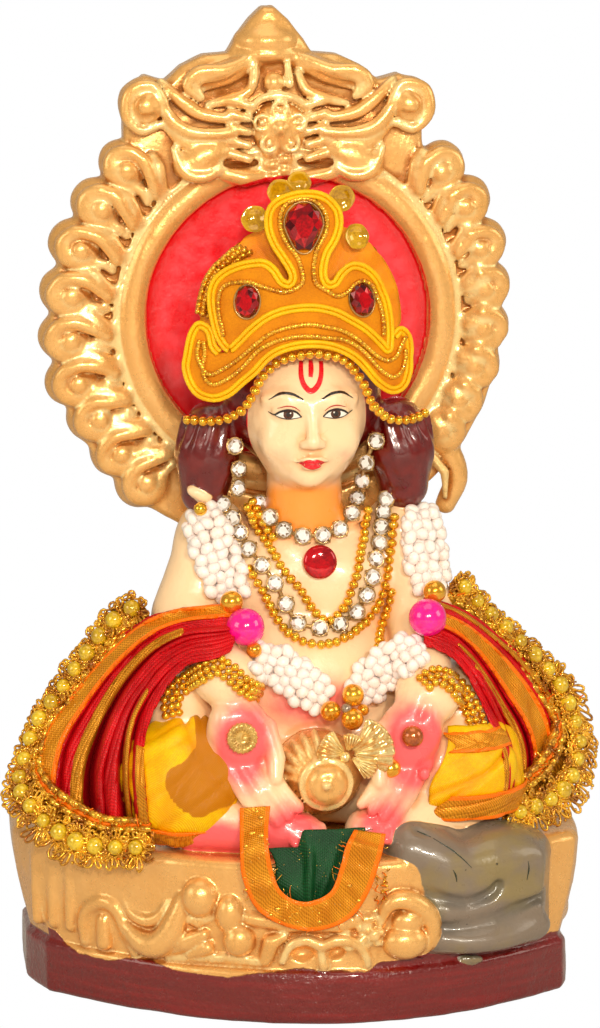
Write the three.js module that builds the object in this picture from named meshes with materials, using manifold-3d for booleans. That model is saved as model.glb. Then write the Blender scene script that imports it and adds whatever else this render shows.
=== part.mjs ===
// A seated idol of the god of wealth, cast in one piece with its plinth, seat and halo, and dressed
// with a felt crown, bead strings, rhinestone chains, garlands, satin cloths and gold lace.
// Millimetres, +Z up. The front faces -Y. The origin is the middle of the plinth's underside.
import * as THREE from "three";
import { mergeVertices } from "three/addons/utils/BufferGeometryUtils.js";
import Module from "manifold-3d";

const wasm = await Module();
wasm.setup();

// Gap that two touching pieces keep
const GAP = 0.3;

// Plinth and seat: a straight back, and a bowed front whose foremost point is at BOW_FRONT.x
const PLINTH = { left: -45, right: 44.5, back: 12, front: -32.5, height: 9 };
const BOW_FRONT = { x: 6, bend: 0.0102, steps: 11 };
const CHAMFER = { left: 5, leftStep: 1, leftRun: 2, right: 1.5, frontLeft: 3, frontRight: 1 };
const SEAT = { top: 27, inset: 1.2, flare: 1.075, sunk: 0.5, steps: 3, sideShare: 0.4 };

// Halo: a plate that stands behind the figure, with a scalloped border and a crest. Angles are half turns.
const HALO = { x: 0.2, z: 111, front: 5, back: 12, ringMiddle: 26.8, ringRadius: 1.5 };
const BORDER = {
  x: -1,
  z: 109.5,
  radius: 37.4,
  start: -0.28,
  end: 1.28,
  steps: 40,
  scallops: 20,
  scallopRise: 2,
  crestRise: 5,
  crestAngle: 0.68,
  crestBlend: 0.025,
};
const LOBES = { count: 6, top: 0.27, sweep: 0.53 };
const LOBE = { inner: 30.5, innerTurn: -0.07, innerR: 1.1, outer: 36.4, outerTurn: 0.02, outerR: 2.3 };
const STEM = { sink: 1.5, outline: [[-21, 20], [23, 20], [21, 68], [16.5, 84], [-13.5, 84], [-19, 68]] };
const CREST = { x: -3, leafX: -2, flower: { z: 142, half: [5.4, 2.4, 5] }, onionDepth: 0.55 };
const ONION = [
  [0, 148],
  [7.2, 149],
  [7.6, 151.6],
  [5.6, 153.4],
  [6.2, 155],
  [4.4, 157.4],
  [1.2, 160.4],
  [0, 162.5],
];

// Figure: the head, the pot and the knees
const HEAD = { x: 1.5, y: -7.5, z: 98, half: [9.6, 10, 12.8] };
const POT = { x: 2.1, y: -19.5, z: 39.3, radius: 7.1, knobRadius: 3.5, knobHalfDepth: 2.4 };
const KNEE = { left: [-18.5, -15, 38], right: [25.5, -14, 37], radius: 10.6 };

// Limbs of each side: the places of the joints and the radius there
const LIMBS = {
  left: {
    shoulder: { at: [-13, -1.5, 76.5], r: 5.2 },
    elbow: { at: [-17.8, -5.5, 62.5], r: 5.9 },
    wrist: { at: [-13.2, -19.5, 55.7], r: 5 },
    palm: { at: [-10.5, -23.5, 44], r: 4.7 },
    fingertips: { at: [-6.5, -26, 35.5], r: 2.8 },
    hip: { at: [-1.8, -7, 38], r: 10.5 },
    knee: { at: KNEE.left, r: KNEE.radius },
    shin: { at: [-17, -19, 32.5], r: 6 },
    foot: { at: [0, -25, 30.5], r: 3.6 },
  },
  right: {
    shoulder: { at: [17.8, -1.5, 76.5], r: 5.2 },
    elbow: { at: [20.7, -5.5, 63], r: 5.9 },
    wrist: { at: [20, -19, 52], r: 5.1 },
    palm: { at: [16.6, -23.5, 43.5], r: 4.8 },
    fingertips: { at: [13, -26, 34.5], r: 3 },
    hip: { at: [6.2, -7, 38], r: 10.5 },
    knee: { at: KNEE.right, r: KNEE.radius },
    shin: { at: [24, -18, 32], r: 6 },
    foot: { at: [9, -24.5, 30.8], r: 3.8 },
  },
};
const BONES = [
  ["shoulder", "elbow", 6],
  ["elbow", "wrist", 6],
  ["wrist", "palm", 6],
  ["palm", "fingertips", 6],
  ["hip", "knee", 8],
  ["shin", "foot", 6],
];

// Rounded masses of the torso, the jaw, the hair and the lump: middle, half axes and sides
const MASSES = {
  chest: [[2.2, -2.5, 67], [15.5, 9.5, 14], 9],
  belly: [[1.4, -7.5, 51], [17.5, 10.5, 13], 9],
  jaw: [[1.5, -11, 92.6], [6, 5.8, 5.6], 7],
  hair: [[1.5, -4.5, 99.5], [13.2, 9.5, 12.8], 8],
  lumpTop: [[27, -21, 24.5], [13, 8, 6.4], 8],
  lumpFoot: [[30.5, -20.5, 15.5], [12.5, 9.2, 7.4], 8],
  lumpSide: [[38, -15, 20], [5, 7, 9], 8],
};
const NECK = { from: [1.8, -4, 78], to: [1.5, -6, 90], low: 6.8, high: 6 };
const NOSE = { top: [1.5, -16.6, 97.6], tip: [1.5, -17.7, 94.2], bridge: 0.7, end: 1.1 };
const TRESSES = [
  { from: [-13.6, -3.5, 94], to: [-15.2, -3.5, 83.5], high: 4.1, low: 3.9 },
  { from: [17.6, -3.5, 94], to: [18.8, -3.5, 84], high: 4.6, low: 4.2 },
];

// Crown: mirrored about its own x, with a plate that is bent round the forehead
const CROWN = { x: 0.8, z: 115, front: -17.7, bend: 0.0165, lean: 0.03, thickness: 1.4, foot: 101 };
const SATIN = { z: 112, halfX: 17.4, halfZ: 18.5, from: -0.22, to: 1.22, steps: 12, front: 3.4, back: 5.2 };
const ZARI = { halfWidth: 13, low: 105.6, rise: 6.2, bend: 0.031, radius: 0.5, points: 9 };
const SEQUINS = { radius: 2.3, thickness: 0.5, behind: 2.4 };
SEQUINS.places = [[-7.6, 129], [-3.4, 134.6], [0.2, 136], [6.6, 133.3], [8.6, 127.2]];

// Crown stones: middle across and up, half width, half height, thickness, and how far the middle stands out
const CROWN_GEMS = {
  crown_gem_top: { dx: 0, z: 127.4, halfX: 3, halfZ: 3.9, thickness: 2, out: 1.4, around: 10 },
  crown_gem_left: { dx: -9.2, z: 115.7, halfX: 2, halfZ: 2.5, thickness: 1.6, out: 1.2, around: 8 },
  crown_gem_right: { dx: 9.6, z: 116, halfX: 2.2, halfZ: 2.8, thickness: 1.6, out: 1.2, around: 8 },
};

// Trimmings
const CORD_RADIUS = 0.75;
const BEAD_RADIUS = 0.75;
const STONE_RADIUS = 1.5;
const PINK_PEARL_RADIUS = 3;
const GOLD_PEARL_RADIUS = 1.8;
const SMALL_PEARL_RADIUS = 1.5;
const GARLAND = { radius: 4.4, endShare: 0.8 };
const BRACELET_RADIUS = 1.9;
const CLOTH = 1.1;
const LACE = 2;

// Finishes
const gold = { color: 0xcc8c40, roughness: 0.35, metalness: 0.75 };
const beadGold = { color: 0xd99919, roughness: 0.25, metalness: 0.8 };
const felt = { color: 0xd98008, roughness: 0.9, metalness: 0 };
const yellow = { color: 0xf2bf0d, roughness: 0.6, metalness: 0 };
const red = { color: 0xc70d14, roughness: 0.5, metalness: 0 };
const gem = { color: 0xb00018, roughness: 0.1, metalness: 0.1 };
const stone = { color: 0xd8d4cc, roughness: 0.1, metalness: 0.5 };
const white = { color: 0xfff0e6, roughness: 0.35, metalness: 0 };
const pink = { color: 0xf21a99, roughness: 0.25, metalness: 0 };
const green = { color: 0x0d4026, roughness: 0.8, metalness: 0 };
const tissue = { color: 0xe08010, roughness: 0.4, metalness: 0.4 };
const tinsel = { color: 0xe6cc8c, roughness: 0.15, metalness: 0.6 };
const sequin = { color: 0xb8a830, roughness: 0.15, metalness: 0.3 };

const UP = new THREE.Vector3(0, 1, 0);
const { degToRad } = THREE.MathUtils;
const vec = (p) => new THREE.Vector3(p[0], p[1], p[2]);

// A three.js geometry as a solid, turned right side out.
function solid(geometry, matrix) {
  const g = geometry.index ? geometry.toNonIndexed() : geometry.clone();
  g.deleteAttribute("normal");
  g.deleteAttribute("uv");
  if (matrix) g.applyMatrix4(matrix);
  const merged = mergeVertices(g, 1e-3);
  const make = (triVerts) =>
    new wasm.Manifold(
      new wasm.Mesh({ numProp: 3, vertProperties: merged.attributes.position.array, triVerts }),
    );
  const made = make(new Uint32Array(merged.index.array));
  return made.volume() > 0 ? made : make(new Uint32Array(merged.index.array).reverse());
}

const join = (parts) => parts.reduce((all, part) => all.add(part));

// An ellipsoid with half axes, grown on every side.
function ball(centre, half, grow = 0, around = 12) {
  const g = new THREE.SphereGeometry(1, around, Math.max(4, Math.round(around * 0.55)));
  const r = half.map((h) => h + grow);
  return solid(g, new THREE.Matrix4().makeScale(...r).setPosition(...centre));
}

// A rounded limb from a to b, with a radius at each end.
function limb(a, b, ra, rb, grow = 0, around = 6) {
  const from = vec(a);
  const axis = vec(b).sub(from);
  const length = axis.length();
  const r0 = ra + grow;
  const r1 = rb + grow;
  const ends = around < 9 ? 2 : 3;
  const profile = [];
  for (let i = 0; i <= ends; i += 1) {
    const t = (i / ends) * (Math.PI / 2);
    profile.push(new THREE.Vector2(r0 * Math.sin(t), -r0 * Math.cos(t)));
  }
  for (let i = 0; i <= ends; i += 1) {
    const t = (i / ends) * (Math.PI / 2);
    profile.push(new THREE.Vector2(r1 * Math.cos(t), length + r1 * Math.sin(t)));
  }
  profile[0].x = 0;
  profile.at(-1).x = 0;
  const turn = new THREE.Quaternion().setFromUnitVectors(UP, axis.normalize());
  const m = new THREE.Matrix4().compose(from, turn, new THREE.Vector3(1, 1, 1));
  return solid(new THREE.LatheGeometry(profile, around), m);
}

// Length of a cord's step beyond its own diameter
const STEP_GAP = 3;

// A round cord along a smooth line through points.
function cord(points, radius, grow = 0, { sides = 5, steps = 0, closed = false } = {}) {
  const line = new THREE.CatmullRomCurve3(points.map(vec), closed, "centripetal");
  const section = new THREE.Shape();
  for (let i = 0; i < sides; i += 1) {
    const t = (i / sides) * 2 * Math.PI;
    const [x, y] = [(radius + grow) * Math.cos(t), (radius + grow) * Math.sin(t)];
    if (i) section.lineTo(x, y);
    else section.moveTo(x, y);
  }
  const count = steps || Math.max(6, Math.round(line.getLength() / (radius * 2 + STEP_GAP)));
  const g = new THREE.ExtrudeGeometry(section, { steps: count, extrudePath: line, bevelEnabled: false });
  return solid(g);
}

// A plate in the XZ plane from y = front to y = back, with an outline of [x, z] points, bent by at(x, z).
function plate(outline, front, back, grow = 0, at = () => 0) {
  const shape = new THREE.Shape(outline.map(([x, z]) => new THREE.Vector2(x, z)));
  const g = new THREE.ExtrudeGeometry(shape, { depth: back - front + 2 * grow, bevelEnabled: false });
  g.rotateX(Math.PI / 2);
  g.translate(0, back + grow, 0);
  const position = g.attributes.position;
  for (let i = 0; i < position.count; i += 1) {
    position.setY(i, position.getY(i) + at(position.getX(i), position.getZ(i)));
  }
  return solid(g);
}

// A thin slab whose middle surface is at(u, v), for u and v from 0 to 1.
function slab(at, thickness, grow = 0, nu = 8, nv = 4) {
  const g = new THREE.BoxGeometry(1, 1, 1, nu, nv, 1);
  g.deleteAttribute("normal");
  g.deleteAttribute("uv");
  const position = g.attributes.position;
  const step = 1e-3;
  const span = (u, v, du, dv) => {
    const a = at(Math.max(0, u - du), Math.max(0, v - dv));
    return at(Math.min(1, u + du), Math.min(1, v + dv)).sub(a);
  };
  for (let i = 0; i < position.count; i += 1) {
    const u = position.getX(i) + 0.5;
    const v = position.getY(i) + 0.5;
    const alongU = span(u, v, step, 0).normalize();
    const alongV = span(u, v, 0, step).normalize();
    const normal = alongU.clone().cross(alongV).normalize();
    const p = at(u, v).addScaledVector(normal, position.getZ(i) * (thickness + 2 * grow));
    if (u < 1e-6 || u > 1 - 1e-6) p.addScaledVector(alongU, grow * Math.sign(u - 0.5));
    if (v < 1e-6 || v > 1 - 1e-6) p.addScaledVector(alongV, grow * Math.sign(v - 0.5));
    position.setXYZ(i, p.x, p.y, p.z);
  }
  return solid(g);
}

// A smooth surface through rows of hand-chosen points: v runs down the rows, u along each.
function surface(rows) {
  const lines = rows.map((row) => new THREE.CatmullRomCurve3(row.map(vec), false, "centripetal"));
  return (u, v) => {
    const across = lines.map((line) => line.getPoint(u));
    return new THREE.CatmullRomCurve3(across, false, "centripetal").getPoint(v);
  };
}

// Half section of a disc of radius 1 and thickness 1: radius, height
const DISC_PROFILE = [[0, -0.5], [1, -0.35], [1, 0.1], [0.6, 0.5], [0, 0.5]];

// A round disc that faces the front, thicker in the middle.
function disc(centre, halfX, halfZ, thickness, grow = 0, around = 12) {
  const profile = DISC_PROFILE.map(([r, out]) => new THREE.Vector2(r, out));
  const m = new THREE.Matrix4()
    .makeTranslation(...centre)
    .multiply(new THREE.Matrix4().makeScale(halfX + grow, -(thickness + 2 * grow), halfZ + grow));
  return solid(new THREE.LatheGeometry(profile, around), m);
}

// Front of the plinth, and of the seat above it, at a given x.
const plinthFront = (x) => PLINTH.front + BOW_FRONT.bend * (x - BOW_FRONT.x) ** 2;
const seatFront = (x) => plinthFront(x) + SEAT.inset;

// Plan of the plinth and seat, drawn in from the edge by inset.
function plan(inset) {
  const { left, right, back } = PLINTH;
  const from = left + CHAMFER.frontLeft;
  const to = right - CHAMFER.frontRight;
  const points = [];
  for (let i = 0; i <= BOW_FRONT.steps; i += 1) {
    const x = from + ((to - from) * i) / BOW_FRONT.steps;
    points.push([x, plinthFront(x)]);
  }
  points.push([right, plinthFront(right) + CHAMFER.right], [right, back], [left, back]);
  points.push([left, plinthFront(left) + CHAMFER.left]);
  points.push([left + CHAMFER.leftStep, plinthFront(left) + CHAMFER.leftRun]);
  const middle = (left + right) / 2;
  return points.map(([x, y]) => {
    const side = (x - middle) / (right - middle);
    const drawn = y < back ? y + inset * (1 - SEAT.sideShare * Math.abs(side)) : y;
    return new THREE.Vector2(x - inset * side, drawn);
  });
}

function floorSlab(points, bottom, top, grow = 0) {
  const depth = top - bottom + 2 * grow;
  const g = new THREE.ExtrudeGeometry(new THREE.Shape(points), { depth, bevelEnabled: false });
  g.translate(0, 0, bottom - grow);
  return solid(g);
}

// The seat widens towards its top.
function seatBlock(grow) {
  const bottom = PLINTH.height - SEAT.sunk;
  const shape = new THREE.Shape(plan(SEAT.inset - grow));
  const depth = SEAT.top - bottom + grow;
  const g = new THREE.ExtrudeGeometry(shape, { depth, steps: SEAT.steps, bevelEnabled: false });
  const position = g.attributes.position;
  for (let i = 0; i < position.count; i += 1) {
    const rise = Math.sin(((position.getZ(i) / depth) * Math.PI) / 2);
    position.setX(i, position.getX(i) * (1 + (SEAT.flare - 1) * rise));
    position.setZ(i, position.getZ(i) + bottom);
  }
  return solid(g);
}

// Halo outline: scalloped round the sides, with a broad crest at the top.
function haloOutline(grow) {
  const points = [];
  for (let i = 0; i <= BORDER.steps; i += 1) {
    const share = i / BORDER.steps;
    const t = (BORDER.start + (BORDER.end - BORDER.start) * share) * Math.PI;
    const fromTop = Math.abs(t - Math.PI / 2);
    const scallop = Math.sqrt(Math.abs(Math.sin(share * Math.PI * BORDER.scallops)));
    const crest = BORDER.crestRise / (1 + Math.exp((fromTop - BORDER.crestAngle) / BORDER.crestBlend));
    const r = BORDER.radius + BORDER.scallopRise * scallop + crest + grow;
    points.push([BORDER.x + r * Math.cos(t), BORDER.z + r * Math.sin(t)]);
  }
  return points;
}

// Curled lobe number i of one side of the border: a point at radius r, turned by turn.
function lobePoint(side, i, r, turn) {
  const t = (LOBES.top - (LOBES.sweep * i) / (LOBES.count - 1)) * Math.PI + turn;
  return [BORDER.x + side * r * Math.cos(t), HALO.front, BORDER.z + r * Math.sin(t)];
}

function haloParts(grow) {
  const stem = STEM.outline.map(([x, z]) => [x + grow * Math.sign(x), z]);
  const parts = [
    plate(haloOutline(grow), HALO.front, HALO.back, grow),
    plate(stem, HALO.front - STEM.sink, HALO.back, grow),
  ];
  for (const side of [-1, 1]) {
    for (let i = 0; i < LOBES.count; i += 1) {
      const inner = lobePoint(side, i, LOBE.inner, LOBE.innerTurn);
      const outer = lobePoint(side, i, LOBE.outer, LOBE.outerTurn);
      parts.push(limb(inner, outer, LOBE.innerR, LOBE.outerR, grow, 5));
    }
    // Leaves of the crest
    const at = (dx, z) => [CREST.leafX + side * dx, HALO.front, z];
    parts.push(limb(at(5, 139.5), at(23.5, 146), 1.8, 2.8, grow, 6));
    parts.push(limb(at(5, 146.5), at(14.5, 150.5), 1.8, 2.6, grow, 6));
  }
  // Flower and onion top
  parts.push(ball([CREST.x, HALO.front, CREST.flower.z], CREST.flower.half, grow, 8));
  const m = new THREE.Matrix4()
    .makeTranslation(CREST.x, (HALO.front + HALO.back) / 2, 0)
    .multiply(new THREE.Matrix4().makeScale(1, CREST.onionDepth, 1))
    .multiply(new THREE.Matrix4().makeRotationX(Math.PI / 2));
  const onion = ONION.map(([r, z]) => new THREE.Vector2(r ? r + grow : 0, z));
  parts.push(solid(new THREE.LatheGeometry(onion, 8), m));
  return parts;
}

// Carving on the seat's front: places are x, z and how far the point stands out
const RELIEF = {
  wave: [[-42, 13, 0], [-37.4, 16, 1], [-33.5, 20, 0], [-30, 15.5, 1], [-25.5, 12.6, 0], [-20.5, 17, 1]],
  waveRadius: 2,
  bosses: [
    [[-17.2, 21.3], [3.9, 2.8, 4.1]],
    [[-12.6, 15.2], [3.7, 2.6, 4.4]],
    [[-3, 12], [6, 2, 2.6]],
    [[6, 13], [5, 2, 3]],
    [[15, 16], [3.8, 2.4, 3.8]],
  ],
  scroll: { at: [15, 16], middle: 3.6, radius: 1.9 },
};

function seatRelief(grow) {
  const on = ([x, z, out = 0]) => [x, seatFront(x) - out, z];
  const { middle, radius, at } = RELIEF.scroll;
  const turn = new THREE.Matrix4().makeRotationX(Math.PI / 2).setPosition(...on(at));
  return [
    cord(RELIEF.wave.map(on), RELIEF.waveRadius, grow, { sides: 4, steps: 8 }),
    ...RELIEF.bosses.map(([place, half]) => ball(on(place), half, grow, 8)),
    solid(new THREE.TorusGeometry(middle, radius + grow, 4, 9), turn),
  ];
}

function figureParts(grow) {
  const parts = Object.values(MASSES).map(([middle, half, around]) => ball(middle, half, grow, around));
  for (const side of Object.values(LIMBS)) {
    for (const [from, to, around] of BONES) {
      parts.push(limb(side[from].at, side[to].at, side[from].r, side[to].r, grow, around));
    }
  }
  parts.push(limb(NECK.from, NECK.to, NECK.low, NECK.high, grow));
  parts.push(ball([HEAD.x, HEAD.y, HEAD.z], HEAD.half, grow, 10));
  parts.push(limb(NOSE.top, NOSE.tip, NOSE.bridge, NOSE.end, grow, 6));
  for (const { from, to, high, low } of TRESSES) parts.push(limb(from, to, high, low, grow));
  const knob = [POT.x + 0.6, POT.y - POT.radius + 0.7, POT.z - 0.6];
  parts.push(ball([POT.x, POT.y, POT.z], [POT.radius, POT.radius, POT.radius], grow, 10));
  parts.push(ball(knob, [POT.knobRadius, POT.knobHalfDepth, POT.knobRadius], grow, 8));
  return parts;
}

function casting(grow = 0) {
  // The ring round the pink disc
  const ring = new THREE.TorusGeometry(HALO.ringMiddle, HALO.ringRadius + grow, 4, 18);
  ring.rotateX(Math.PI / 2);
  ring.translate(HALO.x, HALO.front, HALO.z);
  return join([
    floorSlab(plan(-grow), 0, PLINTH.height, grow),
    seatBlock(grow),
    solid(ring),
    ...seatRelief(grow),
    ...haloParts(grow),
    ...figureParts(grow),
  ]);
}

// Crown plate: y of its front face at x, z
const crownFront = (x, z) =>
  CROWN.front + CROWN.bend * (x - CROWN.x) ** 2 + CROWN.lean * (z - CROWN.foot);

// Right half of the crown's outline, from the top middle round the lobes and ear to the brow
const CROWN_HALF = [
  [0, 134],
  [3.1, 133.2],
  [5.5, 131.2],
  [6.1, 128.8],
  [5.2, 125.8],
  [3.4, 122.4],
  [2.9, 119.6],
  [4.6, 119],
  [6.4, 121.2],
  [8.6, 122],
  [11.4, 121.2],
  [13.4, 119.2],
  [14.3, 116.4],
  [14.4, 112.8],
  [15.6, 112.4],
  [17.3, 111.3],
  [18.2, 109],
  [18.4, 106],
  [17.6, 103],
  [15.6, 101],
  [13.4, 100.9],
  [11, 102.2],
  [8.5, 104.6],
  [5.8, 107.2],
  [2.9, 108.8],
];

const CROWN_BROW = 109.3;

function crownOutline() {
  const right = CROWN_HALF.map(([dx, z]) => [CROWN.x + dx, z]);
  const left = CROWN_HALF.slice(1).map(([dx, z]) => [CROWN.x - dx, z]);
  return [...right, [CROWN.x, CROWN_BROW], ...left.reverse()];
}

// The crown's outline grown away from its own middle.
function grownCrown(grow) {
  return crownOutline().map(([x, z]) => {
    const d = new THREE.Vector2(x - CROWN.x, z - CROWN.z);
    const scale = 1 + grow / d.length();
    return [CROWN.x + d.x * scale, CROWN.z + d.y * scale];
  });
}

const onCrown = (x, z, out) => [x, crownFront(x, z) - out, z];

function satinOutline(grow) {
  const points = [];
  for (let i = 0; i <= SATIN.steps; i += 1) {
    const t = (SATIN.from + ((SATIN.to - SATIN.from) * i) / SATIN.steps) * Math.PI;
    const [halfX, halfZ] = [SATIN.halfX + grow, SATIN.halfZ + grow];
    points.push([CROWN.x + halfX * Math.cos(t), SATIN.z + halfZ * Math.sin(t)]);
  }
  return points;
}

function crownCord(grow) {
  const points = crownOutline().map(([x, z]) => onCrown(x, z, CORD_RADIUS + GAP + 0.05));
  return cord(points, CORD_RADIUS, grow, { sides: 4, steps: 30, closed: true });
}

// The gold cord follows the brow as a parabola.
function zariCord(grow) {
  const points = [];
  for (let i = 0; i < ZARI.points; i += 1) {
    const dx = ZARI.halfWidth * ((2 * i) / (ZARI.points - 1) - 1);
    const z = ZARI.low + ZARI.rise - ZARI.bend * dx * dx;
    points.push(onCrown(CROWN.x + dx, z, ZARI.radius + GAP));
  }
  return cord(points, ZARI.radius, grow, { sides: 4, steps: 9 });
}

// Strings are laid on what is already there, by looking along +Y at it.
const ray = new THREE.Raycaster();
const IN_FRONT = -80;

function laidOn(target, points, lift) {
  const y = points.map(([x, z]) => {
    ray.set(new THREE.Vector3(x, IN_FRONT, z), UP);
    const hit = ray.intersectObject(target)[0];
    return hit ? hit.point.y - lift : null;
  });
  const known = y.filter((value) => value !== null);
  const fallback = known.reduce((a, b) => a + b, 0) / known.length;
  const filled = y.map((value) => value ?? fallback);
  return points.map(([x, z], i) => {
    const near = filled.slice(Math.max(0, i - 1), i + 2);
    const smooth = near.reduce((a, b) => a + b, 0) / near.length;
    return [x, Math.min(filled[i], smooth), z];
  });
}

function meshOf(made, name, finish) {
  const m = made.getMesh();
  const positions = new Float32Array(m.numVert * 3);
  for (let i = 0; i < m.numVert; i += 1) {
    positions.set(m.vertProperties.subarray(i * m.numProp, i * m.numProp + 3), i * 3);
  }
  const g = new THREE.BufferGeometry();
  g.setAttribute("position", new THREE.BufferAttribute(positions, 3));
  g.setIndex(new THREE.BufferAttribute(m.triVerts, 1));
  g.computeVertexNormals();
  const mesh = new THREE.Mesh(g, new THREE.MeshStandardMaterial({ ...finish, side: THREE.DoubleSide }));
  mesh.name = name;
  return mesh;
}

const idol = new THREE.Group();
const body = casting();
const bodyMesh = meshOf(body, "idol_casting", gold);
idol.add(bodyMesh);

// Every later piece is cut back to a gap from the pieces before it, and its largest piece is kept.
let taken = casting(GAP);

function largest(made) {
  return made.decompose().reduce((a, b) => (a.volume() > b.volume() ? a : b));
}

function dress(name, finish, make) {
  const made = largest(make(0).subtract(taken));
  taken = taken.add(make(GAP));
  idol.add(meshOf(made, name, finish));
}

dress("crown_back_satin", felt, (grow) =>
  plate(satinOutline(grow), SATIN.front, SATIN.back, grow, crownFront),
);
dress("crown_felt", felt, (grow) => plate(grownCrown(grow), 0, CROWN.thickness, grow, crownFront));
dress("crown_cord", yellow, crownCord);
dress("crown_zari_cord", beadGold, zariCord);
for (const [name, { dx, z, halfX, halfZ, thickness, out, around }] of Object.entries(CROWN_GEMS)) {
  dress(name, gem, (grow) => disc(onCrown(CROWN.x + dx, z, out), halfX, halfZ, thickness, grow, around));
}
SEQUINS.places.forEach(([dx, z], i) => {
  const { radius, thickness, behind } = SEQUINS;
  const at = [CROWN.x + dx, crownFront(dx, z) + behind, z];
  dress(`crown_sequin_${i + 1}`, sequin, (grow) => disc(at, radius, radius, thickness, grow, 7));
});

// Each string's finish, radius, gap to the casting, and points seen from the front: [x, z], chosen by hand
const strings = {
  brow_bead_string: [
    beadGold,
    BEAD_RADIUS,
    1.8,
    [
      [-18, 97.5], [-15.5, 96.9], [-12, 97], [-9.7, 98.5], [-7.8, 101], [-6.2, 104], [-4.2, 106.4],
      [-1.6, 107.6], [2.4, 108.2], [5.6, 107.5], [8, 106.2], [9.8, 103.6], [11.4, 100.6], [13, 97.6],
      [15.4, 96.6], [19.4, 97.4],
    ],
  ],
  choker_chain: [
    stone,
    STONE_RADIUS,
    1.1,
    [
      [-9.2, 92], [-9, 88], [-7.6, 84.4], [-5.4, 81.2], [-3.2, 79], [-0.2, 77.8], [3, 77.9], [5.8, 79],
      [7.8, 81.6], [9.2, 85], [10.4, 89], [12.2, 92.6],
    ],
  ],
  long_chain: [
    stone,
    STONE_RADIUS,
    0.8,
    [
      [-11.6, 83], [-9.8, 80.4], [-8.6, 77.6], [-7, 75], [-4.8, 72.4], [-2.6, 69.2], [-0.8, 65.8],
      [1.2, 63.6], [4.6, 62.9], [8, 63.9], [10.4, 66.2], [12, 69.4], [12.8, 73], [13.4, 77], [13.8, 80.6],
      [14.6, 83.6],
    ],
  ],
  inner_bead_string: [
    beadGold,
    BEAD_RADIUS,
    1.3,
    [
      [-8.6, 82.6], [-5.6, 77.4], [-3.4, 73.6], [-0.6, 69.4], [2.6, 65.6], [6, 66], [8.4, 70], [10, 74.4],
      [10.8, 79], [11.4, 82.2],
    ],
  ],
  outer_bead_string: [
    beadGold,
    BEAD_RADIUS,
    0.9,
    [
      [-10.4, 78], [-8.6, 73.4], [-6, 69], [-3.6, 65], [-1, 61.6], [2.6, 60], [6.8, 60], [10.8, 62],
      [13.6, 65.8], [14.8, 70.6], [15.4, 75], [16, 80.4],
    ],
  ],
};
for (const [name, [finish, radius, lift, points]] of Object.entries(strings)) {
  const line = laidOn(bodyMesh, points, radius + lift);
  dress(name, finish, (grow) => cord(line, radius, grow, { sides: 4 }));
}

// Where a thing lies on the casting, lifted by out.
const restOn = (x, z, out) => laidOn(bodyMesh, [[x, z]], out)[0];

dress("chest_gem", gem, (grow) => disc(restOn(3, 73.6, 1), 2.9, 2.9, 1.4, grow, 12));

// Garland: flat clusters of white beads, with pearls where they meet
const garlands = {
  garland_shoulder_left: { from: [-14.4, 77.5], to: [-11.6, 71.5], out: 2.2 },
  garland_shoulder_right: { from: [19.6, 77.5], to: [21, 71.5], out: 2.2 },
  garland_chest_left: { from: [-4.6, 57], to: [0.4, 51.6], out: 2.4 },
  garland_chest_right: { from: [17, 57.5], to: [10.4, 53.6], out: 2.4 },
};
for (const [name, { from, to, out }] of Object.entries(garlands)) {
  const [a, b] = [restOn(...from, out), restOn(...to, out)];
  dress(name, white, (grow) => limb(a, b, GARLAND.radius, GARLAND.radius * GARLAND.endShare, grow, 6));
}

function pearl(name, finish, [x, z], radius, out) {
  const centre = restOn(x, z, out);
  dress(name, finish, (grow) => ball(centre, [radius, radius, radius], grow, 8));
}
pearl("pink_pearl_left", pink, [-9.6, 64], PINK_PEARL_RADIUS, 5);
pearl("pink_pearl_right", pink, [20.4, 64], PINK_PEARL_RADIUS, 5);
pearl("gold_pearl_left", beadGold, [-11.8, 67.8], GOLD_PEARL_RADIUS, 4.4);
pearl("gold_pearl_right", beadGold, [21.2, 68.6], GOLD_PEARL_RADIUS, 4.4);
pearl("gold_pearl_low_left", beadGold, [-8.2, 60], SMALL_PEARL_RADIUS, 3.6);

// Balls joined into one solid: each is a middle from at, and half axes.
function bunch(at, balls, grow) {
  return join(balls.map(([d, half]) => ball([at[0] + d[0], at[1] + d[1], at[2] + d[2]], half, grow, 6)));
}
const BEAD_HALF = [1.9, 1.9, 1.9];
const clusterAt = restOn(7.6, 51.6, 2.4);
const CLUSTER = [
  [[0.2, 0, 1.8], BEAD_HALF],
  [[-2.4, 0.6, -1.2], BEAD_HALF],
  [[0.9, -0.6, -2], BEAD_HALF],
  [[-0.6, 0.8, 0], BEAD_HALF],
];
const BOW_AT = [10, -27, 44.6];
const BOW = [
  [[0, 0, 0], [2.2, 1.6, 2]],
  [[2.6, 0.4, 0.6], [2.6, 1.4, 2.6]],
  [[-3, 0.4, 0.2], [2.8, 1.4, 2.4]],
];
dress("gold_bead_cluster", beadGold, (grow) => bunch(clusterAt, CLUSTER, grow));
dress("tinsel_bow", tinsel, (grow) => bunch(BOW_AT, BOW, grow));
pearl("gold_pearl_bow", beadGold, [13.2, 41], GOLD_PEARL_RADIUS, 2.4);

// Bracelets: a band of three rows over each wrist, from the front round the top
const bracelets = {
  bracelet_left: [[-22, 51], [-20.5, 55], [-17.5, 58.6], [-13.5, 60], [-9.6, 58.6], [-6.4, 55.6]],
  bracelet_right: [[14.4, 56.2], [17.6, 57.6], [21.2, 57.4], [24.6, 55], [27, 51.6], [28, 48.6]],
};
for (const [name, points] of Object.entries(bracelets)) {
  const line = laidOn(bodyMesh, points, 1.1);
  dress(name, beadGold, (grow) => cord(line, BRACELET_RADIUS, grow, { steps: 6 }));
}

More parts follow.
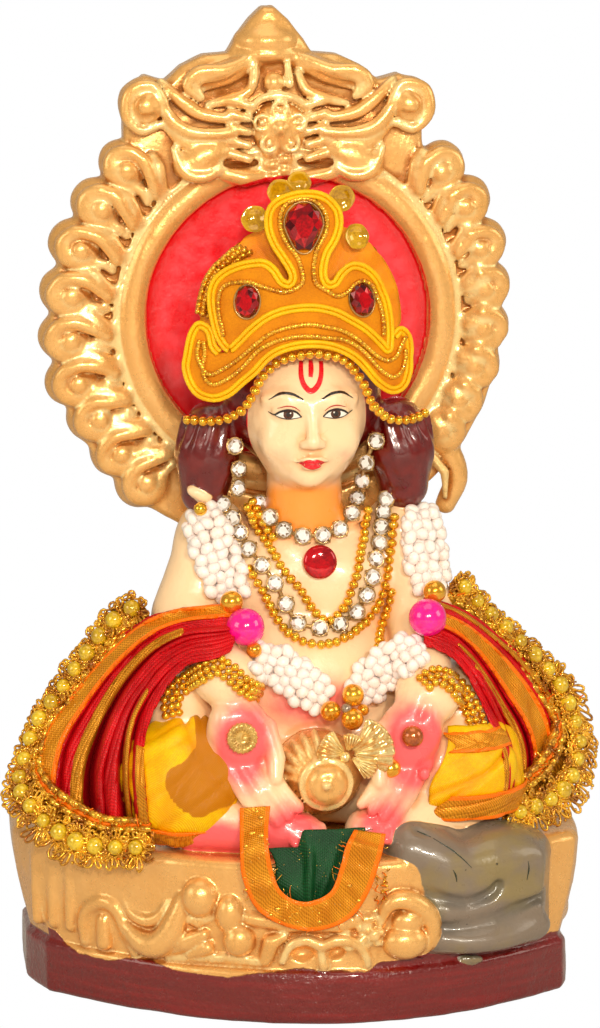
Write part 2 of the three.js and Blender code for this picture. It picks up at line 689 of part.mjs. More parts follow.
dress("palm_disc_left", tinsel, (grow) => disc(restOn(-11.2, 46.6, 0.9), 2.8, 2.8, 1.1, grow, 12));
pearl("palm_pearl_right", beadGold, [17, 46.2], 2, 1.9);

// Cloths over the knees: a patch of a ball round each, from the outer side to the front, in degrees
const KNEE_CLOTHS = {
  left: { from: -185, to: -82, high: 50, low: -36 },
  right: { from: -98, to: 10, high: 50, low: -22 },
};
const kneeClothRadius = KNEE.radius + 2 * GAP + CLOTH / 2;
function onKnee(centre, turn, rise) {
  const level = kneeClothRadius * Math.cos(rise);
  return vec(centre).add(
    new THREE.Vector3(level * Math.cos(turn), level * Math.sin(turn), kneeClothRadius * Math.sin(rise)),
  );
}
for (const [side, { from, to, high, low }] of Object.entries(KNEE_CLOTHS)) {
  const at = (u, v) =>
    onKnee(KNEE[side], degToRad(from + (to - from) * u), degToRad(high + (low - high) * v));
  dress(`knee_cloth_${side}`, yellow, (grow) => slab(at, CLOTH, grow, 5, 3));
}

// Apron and its ribbon at the front of the seat
const APRON = { left: -7.6, width: 18.4, top: 36, drop: 14.5, sag: 2.2, y: -29.6, forward: 3.2, steep: 1.6 };
const RIBBON = { x: 1.4, y: -34.8, z: 30.5, lean: 0.02, inner: 6.9, width: 4.6, stretch: 1.4, thick: 0.9 };
const onApron = (u, v) =>
  new THREE.Vector3(
    APRON.left + APRON.width * u,
    APRON.y - APRON.forward * Math.min(1, v * APRON.steep),
    APRON.top - APRON.drop * v - APRON.sag * Math.sin(u * Math.PI),
  );
// A half ring that hangs down: u runs round it and v outwards.
const onRibbon = (u, v) => {
  const r = RIBBON.inner + RIBBON.width * v;
  const drop = -Math.sin(u * Math.PI) * (r + RIBBON.stretch);
  const across = r * Math.cos(u * Math.PI);
  return new THREE.Vector3(RIBBON.x - across, RIBBON.y - RIBBON.lean * drop, RIBBON.z + drop);
};
dress("apron_cloth", green, (grow) => slab(onApron, CLOTH, grow, 5, 3));
dress("apron_ribbon", tissue, (grow) => slab(onRibbon, RIBBON.thick, grow, 12, 1));

// Shawl halves: fans that run from the pearls over the knees to the seat's corners
const shawlRows = {
  left: [
    [[-12.6, -19.5, 62], [-13.4, -17, 65.4], [-15.4, -12.5, 68.4], [-18.6, -6, 70]],
    [[-20.5, -22, 57.6], [-23.5, -18, 61.6], [-25, -11.5, 64.4], [-25.6, -2, 65.4]],
    [[-28, -23, 48], [-31.5, -17.5, 51.6], [-33.5, -10, 54], [-34, 0, 54]],
    [[-26, -25.5, 33.6], [-33.6, -19.5, 32.6], [-39, -12, 33.4], [-41.4, 0, 37.6]],
  ],
  right: [
    [[23.4, -19, 62], [24, -16.5, 65.4], [24.6, -12, 69], [25.4, -5, 71.4]],
    [[30.4, -20.5, 57], [31.6, -16.5, 61.5], [32, -10.5, 65], [30.6, -2, 67.4]],
    [[34.4, -21, 46.6], [38, -15.5, 50.6], [39.6, -8.5, 54], [40, 0, 55.6]],
    [[33.6, -21.5, 36], [40, -16.5, 34.6], [44.6, -8, 35.6], [46, 0, 41]],
  ],
};
for (const side of ["left", "right"]) {
  const at = surface(shawlRows[side]);
  dress(`shawl_${side}`, red, (grow) => slab(at, CLOTH, grow, 4, 6));
}

// Lace: a strip along the back edge of each shawl half and along its foot
const laceRows = {
  left: [
    [
      [-24, 0, 67.4], [-29.5, 1.5, 59.4], [-36, 2, 49.6], [-41.6, 1.4, 38], [-41.6, -4.4, 34],
      [-36.6, -17.4, 31.4], [-25, -27, 32],
    ],
    [
      [-27.3, 1, 68.5], [-34.5, 2.4, 59.5], [-41.5, 3, 50.5], [-46, 2, 38.5], [-49.4, -4, 26],
      [-40.5, -18.2, 20], [-23.5, -29, 21.4],
    ],
  ],
  right: [
    [
      [26.5, 0, 72.4], [33.5, 1, 64.6], [40.5, 1.5, 54.6], [46.4, 1, 42], [46, -3, 35.4],
      [42, -13.4, 33.6], [32.4, -23, 34.6],
    ],
    [
      [28.8, 1.2, 74.4], [38.4, 2.2, 63.5], [46, 2.6, 52.5], [51.6, 1.4, 40], [51.6, -4, 26],
      [46.6, -18.4, 23.4], [31.6, -27.4, 27],
    ],
  ],
};
for (const side of ["left", "right"]) {
  const at = surface(laceRows[side]);
  dress(`shawl_lace_${side}`, beadGold, (grow) => slab(at, LACE, grow, 10, 1));
}

export default idol;
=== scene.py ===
"""A small seated idol in painted plaster, dressed with felt, beads, stones, satin and gold lace.

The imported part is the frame. Sizes here are in millimetres in the frame's own axes, and each
mesh is turned into metres when it is made. The front faces -Y and +Z is up.
"""

import logging
import math
from collections.abc import Callable, Sequence
from dataclasses import dataclass, field
from enum import Enum
from typing import Any

import bpy
import numpy as np
from mathutils import Matrix, Vector
from mathutils.bvhtree import BVHTree


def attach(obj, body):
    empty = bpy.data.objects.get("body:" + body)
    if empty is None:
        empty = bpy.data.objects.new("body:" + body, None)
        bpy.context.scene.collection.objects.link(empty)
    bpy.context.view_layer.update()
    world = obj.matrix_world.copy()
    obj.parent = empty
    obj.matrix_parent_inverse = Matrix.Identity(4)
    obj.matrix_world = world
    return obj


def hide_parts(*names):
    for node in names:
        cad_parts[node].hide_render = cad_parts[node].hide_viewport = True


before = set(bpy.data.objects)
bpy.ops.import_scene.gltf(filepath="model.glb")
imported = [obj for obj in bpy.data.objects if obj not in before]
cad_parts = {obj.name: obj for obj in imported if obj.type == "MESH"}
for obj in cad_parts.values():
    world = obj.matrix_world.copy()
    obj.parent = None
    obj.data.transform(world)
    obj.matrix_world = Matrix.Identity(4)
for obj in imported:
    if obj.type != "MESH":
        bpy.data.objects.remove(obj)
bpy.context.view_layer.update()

BODY = "root"
MM = 0.001
LOG = logging.getLogger("idol")

Array = np.ndarray
Point = Sequence[float]
Colour = tuple[float, float, float]


# Camera geometry


@dataclass(frozen=True)
class Shot:
    """The place and lens of the camera, and the rays through its picture."""

    azimuth: float = -7.0
    elevation: float = 11.0
    distance: float = 650.0
    focal: float = 3900.0
    wide: int = 600
    high: int = 1028
    sensor: float = 36.0
    target: tuple[float, float, float] = (1.57, -0.19, 78.6)

    def axes(self) -> tuple[Array, Array, Array]:
        """Returns the right, up and forward directions of the camera."""
        a, e = math.radians(self.azimuth), math.radians(self.elevation)
        forward = np.array((-math.sin(a) * math.cos(e), math.cos(a) * math.cos(e), -math.sin(e)))
        right = np.array((math.cos(a), math.sin(a), 0.0))
        return right, np.cross(right, forward), forward

    def eye(self) -> Array:
        """Returns where the camera stands."""
        return np.array(self.target) - self.distance * self.axes()[2]

    def ray(self, across: float, down: float) -> Array:
        """Returns the direction through a picture point.

        Args:
            across: pixels from the picture's left edge.
            down: pixels from its top edge.
        """
        right, up, forward = self.axes()
        d = forward + (across - self.wide / 2) / self.focal * right
        d = d - (down - self.high / 2) / self.focal * up
        return d / np.linalg.norm(d)

    def at_depth(self, across: float, down: float, y: float) -> Array:
        """Returns the point behind a picture point at a given y."""
        eye, d = self.eye(), self.ray(across, down)
        return eye + d * (y - eye[1]) / d[1]

    def place(self) -> bpy.types.Object:
        """Makes the camera and returns it."""
        data = bpy.data.cameras.new("camera")
        data.sensor_fit = "AUTO"
        data.sensor_width = self.sensor
        data.lens = self.focal / self.high * self.sensor
        data.clip_start, data.clip_end = 0.05, 20.0
        camera = bpy.data.objects.new("camera", data)
        bpy.context.scene.collection.objects.link(camera)
        right, up, forward = (Vector(v) for v in self.axes())
        turn = Matrix((right, up, -forward)).transposed()
        camera.matrix_world = Matrix.Translation(Vector(self.eye()) * MM) @ turn.to_4x4()
        bpy.context.scene.camera = camera
        return camera


SHOT = Shot()


# Shader writing


class Tap:
    """One output of a shader node, with arithmetic on its value."""

    def __init__(self, shader: "Shader", socket: bpy.types.NodeSocket) -> None:
        """Keeps the socket and the shader that it belongs to."""
        self.shader, self.socket = shader, socket

    def _math(self, operation: str, a: Any, b: Any = 0.0) -> "Tap":
        """Returns a Math node of two values."""
        return self.shader.node("ShaderNodeMath", {"operation": operation}, {0: a, 1: b})

    def __add__(self, other: Any) -> "Tap":
        """Returns the sum."""
        return self._math("ADD", self, other)

    __radd__ = __add__

    def __mul__(self, other: Any) -> "Tap":
        """Returns the product."""
        return self._math("MULTIPLY", self, other)

    __rmul__ = __mul__

    def __sub__(self, other: Any) -> "Tap":
        """Returns the difference."""
        return self._math("SUBTRACT", self, other)

    def __rsub__(self, other: Any) -> "Tap":
        """Returns the difference the other way round."""
        return self._math("SUBTRACT", other, self)

    def __truediv__(self, other: Any) -> "Tap":
        """Returns the quotient."""
        return self._math("DIVIDE", self, other)

    def __pow__(self, other: Any) -> "Tap":
        """Returns the power."""
        return self._math("POWER", self, other)

    def top(self, other: Any) -> "Tap":
        """Returns the larger of two values."""
        return self._math("MAXIMUM", self, other)

    def wave(self) -> "Tap":
        """Returns the sine."""
        return self._math("SINE", self)

    def span(self, low: float, high: float, to_low: float = 0.0, to_high: float = 1.0) -> "Tap":
        """Returns the value moved smoothly from one range to another, and held at its ends."""
        return self.shader.node(
            "ShaderNodeMapRange",
            {"interpolation_type": "SMOOTHSTEP"},
            {0: self, 1: low, 2: high, 3: to_low, 4: to_high},
        )


class Shader:
    """A material under construction."""

    def __init__(self, name: str) -> None:
        """Starts an empty material."""
        self.material = bpy.data.materials.new(name)
        self.material.use_nodes = True
        self.tree = self.material.node_tree
        self.tree.nodes.clear()
        self._place: Tap | None = None

    def node(
        self,
        kind: str,
        settings: dict[str, Any] | None = None,
        sockets: dict[Any, Any] | None = None,
        out: int | str = 0,
    ) -> Tap:
        """Adds a node.

        Args:
            kind: the node's type.
            settings: its properties, and for a ramp its stops.
            sockets: values or taps for its inputs, by name or number.
            out: the output that is wanted.

        Returns:
            The tap of that output.
        """
        made = self.tree.nodes.new(kind)
        for key, value in (settings or {}).items():
            if key == "stops":
                self._stops(made.color_ramp, value)
            else:
                setattr(made, key, value)
        for key, value in (sockets or {}).items():
            if isinstance(value, Tap):
                self.tree.links.new(value.socket, made.inputs[key])
            elif value is not None:
                made.inputs[key].default_value = value
        return Tap(self, made.outputs[out] if made.outputs else None)

    @staticmethod
    def _stops(ramp: bpy.types.ColorRamp, stops: Sequence[tuple[float, Colour]]) -> None:
        """Sets a ramp's stops."""
        while len(ramp.elements) < len(stops):
            ramp.elements.new(1.0)
        for element, (at, colour) in zip(ramp.elements, stops):
            element.position = at
            element.color = (*colour, 1.0)

    def place(self) -> Tap:
        """Returns the point on the surface in the frame, in metres."""
        if self._place is None:
            self._place = self.node("ShaderNodeTexCoord", out="Object")
        return self._place

    def along(self, scale: Point) -> Tap:
        """Returns the point on the surface, scaled on each axis."""
        return self.node(
            "ShaderNodeVectorMath", {"operation": "MULTIPLY"}, {0: self.place(), 1: tuple(scale)}
        )

    def mark(self, name: str) -> Tap:
        """Returns a value that the mesh carries."""
        return self.node("ShaderNodeAttribute", {"attribute_name": name}, out="Fac")

    def noise(self, size: float, detail: float = 3.0, where: Tap | None = None) -> Tap:
        """Returns noise with features of a given size in millimetres."""
        return self.node(
            "ShaderNodeTexNoise",
            {},
            {"Vector": where or self.place(), "Scale": 1 / (size * MM), "Detail": detail},
        )

    def cells(self, size: float, out: str = "Distance") -> Tap:
        """Returns a cell pattern with cells of a given size in millimetres."""
        return self.node(
            "ShaderNodeTexVoronoi", {}, {"Vector": self.place(), "Scale": 1 / (size * MM)}, out
        )

    def blend(self, share: Any, a: Any, b: Any, how: str = "MIX") -> Tap:
        """Returns two colours mixed."""
        a, b = (v if isinstance(v, Tap) else (*v, 1.0) for v in (a, b))
        return self.node(
            "ShaderNodeMix", {"data_type": "RGBA", "blend_type": how}, {0: share, 6: a, 7: b}, 2
        )

    def bump(self, height: Tap, depth: float, strength: float = 1.0) -> Tap:
        """Returns a normal bent by a height.

        Args:
            height: the height, from 0 to 1.
            depth: what 1 stands for, in millimetres.
            strength: how much of it shows.
        """
        return self.node(
            "ShaderNodeBump", {}, {"Height": height, "Distance": depth * MM, "Strength": strength}
        )

    def finish(self, **sockets: Any) -> bpy.types.Material:
        """Adds the surface and returns the material.

        Args:
            sockets: the Principled sockets, with _ for a space.
        """
        named = {key.replace("_", " "): value for key, value in sockets.items()}
        for key in ("Base Color", "Specular Tint", "Sheen Tint", "Coat Tint", "Emission Color"):
            if key in named and not isinstance(named[key], Tap):
                named[key] = (*named[key], 1.0)
        surface = self.node("ShaderNodeBsdfPrincipled", {}, named)
        self.node("ShaderNodeOutputMaterial", {}, {"Surface": surface})
        return self.material


def linear(red: float, green: float, blue: float) -> Colour:
    """Returns a screen colour as a light colour."""
    return tuple(c / 12.92 if c <= 0.04045 else ((c + 0.055) / 1.055) ** 2.4 for c in (red, green, blue))


# Meshes


def smooth_line(points: Sequence[Point], step: float, closed: bool = False) -> Array:
    """Returns a smooth line through points, with points at an even step along it."""
    p = np.array(points, float)
    if closed:
        p = np.vstack([p[-1], p, p[0], p[1]])
    else:
        p = np.vstack([2 * p[0] - p[1], p, 2 * p[-1] - p[-2]])
    parts = []
    t = np.linspace(0, 1, 24, endpoint=False)[:, None]
    for a, b, c, d in zip(p, p[1:], p[2:], p[3:]):
        parts.append(
            0.5 * (2 * b + (c - a) * t + (2 * a - 5 * b + 4 * c - d) * t**2 + (3 * b - a - 3 * c + d) * t**3)
        )
    line = np.vstack([*parts, p[-2][None]])
    run = np.concatenate([[0], np.cumsum(np.linalg.norm(np.diff(line, axis=0), axis=1))])
    count = max(2, round(run[-1] / step) + 1)
    at = np.linspace(0, run[-1], count)
    even = np.stack([np.interp(at, run, line[:, k]) for k in range(line.shape[1])], axis=1)
    return even[:-1] if closed else even


def frames(path: Array, closed: bool = False) -> tuple[Array, Array]:
    """Returns two directions across a path at each of its points, turning as little as possible."""
    ahead = np.roll(path, -1, axis=0) - np.roll(path, 1, axis=0)
    if not closed:
        ahead[0], ahead[-1] = path[1] - path[0], path[-1] - path[-2]
    ahead /= np.linalg.norm(ahead, axis=1)[:, None] + 1e-12
    side = np.cross(ahead[0], (0.0, 0.0, 1.0))
    if np.linalg.norm(side) < 0.1:
        side = np.cross(ahead[0], (1.0, 0.0, 0.0))
    sides = []
    for t in ahead:
        side = side - t * np.dot(side, t)
        side = side / np.linalg.norm(side)
        sides.append(side)
    first = np.array(sides)
    return first, np.cross(ahead, first)


class Stock:
    """Parts of one piece, gathered before its mesh is made."""

    def __init__(self) -> None:
        """Starts with no parts."""
        self.points: list[Array] = []
        self.faces: list[Array] = []
        self.kinds: list[Array] = []
        self.marks: dict[str, list[Array]] = {}
        self.count = 0

    def add(self, points: Array, *faces: Array, kind: int | Array = 0, **marks: Array) -> None:
        """Adds a part.

        Args:
            points: its points.
            faces: arrays of its triangles or quads.
            kind: the number of its finish, or one for each face.
            marks: values at its points.
        """
        for f in faces:
            self.faces.append(np.asarray(f) + self.count)
            self.kinds.append(np.broadcast_to(kind, (len(f),)))
        for name, values in marks.items():
            held = self.marks.setdefault(name, [np.zeros(self.count)])
            held.append(np.asarray(values, float))
        self.points.append(np.asarray(points, float))
        self.count += len(points)
        for name, held in self.marks.items():
            if name not in marks:
                held.append(np.zeros(len(points)))

    def tube(
        self,
        path: Array,
        radius: float | Array,
        sides: int = 8,
        closed: bool = False,
        strands: int = 0,
        pitch: float = 1.0,
        groove: float = 0.22,
        kind: int = 0,
        squash: tuple[float, float] = (1.0, 1.0),
    ) -> None:
        """Adds a round or twisted cord along a path.

        Args:
            path: its middle line.
            radius: its radius, or one for each point.
            sides: points round it.
            closed: whether it is a loop.
            strands: strands twisted round each other, or 0.
            pitch: length of one turn of the twist.
            groove: depth between strands, as a share of the radius.
            kind: the number of its finish.
            squash: how much it is flattened on its two cross directions.
        """
        n = len(path)
        across, up = frames(path, closed)
        run = np.concatenate([[0], np.cumsum(np.linalg.norm(np.diff(path, axis=0), axis=1))])
        turn = np.linspace(0, 2 * np.pi, sides, endpoint=False)
        r = np.broadcast_to(np.asarray(radius, float), (n,))[:, None] * np.ones(sides)
        if strands:
            r = r * (1 - groove + groove * np.abs(np.cos(strands / 2 * (turn - 2 * np.pi * run[:, None] / pitch))))
        ring = (
            path[:, None]
            + (r * np.cos(turn) * squash[0])[..., None] * across[:, None]
            + (r * np.sin(turn) * squash[1])[..., None] * up[:, None]
        )
        points = ring.reshape(-1, 3)
        rows = np.arange(n if closed else n - 1)
        a = rows[:, None] * sides + np.arange(sides)
        b = rows[:, None] * sides + (np.arange(sides) + 1) % sides
        c, d = (b + sides) % (n * sides), (a + sides) % (n * sides)
        quads = np.stack([a, b, c, d], axis=-1).reshape(-1, 4)
        if closed:
            self.add(points, quads, kind=kind)
            return
        ends = np.vstack([points, path[:1], path[-1:]])
        fan = np.arange(sides)
        start = np.stack([(fan + 1) % sides, fan, np.full(sides, n * sides)], axis=1)
        last = (n - 1) * sides
        stop = np.stack([last + fan, last + (fan + 1) % sides, np.full(sides, n * sides + 1)], axis=1)
        self.add(ends, quads, start, stop, kind=kind)

    def turned(
        self,
        profile: Sequence[tuple[float, float]],
        matrix: Array,
        around: int = 12,
        kind: int = 0,
        shape: Callable[[Array], Array] | None = None,
    ) -> None:
        """Adds a closed turned form.

        Args:
            profile: radius and height of each ring, the first and last at radius 0.
            matrix: 3 by 4 placing of its axes, with its height along the third.
            around: points round it.
            kind: the number of its finish.
            shape: a scale of the radius for each angle.
        """
        turn = np.linspace(0, 2 * np.pi, around, endpoint=False)
        scale = shape(turn) if shape else np.ones(around)
        rings = np.array(profile, float)
        inner = rings[1:-1]
        x = inner[:, :1] * np.cos(turn) * scale
        y = inner[:, :1] * np.sin(turn) * scale
        z = np.broadcast_to(inner[:, 1:], x.shape)
        local = np.stack([x, y, z], axis=-1).reshape(-1, 3)
        local = np.vstack([local, (0, 0, rings[0, 1]), (0, 0, rings[-1, 1])])
        m = np.asarray(matrix, float)
        points = local @ m[:, :3].T + m[:, 3]
        rows, fan = len(inner), np.arange(around)
        a = np.arange(rows - 1)[:, None] * around + fan
        b = np.arange(rows - 1)[:, None] * around + (fan + 1) % around
        quads = np.stack([a, b, b + around, a + around], axis=-1).reshape(-1, 4)
        last = (rows - 1) * around
        low = np.stack([(fan + 1) % around, fan, np.full(around, rows * around)], axis=1)
        high = np.stack([last + fan, last + (fan + 1) % around, np.full(around, rows * around + 1)], axis=1)
        self.add(points, quads, low, high, kind=kind)

    def bead(self, centre: Point, radius: float | Point, around: int = 12, kind: int = 0, axis: Point | None = None) -> None:
        """Adds a round bead, with its poles along an axis."""
        rows = max(4, round(around * 0.6))
        t = np.linspace(-np.pi / 2, np.pi / 2, rows + 1)
        profile = [(math.cos(v), math.sin(v)) for v in t]
        r = np.broadcast_to(np.asarray(radius, float), (3,))
        base = facing(axis) if axis is not None else np.eye(3)
        m = np.hstack([base * r, np.array(centre, float)[:, None]])
        self.turned(profile, m, around, kind)

    def cloth(self, grid: Array, thick: float, kind: int | Array = 0, **marks: Array) -> None:
        """Adds a thin closed sheet over a grid of points.

        Args:
            grid: rows by points across by 3.
            thick: its thickness.
            kind: the number of its finish, one for each strip across, or one for each face.
            marks: values at the grid's points.
        """
        rows, across = grid.shape[:2]
        n = np.cross(np.gradient(grid, axis=1), np.gradient(grid, axis=0))
        n /= np.linalg.norm(n, axis=2)[..., None] + 1e-9
        points = np.concatenate([(grid + n * thick / 2).reshape(-1, 3), (grid - n * thick / 2).reshape(-1, 3)])
        quads = rows_of(rows, across)
        kinds = np.broadcast_to(kind, (rows - 1, across - 1)).ravel()
        half = rows * across
        loop = [*range(across), *(across * np.arange(2, rows) + across - 1)]
        loop += [half - 1 - k for k in range(across)] + [across * k for k in range(rows - 2, 0, -1)]
        a = np.array(list(dict.fromkeys(loop)))
        b = np.roll(a, -1)
        edge = np.stack([b, a, a + half, b + half], axis=1)
        both = {name: np.tile(np.asarray(v, float).ravel(), 2) for name, v in marks.items()}
        side = np.full(len(edge), kinds[0])
        faces = np.concatenate([quads, quads[:, ::-1] + half, edge])
        self.add(points, faces, kind=np.concatenate([kinds, kinds, side]), **both)

    def string(
        self,
        path: Array,
        pitch: float,
        radius: float,
        squash: float = 0.86,
        kind: int = 0,
        chance: np.random.Generator | None = None,
        around: int = 12,
    ) -> None:
        """Adds beads threaded on a path.

        Args:
            path: the thread, with even steps.
            pitch: the distance between beads.
            radius: a bead's radius.
            squash: a bead's length along the thread, as a share of its width.
            kind: the number of its finish.
            chance: where its unevenness comes from, or None.
            around: points round a bead.
        """
        run = np.concatenate([[0], np.cumsum(np.linalg.norm(np.diff(path, axis=0), axis=1))])
        for d in np.arange(pitch / 2, run[-1], pitch):
            p = np.array([np.interp(d, run, path[:, k]) for k in range(3)])
            q = np.array([np.interp(d + 0.3, run, path[:, k]) for k in range(3)])
            o = np.array([np.interp(d - 0.3, run, path[:, k]) for k in range(3)])
            axis, r = q - o, radius
            if chance is not None:
                p = p + chance.normal(0, 0.06 * radius, 3)
                axis = axis + chance.normal(0, 0.05, 3)
                r = radius * chance.uniform(0.93, 1.05)
            self.bead(p, (r, r, r * squash), around, kind, axis)

    def stone(
        self,
        centre: Point,
        turn: Array,
        half: tuple[float, float],
        rise: float,
        around: int = 8,
        kinds: Sequence[int] = (0, 1, 2),
        seed: int = 0,
        shape: Callable[[Array], Array] | None = None,
    ) -> None:
        """Adds a cut stone: a table, two rows of facets and a closed back.

        Args:
            centre: the middle of its girdle.
            turn: columns of its turn, the third pointing out of its table.
            half: its half width and half height.
            rise: height of its table over its girdle.
            around: facets round it.
            kinds: lit and shaded copies of one finish, shared out among its facets as painted reflections.
            seed: how they are shared out.
            shape: a scale of the radius for each angle.
        """
        chance = np.random.default_rng(seed)
        rings = []
        for radius, height, shift in ((1.0, -0.25, 0.0), (1.0, 0.0, 0.0), (0.82, 0.62, 0.5), (0.5, 1.0, 0.0)):
            t = (np.arange(around) + shift) * 2 * np.pi / around
            scale = shape(t) if shape else np.ones(around)
            rings.append(np.stack([half[0] * radius * scale * np.cos(t), half[1] * radius * scale * np.sin(t), np.full(around, rise * height)], axis=1))
        local = np.vstack([*rings, (0, 0, rise), (0, 0, -0.9 * rise)])
        points = local @ np.asarray(turn).T + np.array(centre, float)
        k = np.arange(around)
        j = (k + 1) % around
        a, b, c, d = (n * around for n in range(4))
        tris = [
            np.stack([a + k, a + j, b + j], 1), np.stack([a + k, b + j, b + k], 1),
            np.stack([b + k, b + j, c + k], 1), np.stack([b + j, c + j, c + k], 1),
            np.stack([c + k, d + j, d + k], 1), np.stack([c + k, c + j, d + j], 1),
            np.stack([d + k, d + j, np.full(around, 4 * around)], 1),
            np.stack([a + j, a + k, np.full(around, 4 * around + 1)], 1),
        ]
        # Each facet takes one of the lit and shaded copies as a painted reflection; the table always takes the first,
        # lit one
        shared = [chance.choice(kinds, around) for _ in tris]
        shared[6] = np.full(around, kinds[0])
        self.add(points, np.concatenate(tris), kind=np.concatenate(shared))

    def piece(
        self,
        name: str,
        finishes: Sequence[bpy.types.Material],
        slot: str,
        replaces: Sequence[str] = (),
        flat: Sequence[int] = (),
    ) -> bpy.types.Object:
        """Makes the piece, and lets it ride.

        Args:
            name: the piece's name.
            finishes: its materials, by kind.
            slot: the record's material slot; not used.
            replaces: the CAD nodes that it stands for.
            flat: the kinds whose facets show.

        Returns:
            The new object.
        """
        tris = [np.asarray(f) for f in self.faces]
        sizes = np.concatenate([np.full(len(f), f.shape[1]) for f in tris])
        corners = np.concatenate([f.ravel() for f in tris]).astype(np.int32)
        starts = np.concatenate([[0], np.cumsum(sizes)[:-1]]).astype(np.int32)
        mesh = bpy.data.meshes.new(name)
        mesh.vertices.add(self.count)
        mesh.vertices.foreach_set("co", (np.concatenate(self.points) * MM).astype(np.float32).ravel())
        mesh.loops.add(len(corners))
        mesh.loops.foreach_set("vertex_index", corners)
        mesh.polygons.add(len(sizes))
        mesh.polygons.foreach_set("loop_start", starts)
        kinds = np.concatenate(self.kinds).astype(np.int32)
        mesh.polygons.foreach_set("material_index", kinds)
        mesh.update(calc_edges=True)
        for key, values in self.marks.items():
            mark = mesh.attributes.new(key, "FLOAT", "POINT")
            mark.data.foreach_set("value", np.concatenate(values).astype(np.float32))
        mesh.polygons.foreach_set("use_smooth", ~np.isin(kinds, list(flat)))
        for finish in finishes:
            mesh.materials.append(finish)
        return settle(bpy.data.objects.new(name, mesh), slot, replaces)


def settle(obj: bpy.types.Object, slot: str, replaces: Sequence[str] = ()) -> bpy.types.Object:
    """Puts a piece in the scene, lets it ride on the body and hides the parts it stands for."""
    bpy.context.scene.collection.objects.link(obj)
    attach(obj, BODY)
    if replaces:
        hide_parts(*replaces)
    LOG.info("%s: %d faces", obj.name, len(obj.data.polygons))
    return obj


def even_line(points: Sequence[Point], count: int, closed: bool = False) -> Array:
    """Returns a smooth line through points, with a given number of even points."""
    line = smooth_line(points, 0.3, closed)
    at = np.linspace(0, len(line) - 1, count)
    return np.stack([np.interp(at, np.arange(len(line)), line[:, k]) for k in range(line.shape[1])], axis=1)


def span_grid(lines: Sequence[Sequence[Point]], rows: int, across: int) -> Array:
    """Returns a smooth grid over guide lines: rows along them, points across them.

    Args:
        lines: the guide lines, side by side.
        rows: rows along them.
        across: points across them.
    """
    guides = np.stack([even_line(line, rows) for line in lines], axis=1)
    return np.stack([even_line(row, across) for row in guides])


def facing(axis: Point, up: Point = (0.0, 0.0, 1.0)) -> Array:
    """Returns three columns of a turn whose third points along an axis."""
    n = np.array(axis, float)
    n /= np.linalg.norm(n)
    side = np.cross(up, n)
    if np.linalg.norm(side) < 1e-3:
        side = np.cross((1.0, 0.0, 0.0), n)
    side /= np.linalg.norm(side)
    return np.stack([side, np.cross(n, side), n], axis=1)


def rows_of(count: int, across: int) -> Array:
    """Returns the quads of a grid with count rows of across points."""
    a = np.arange(count - 1)[:, None] * across + np.arange(across - 1)
    return np.stack([a, a + 1, a + across + 1, a + across], axis=-1).reshape(-1, 4)


# The clay grid


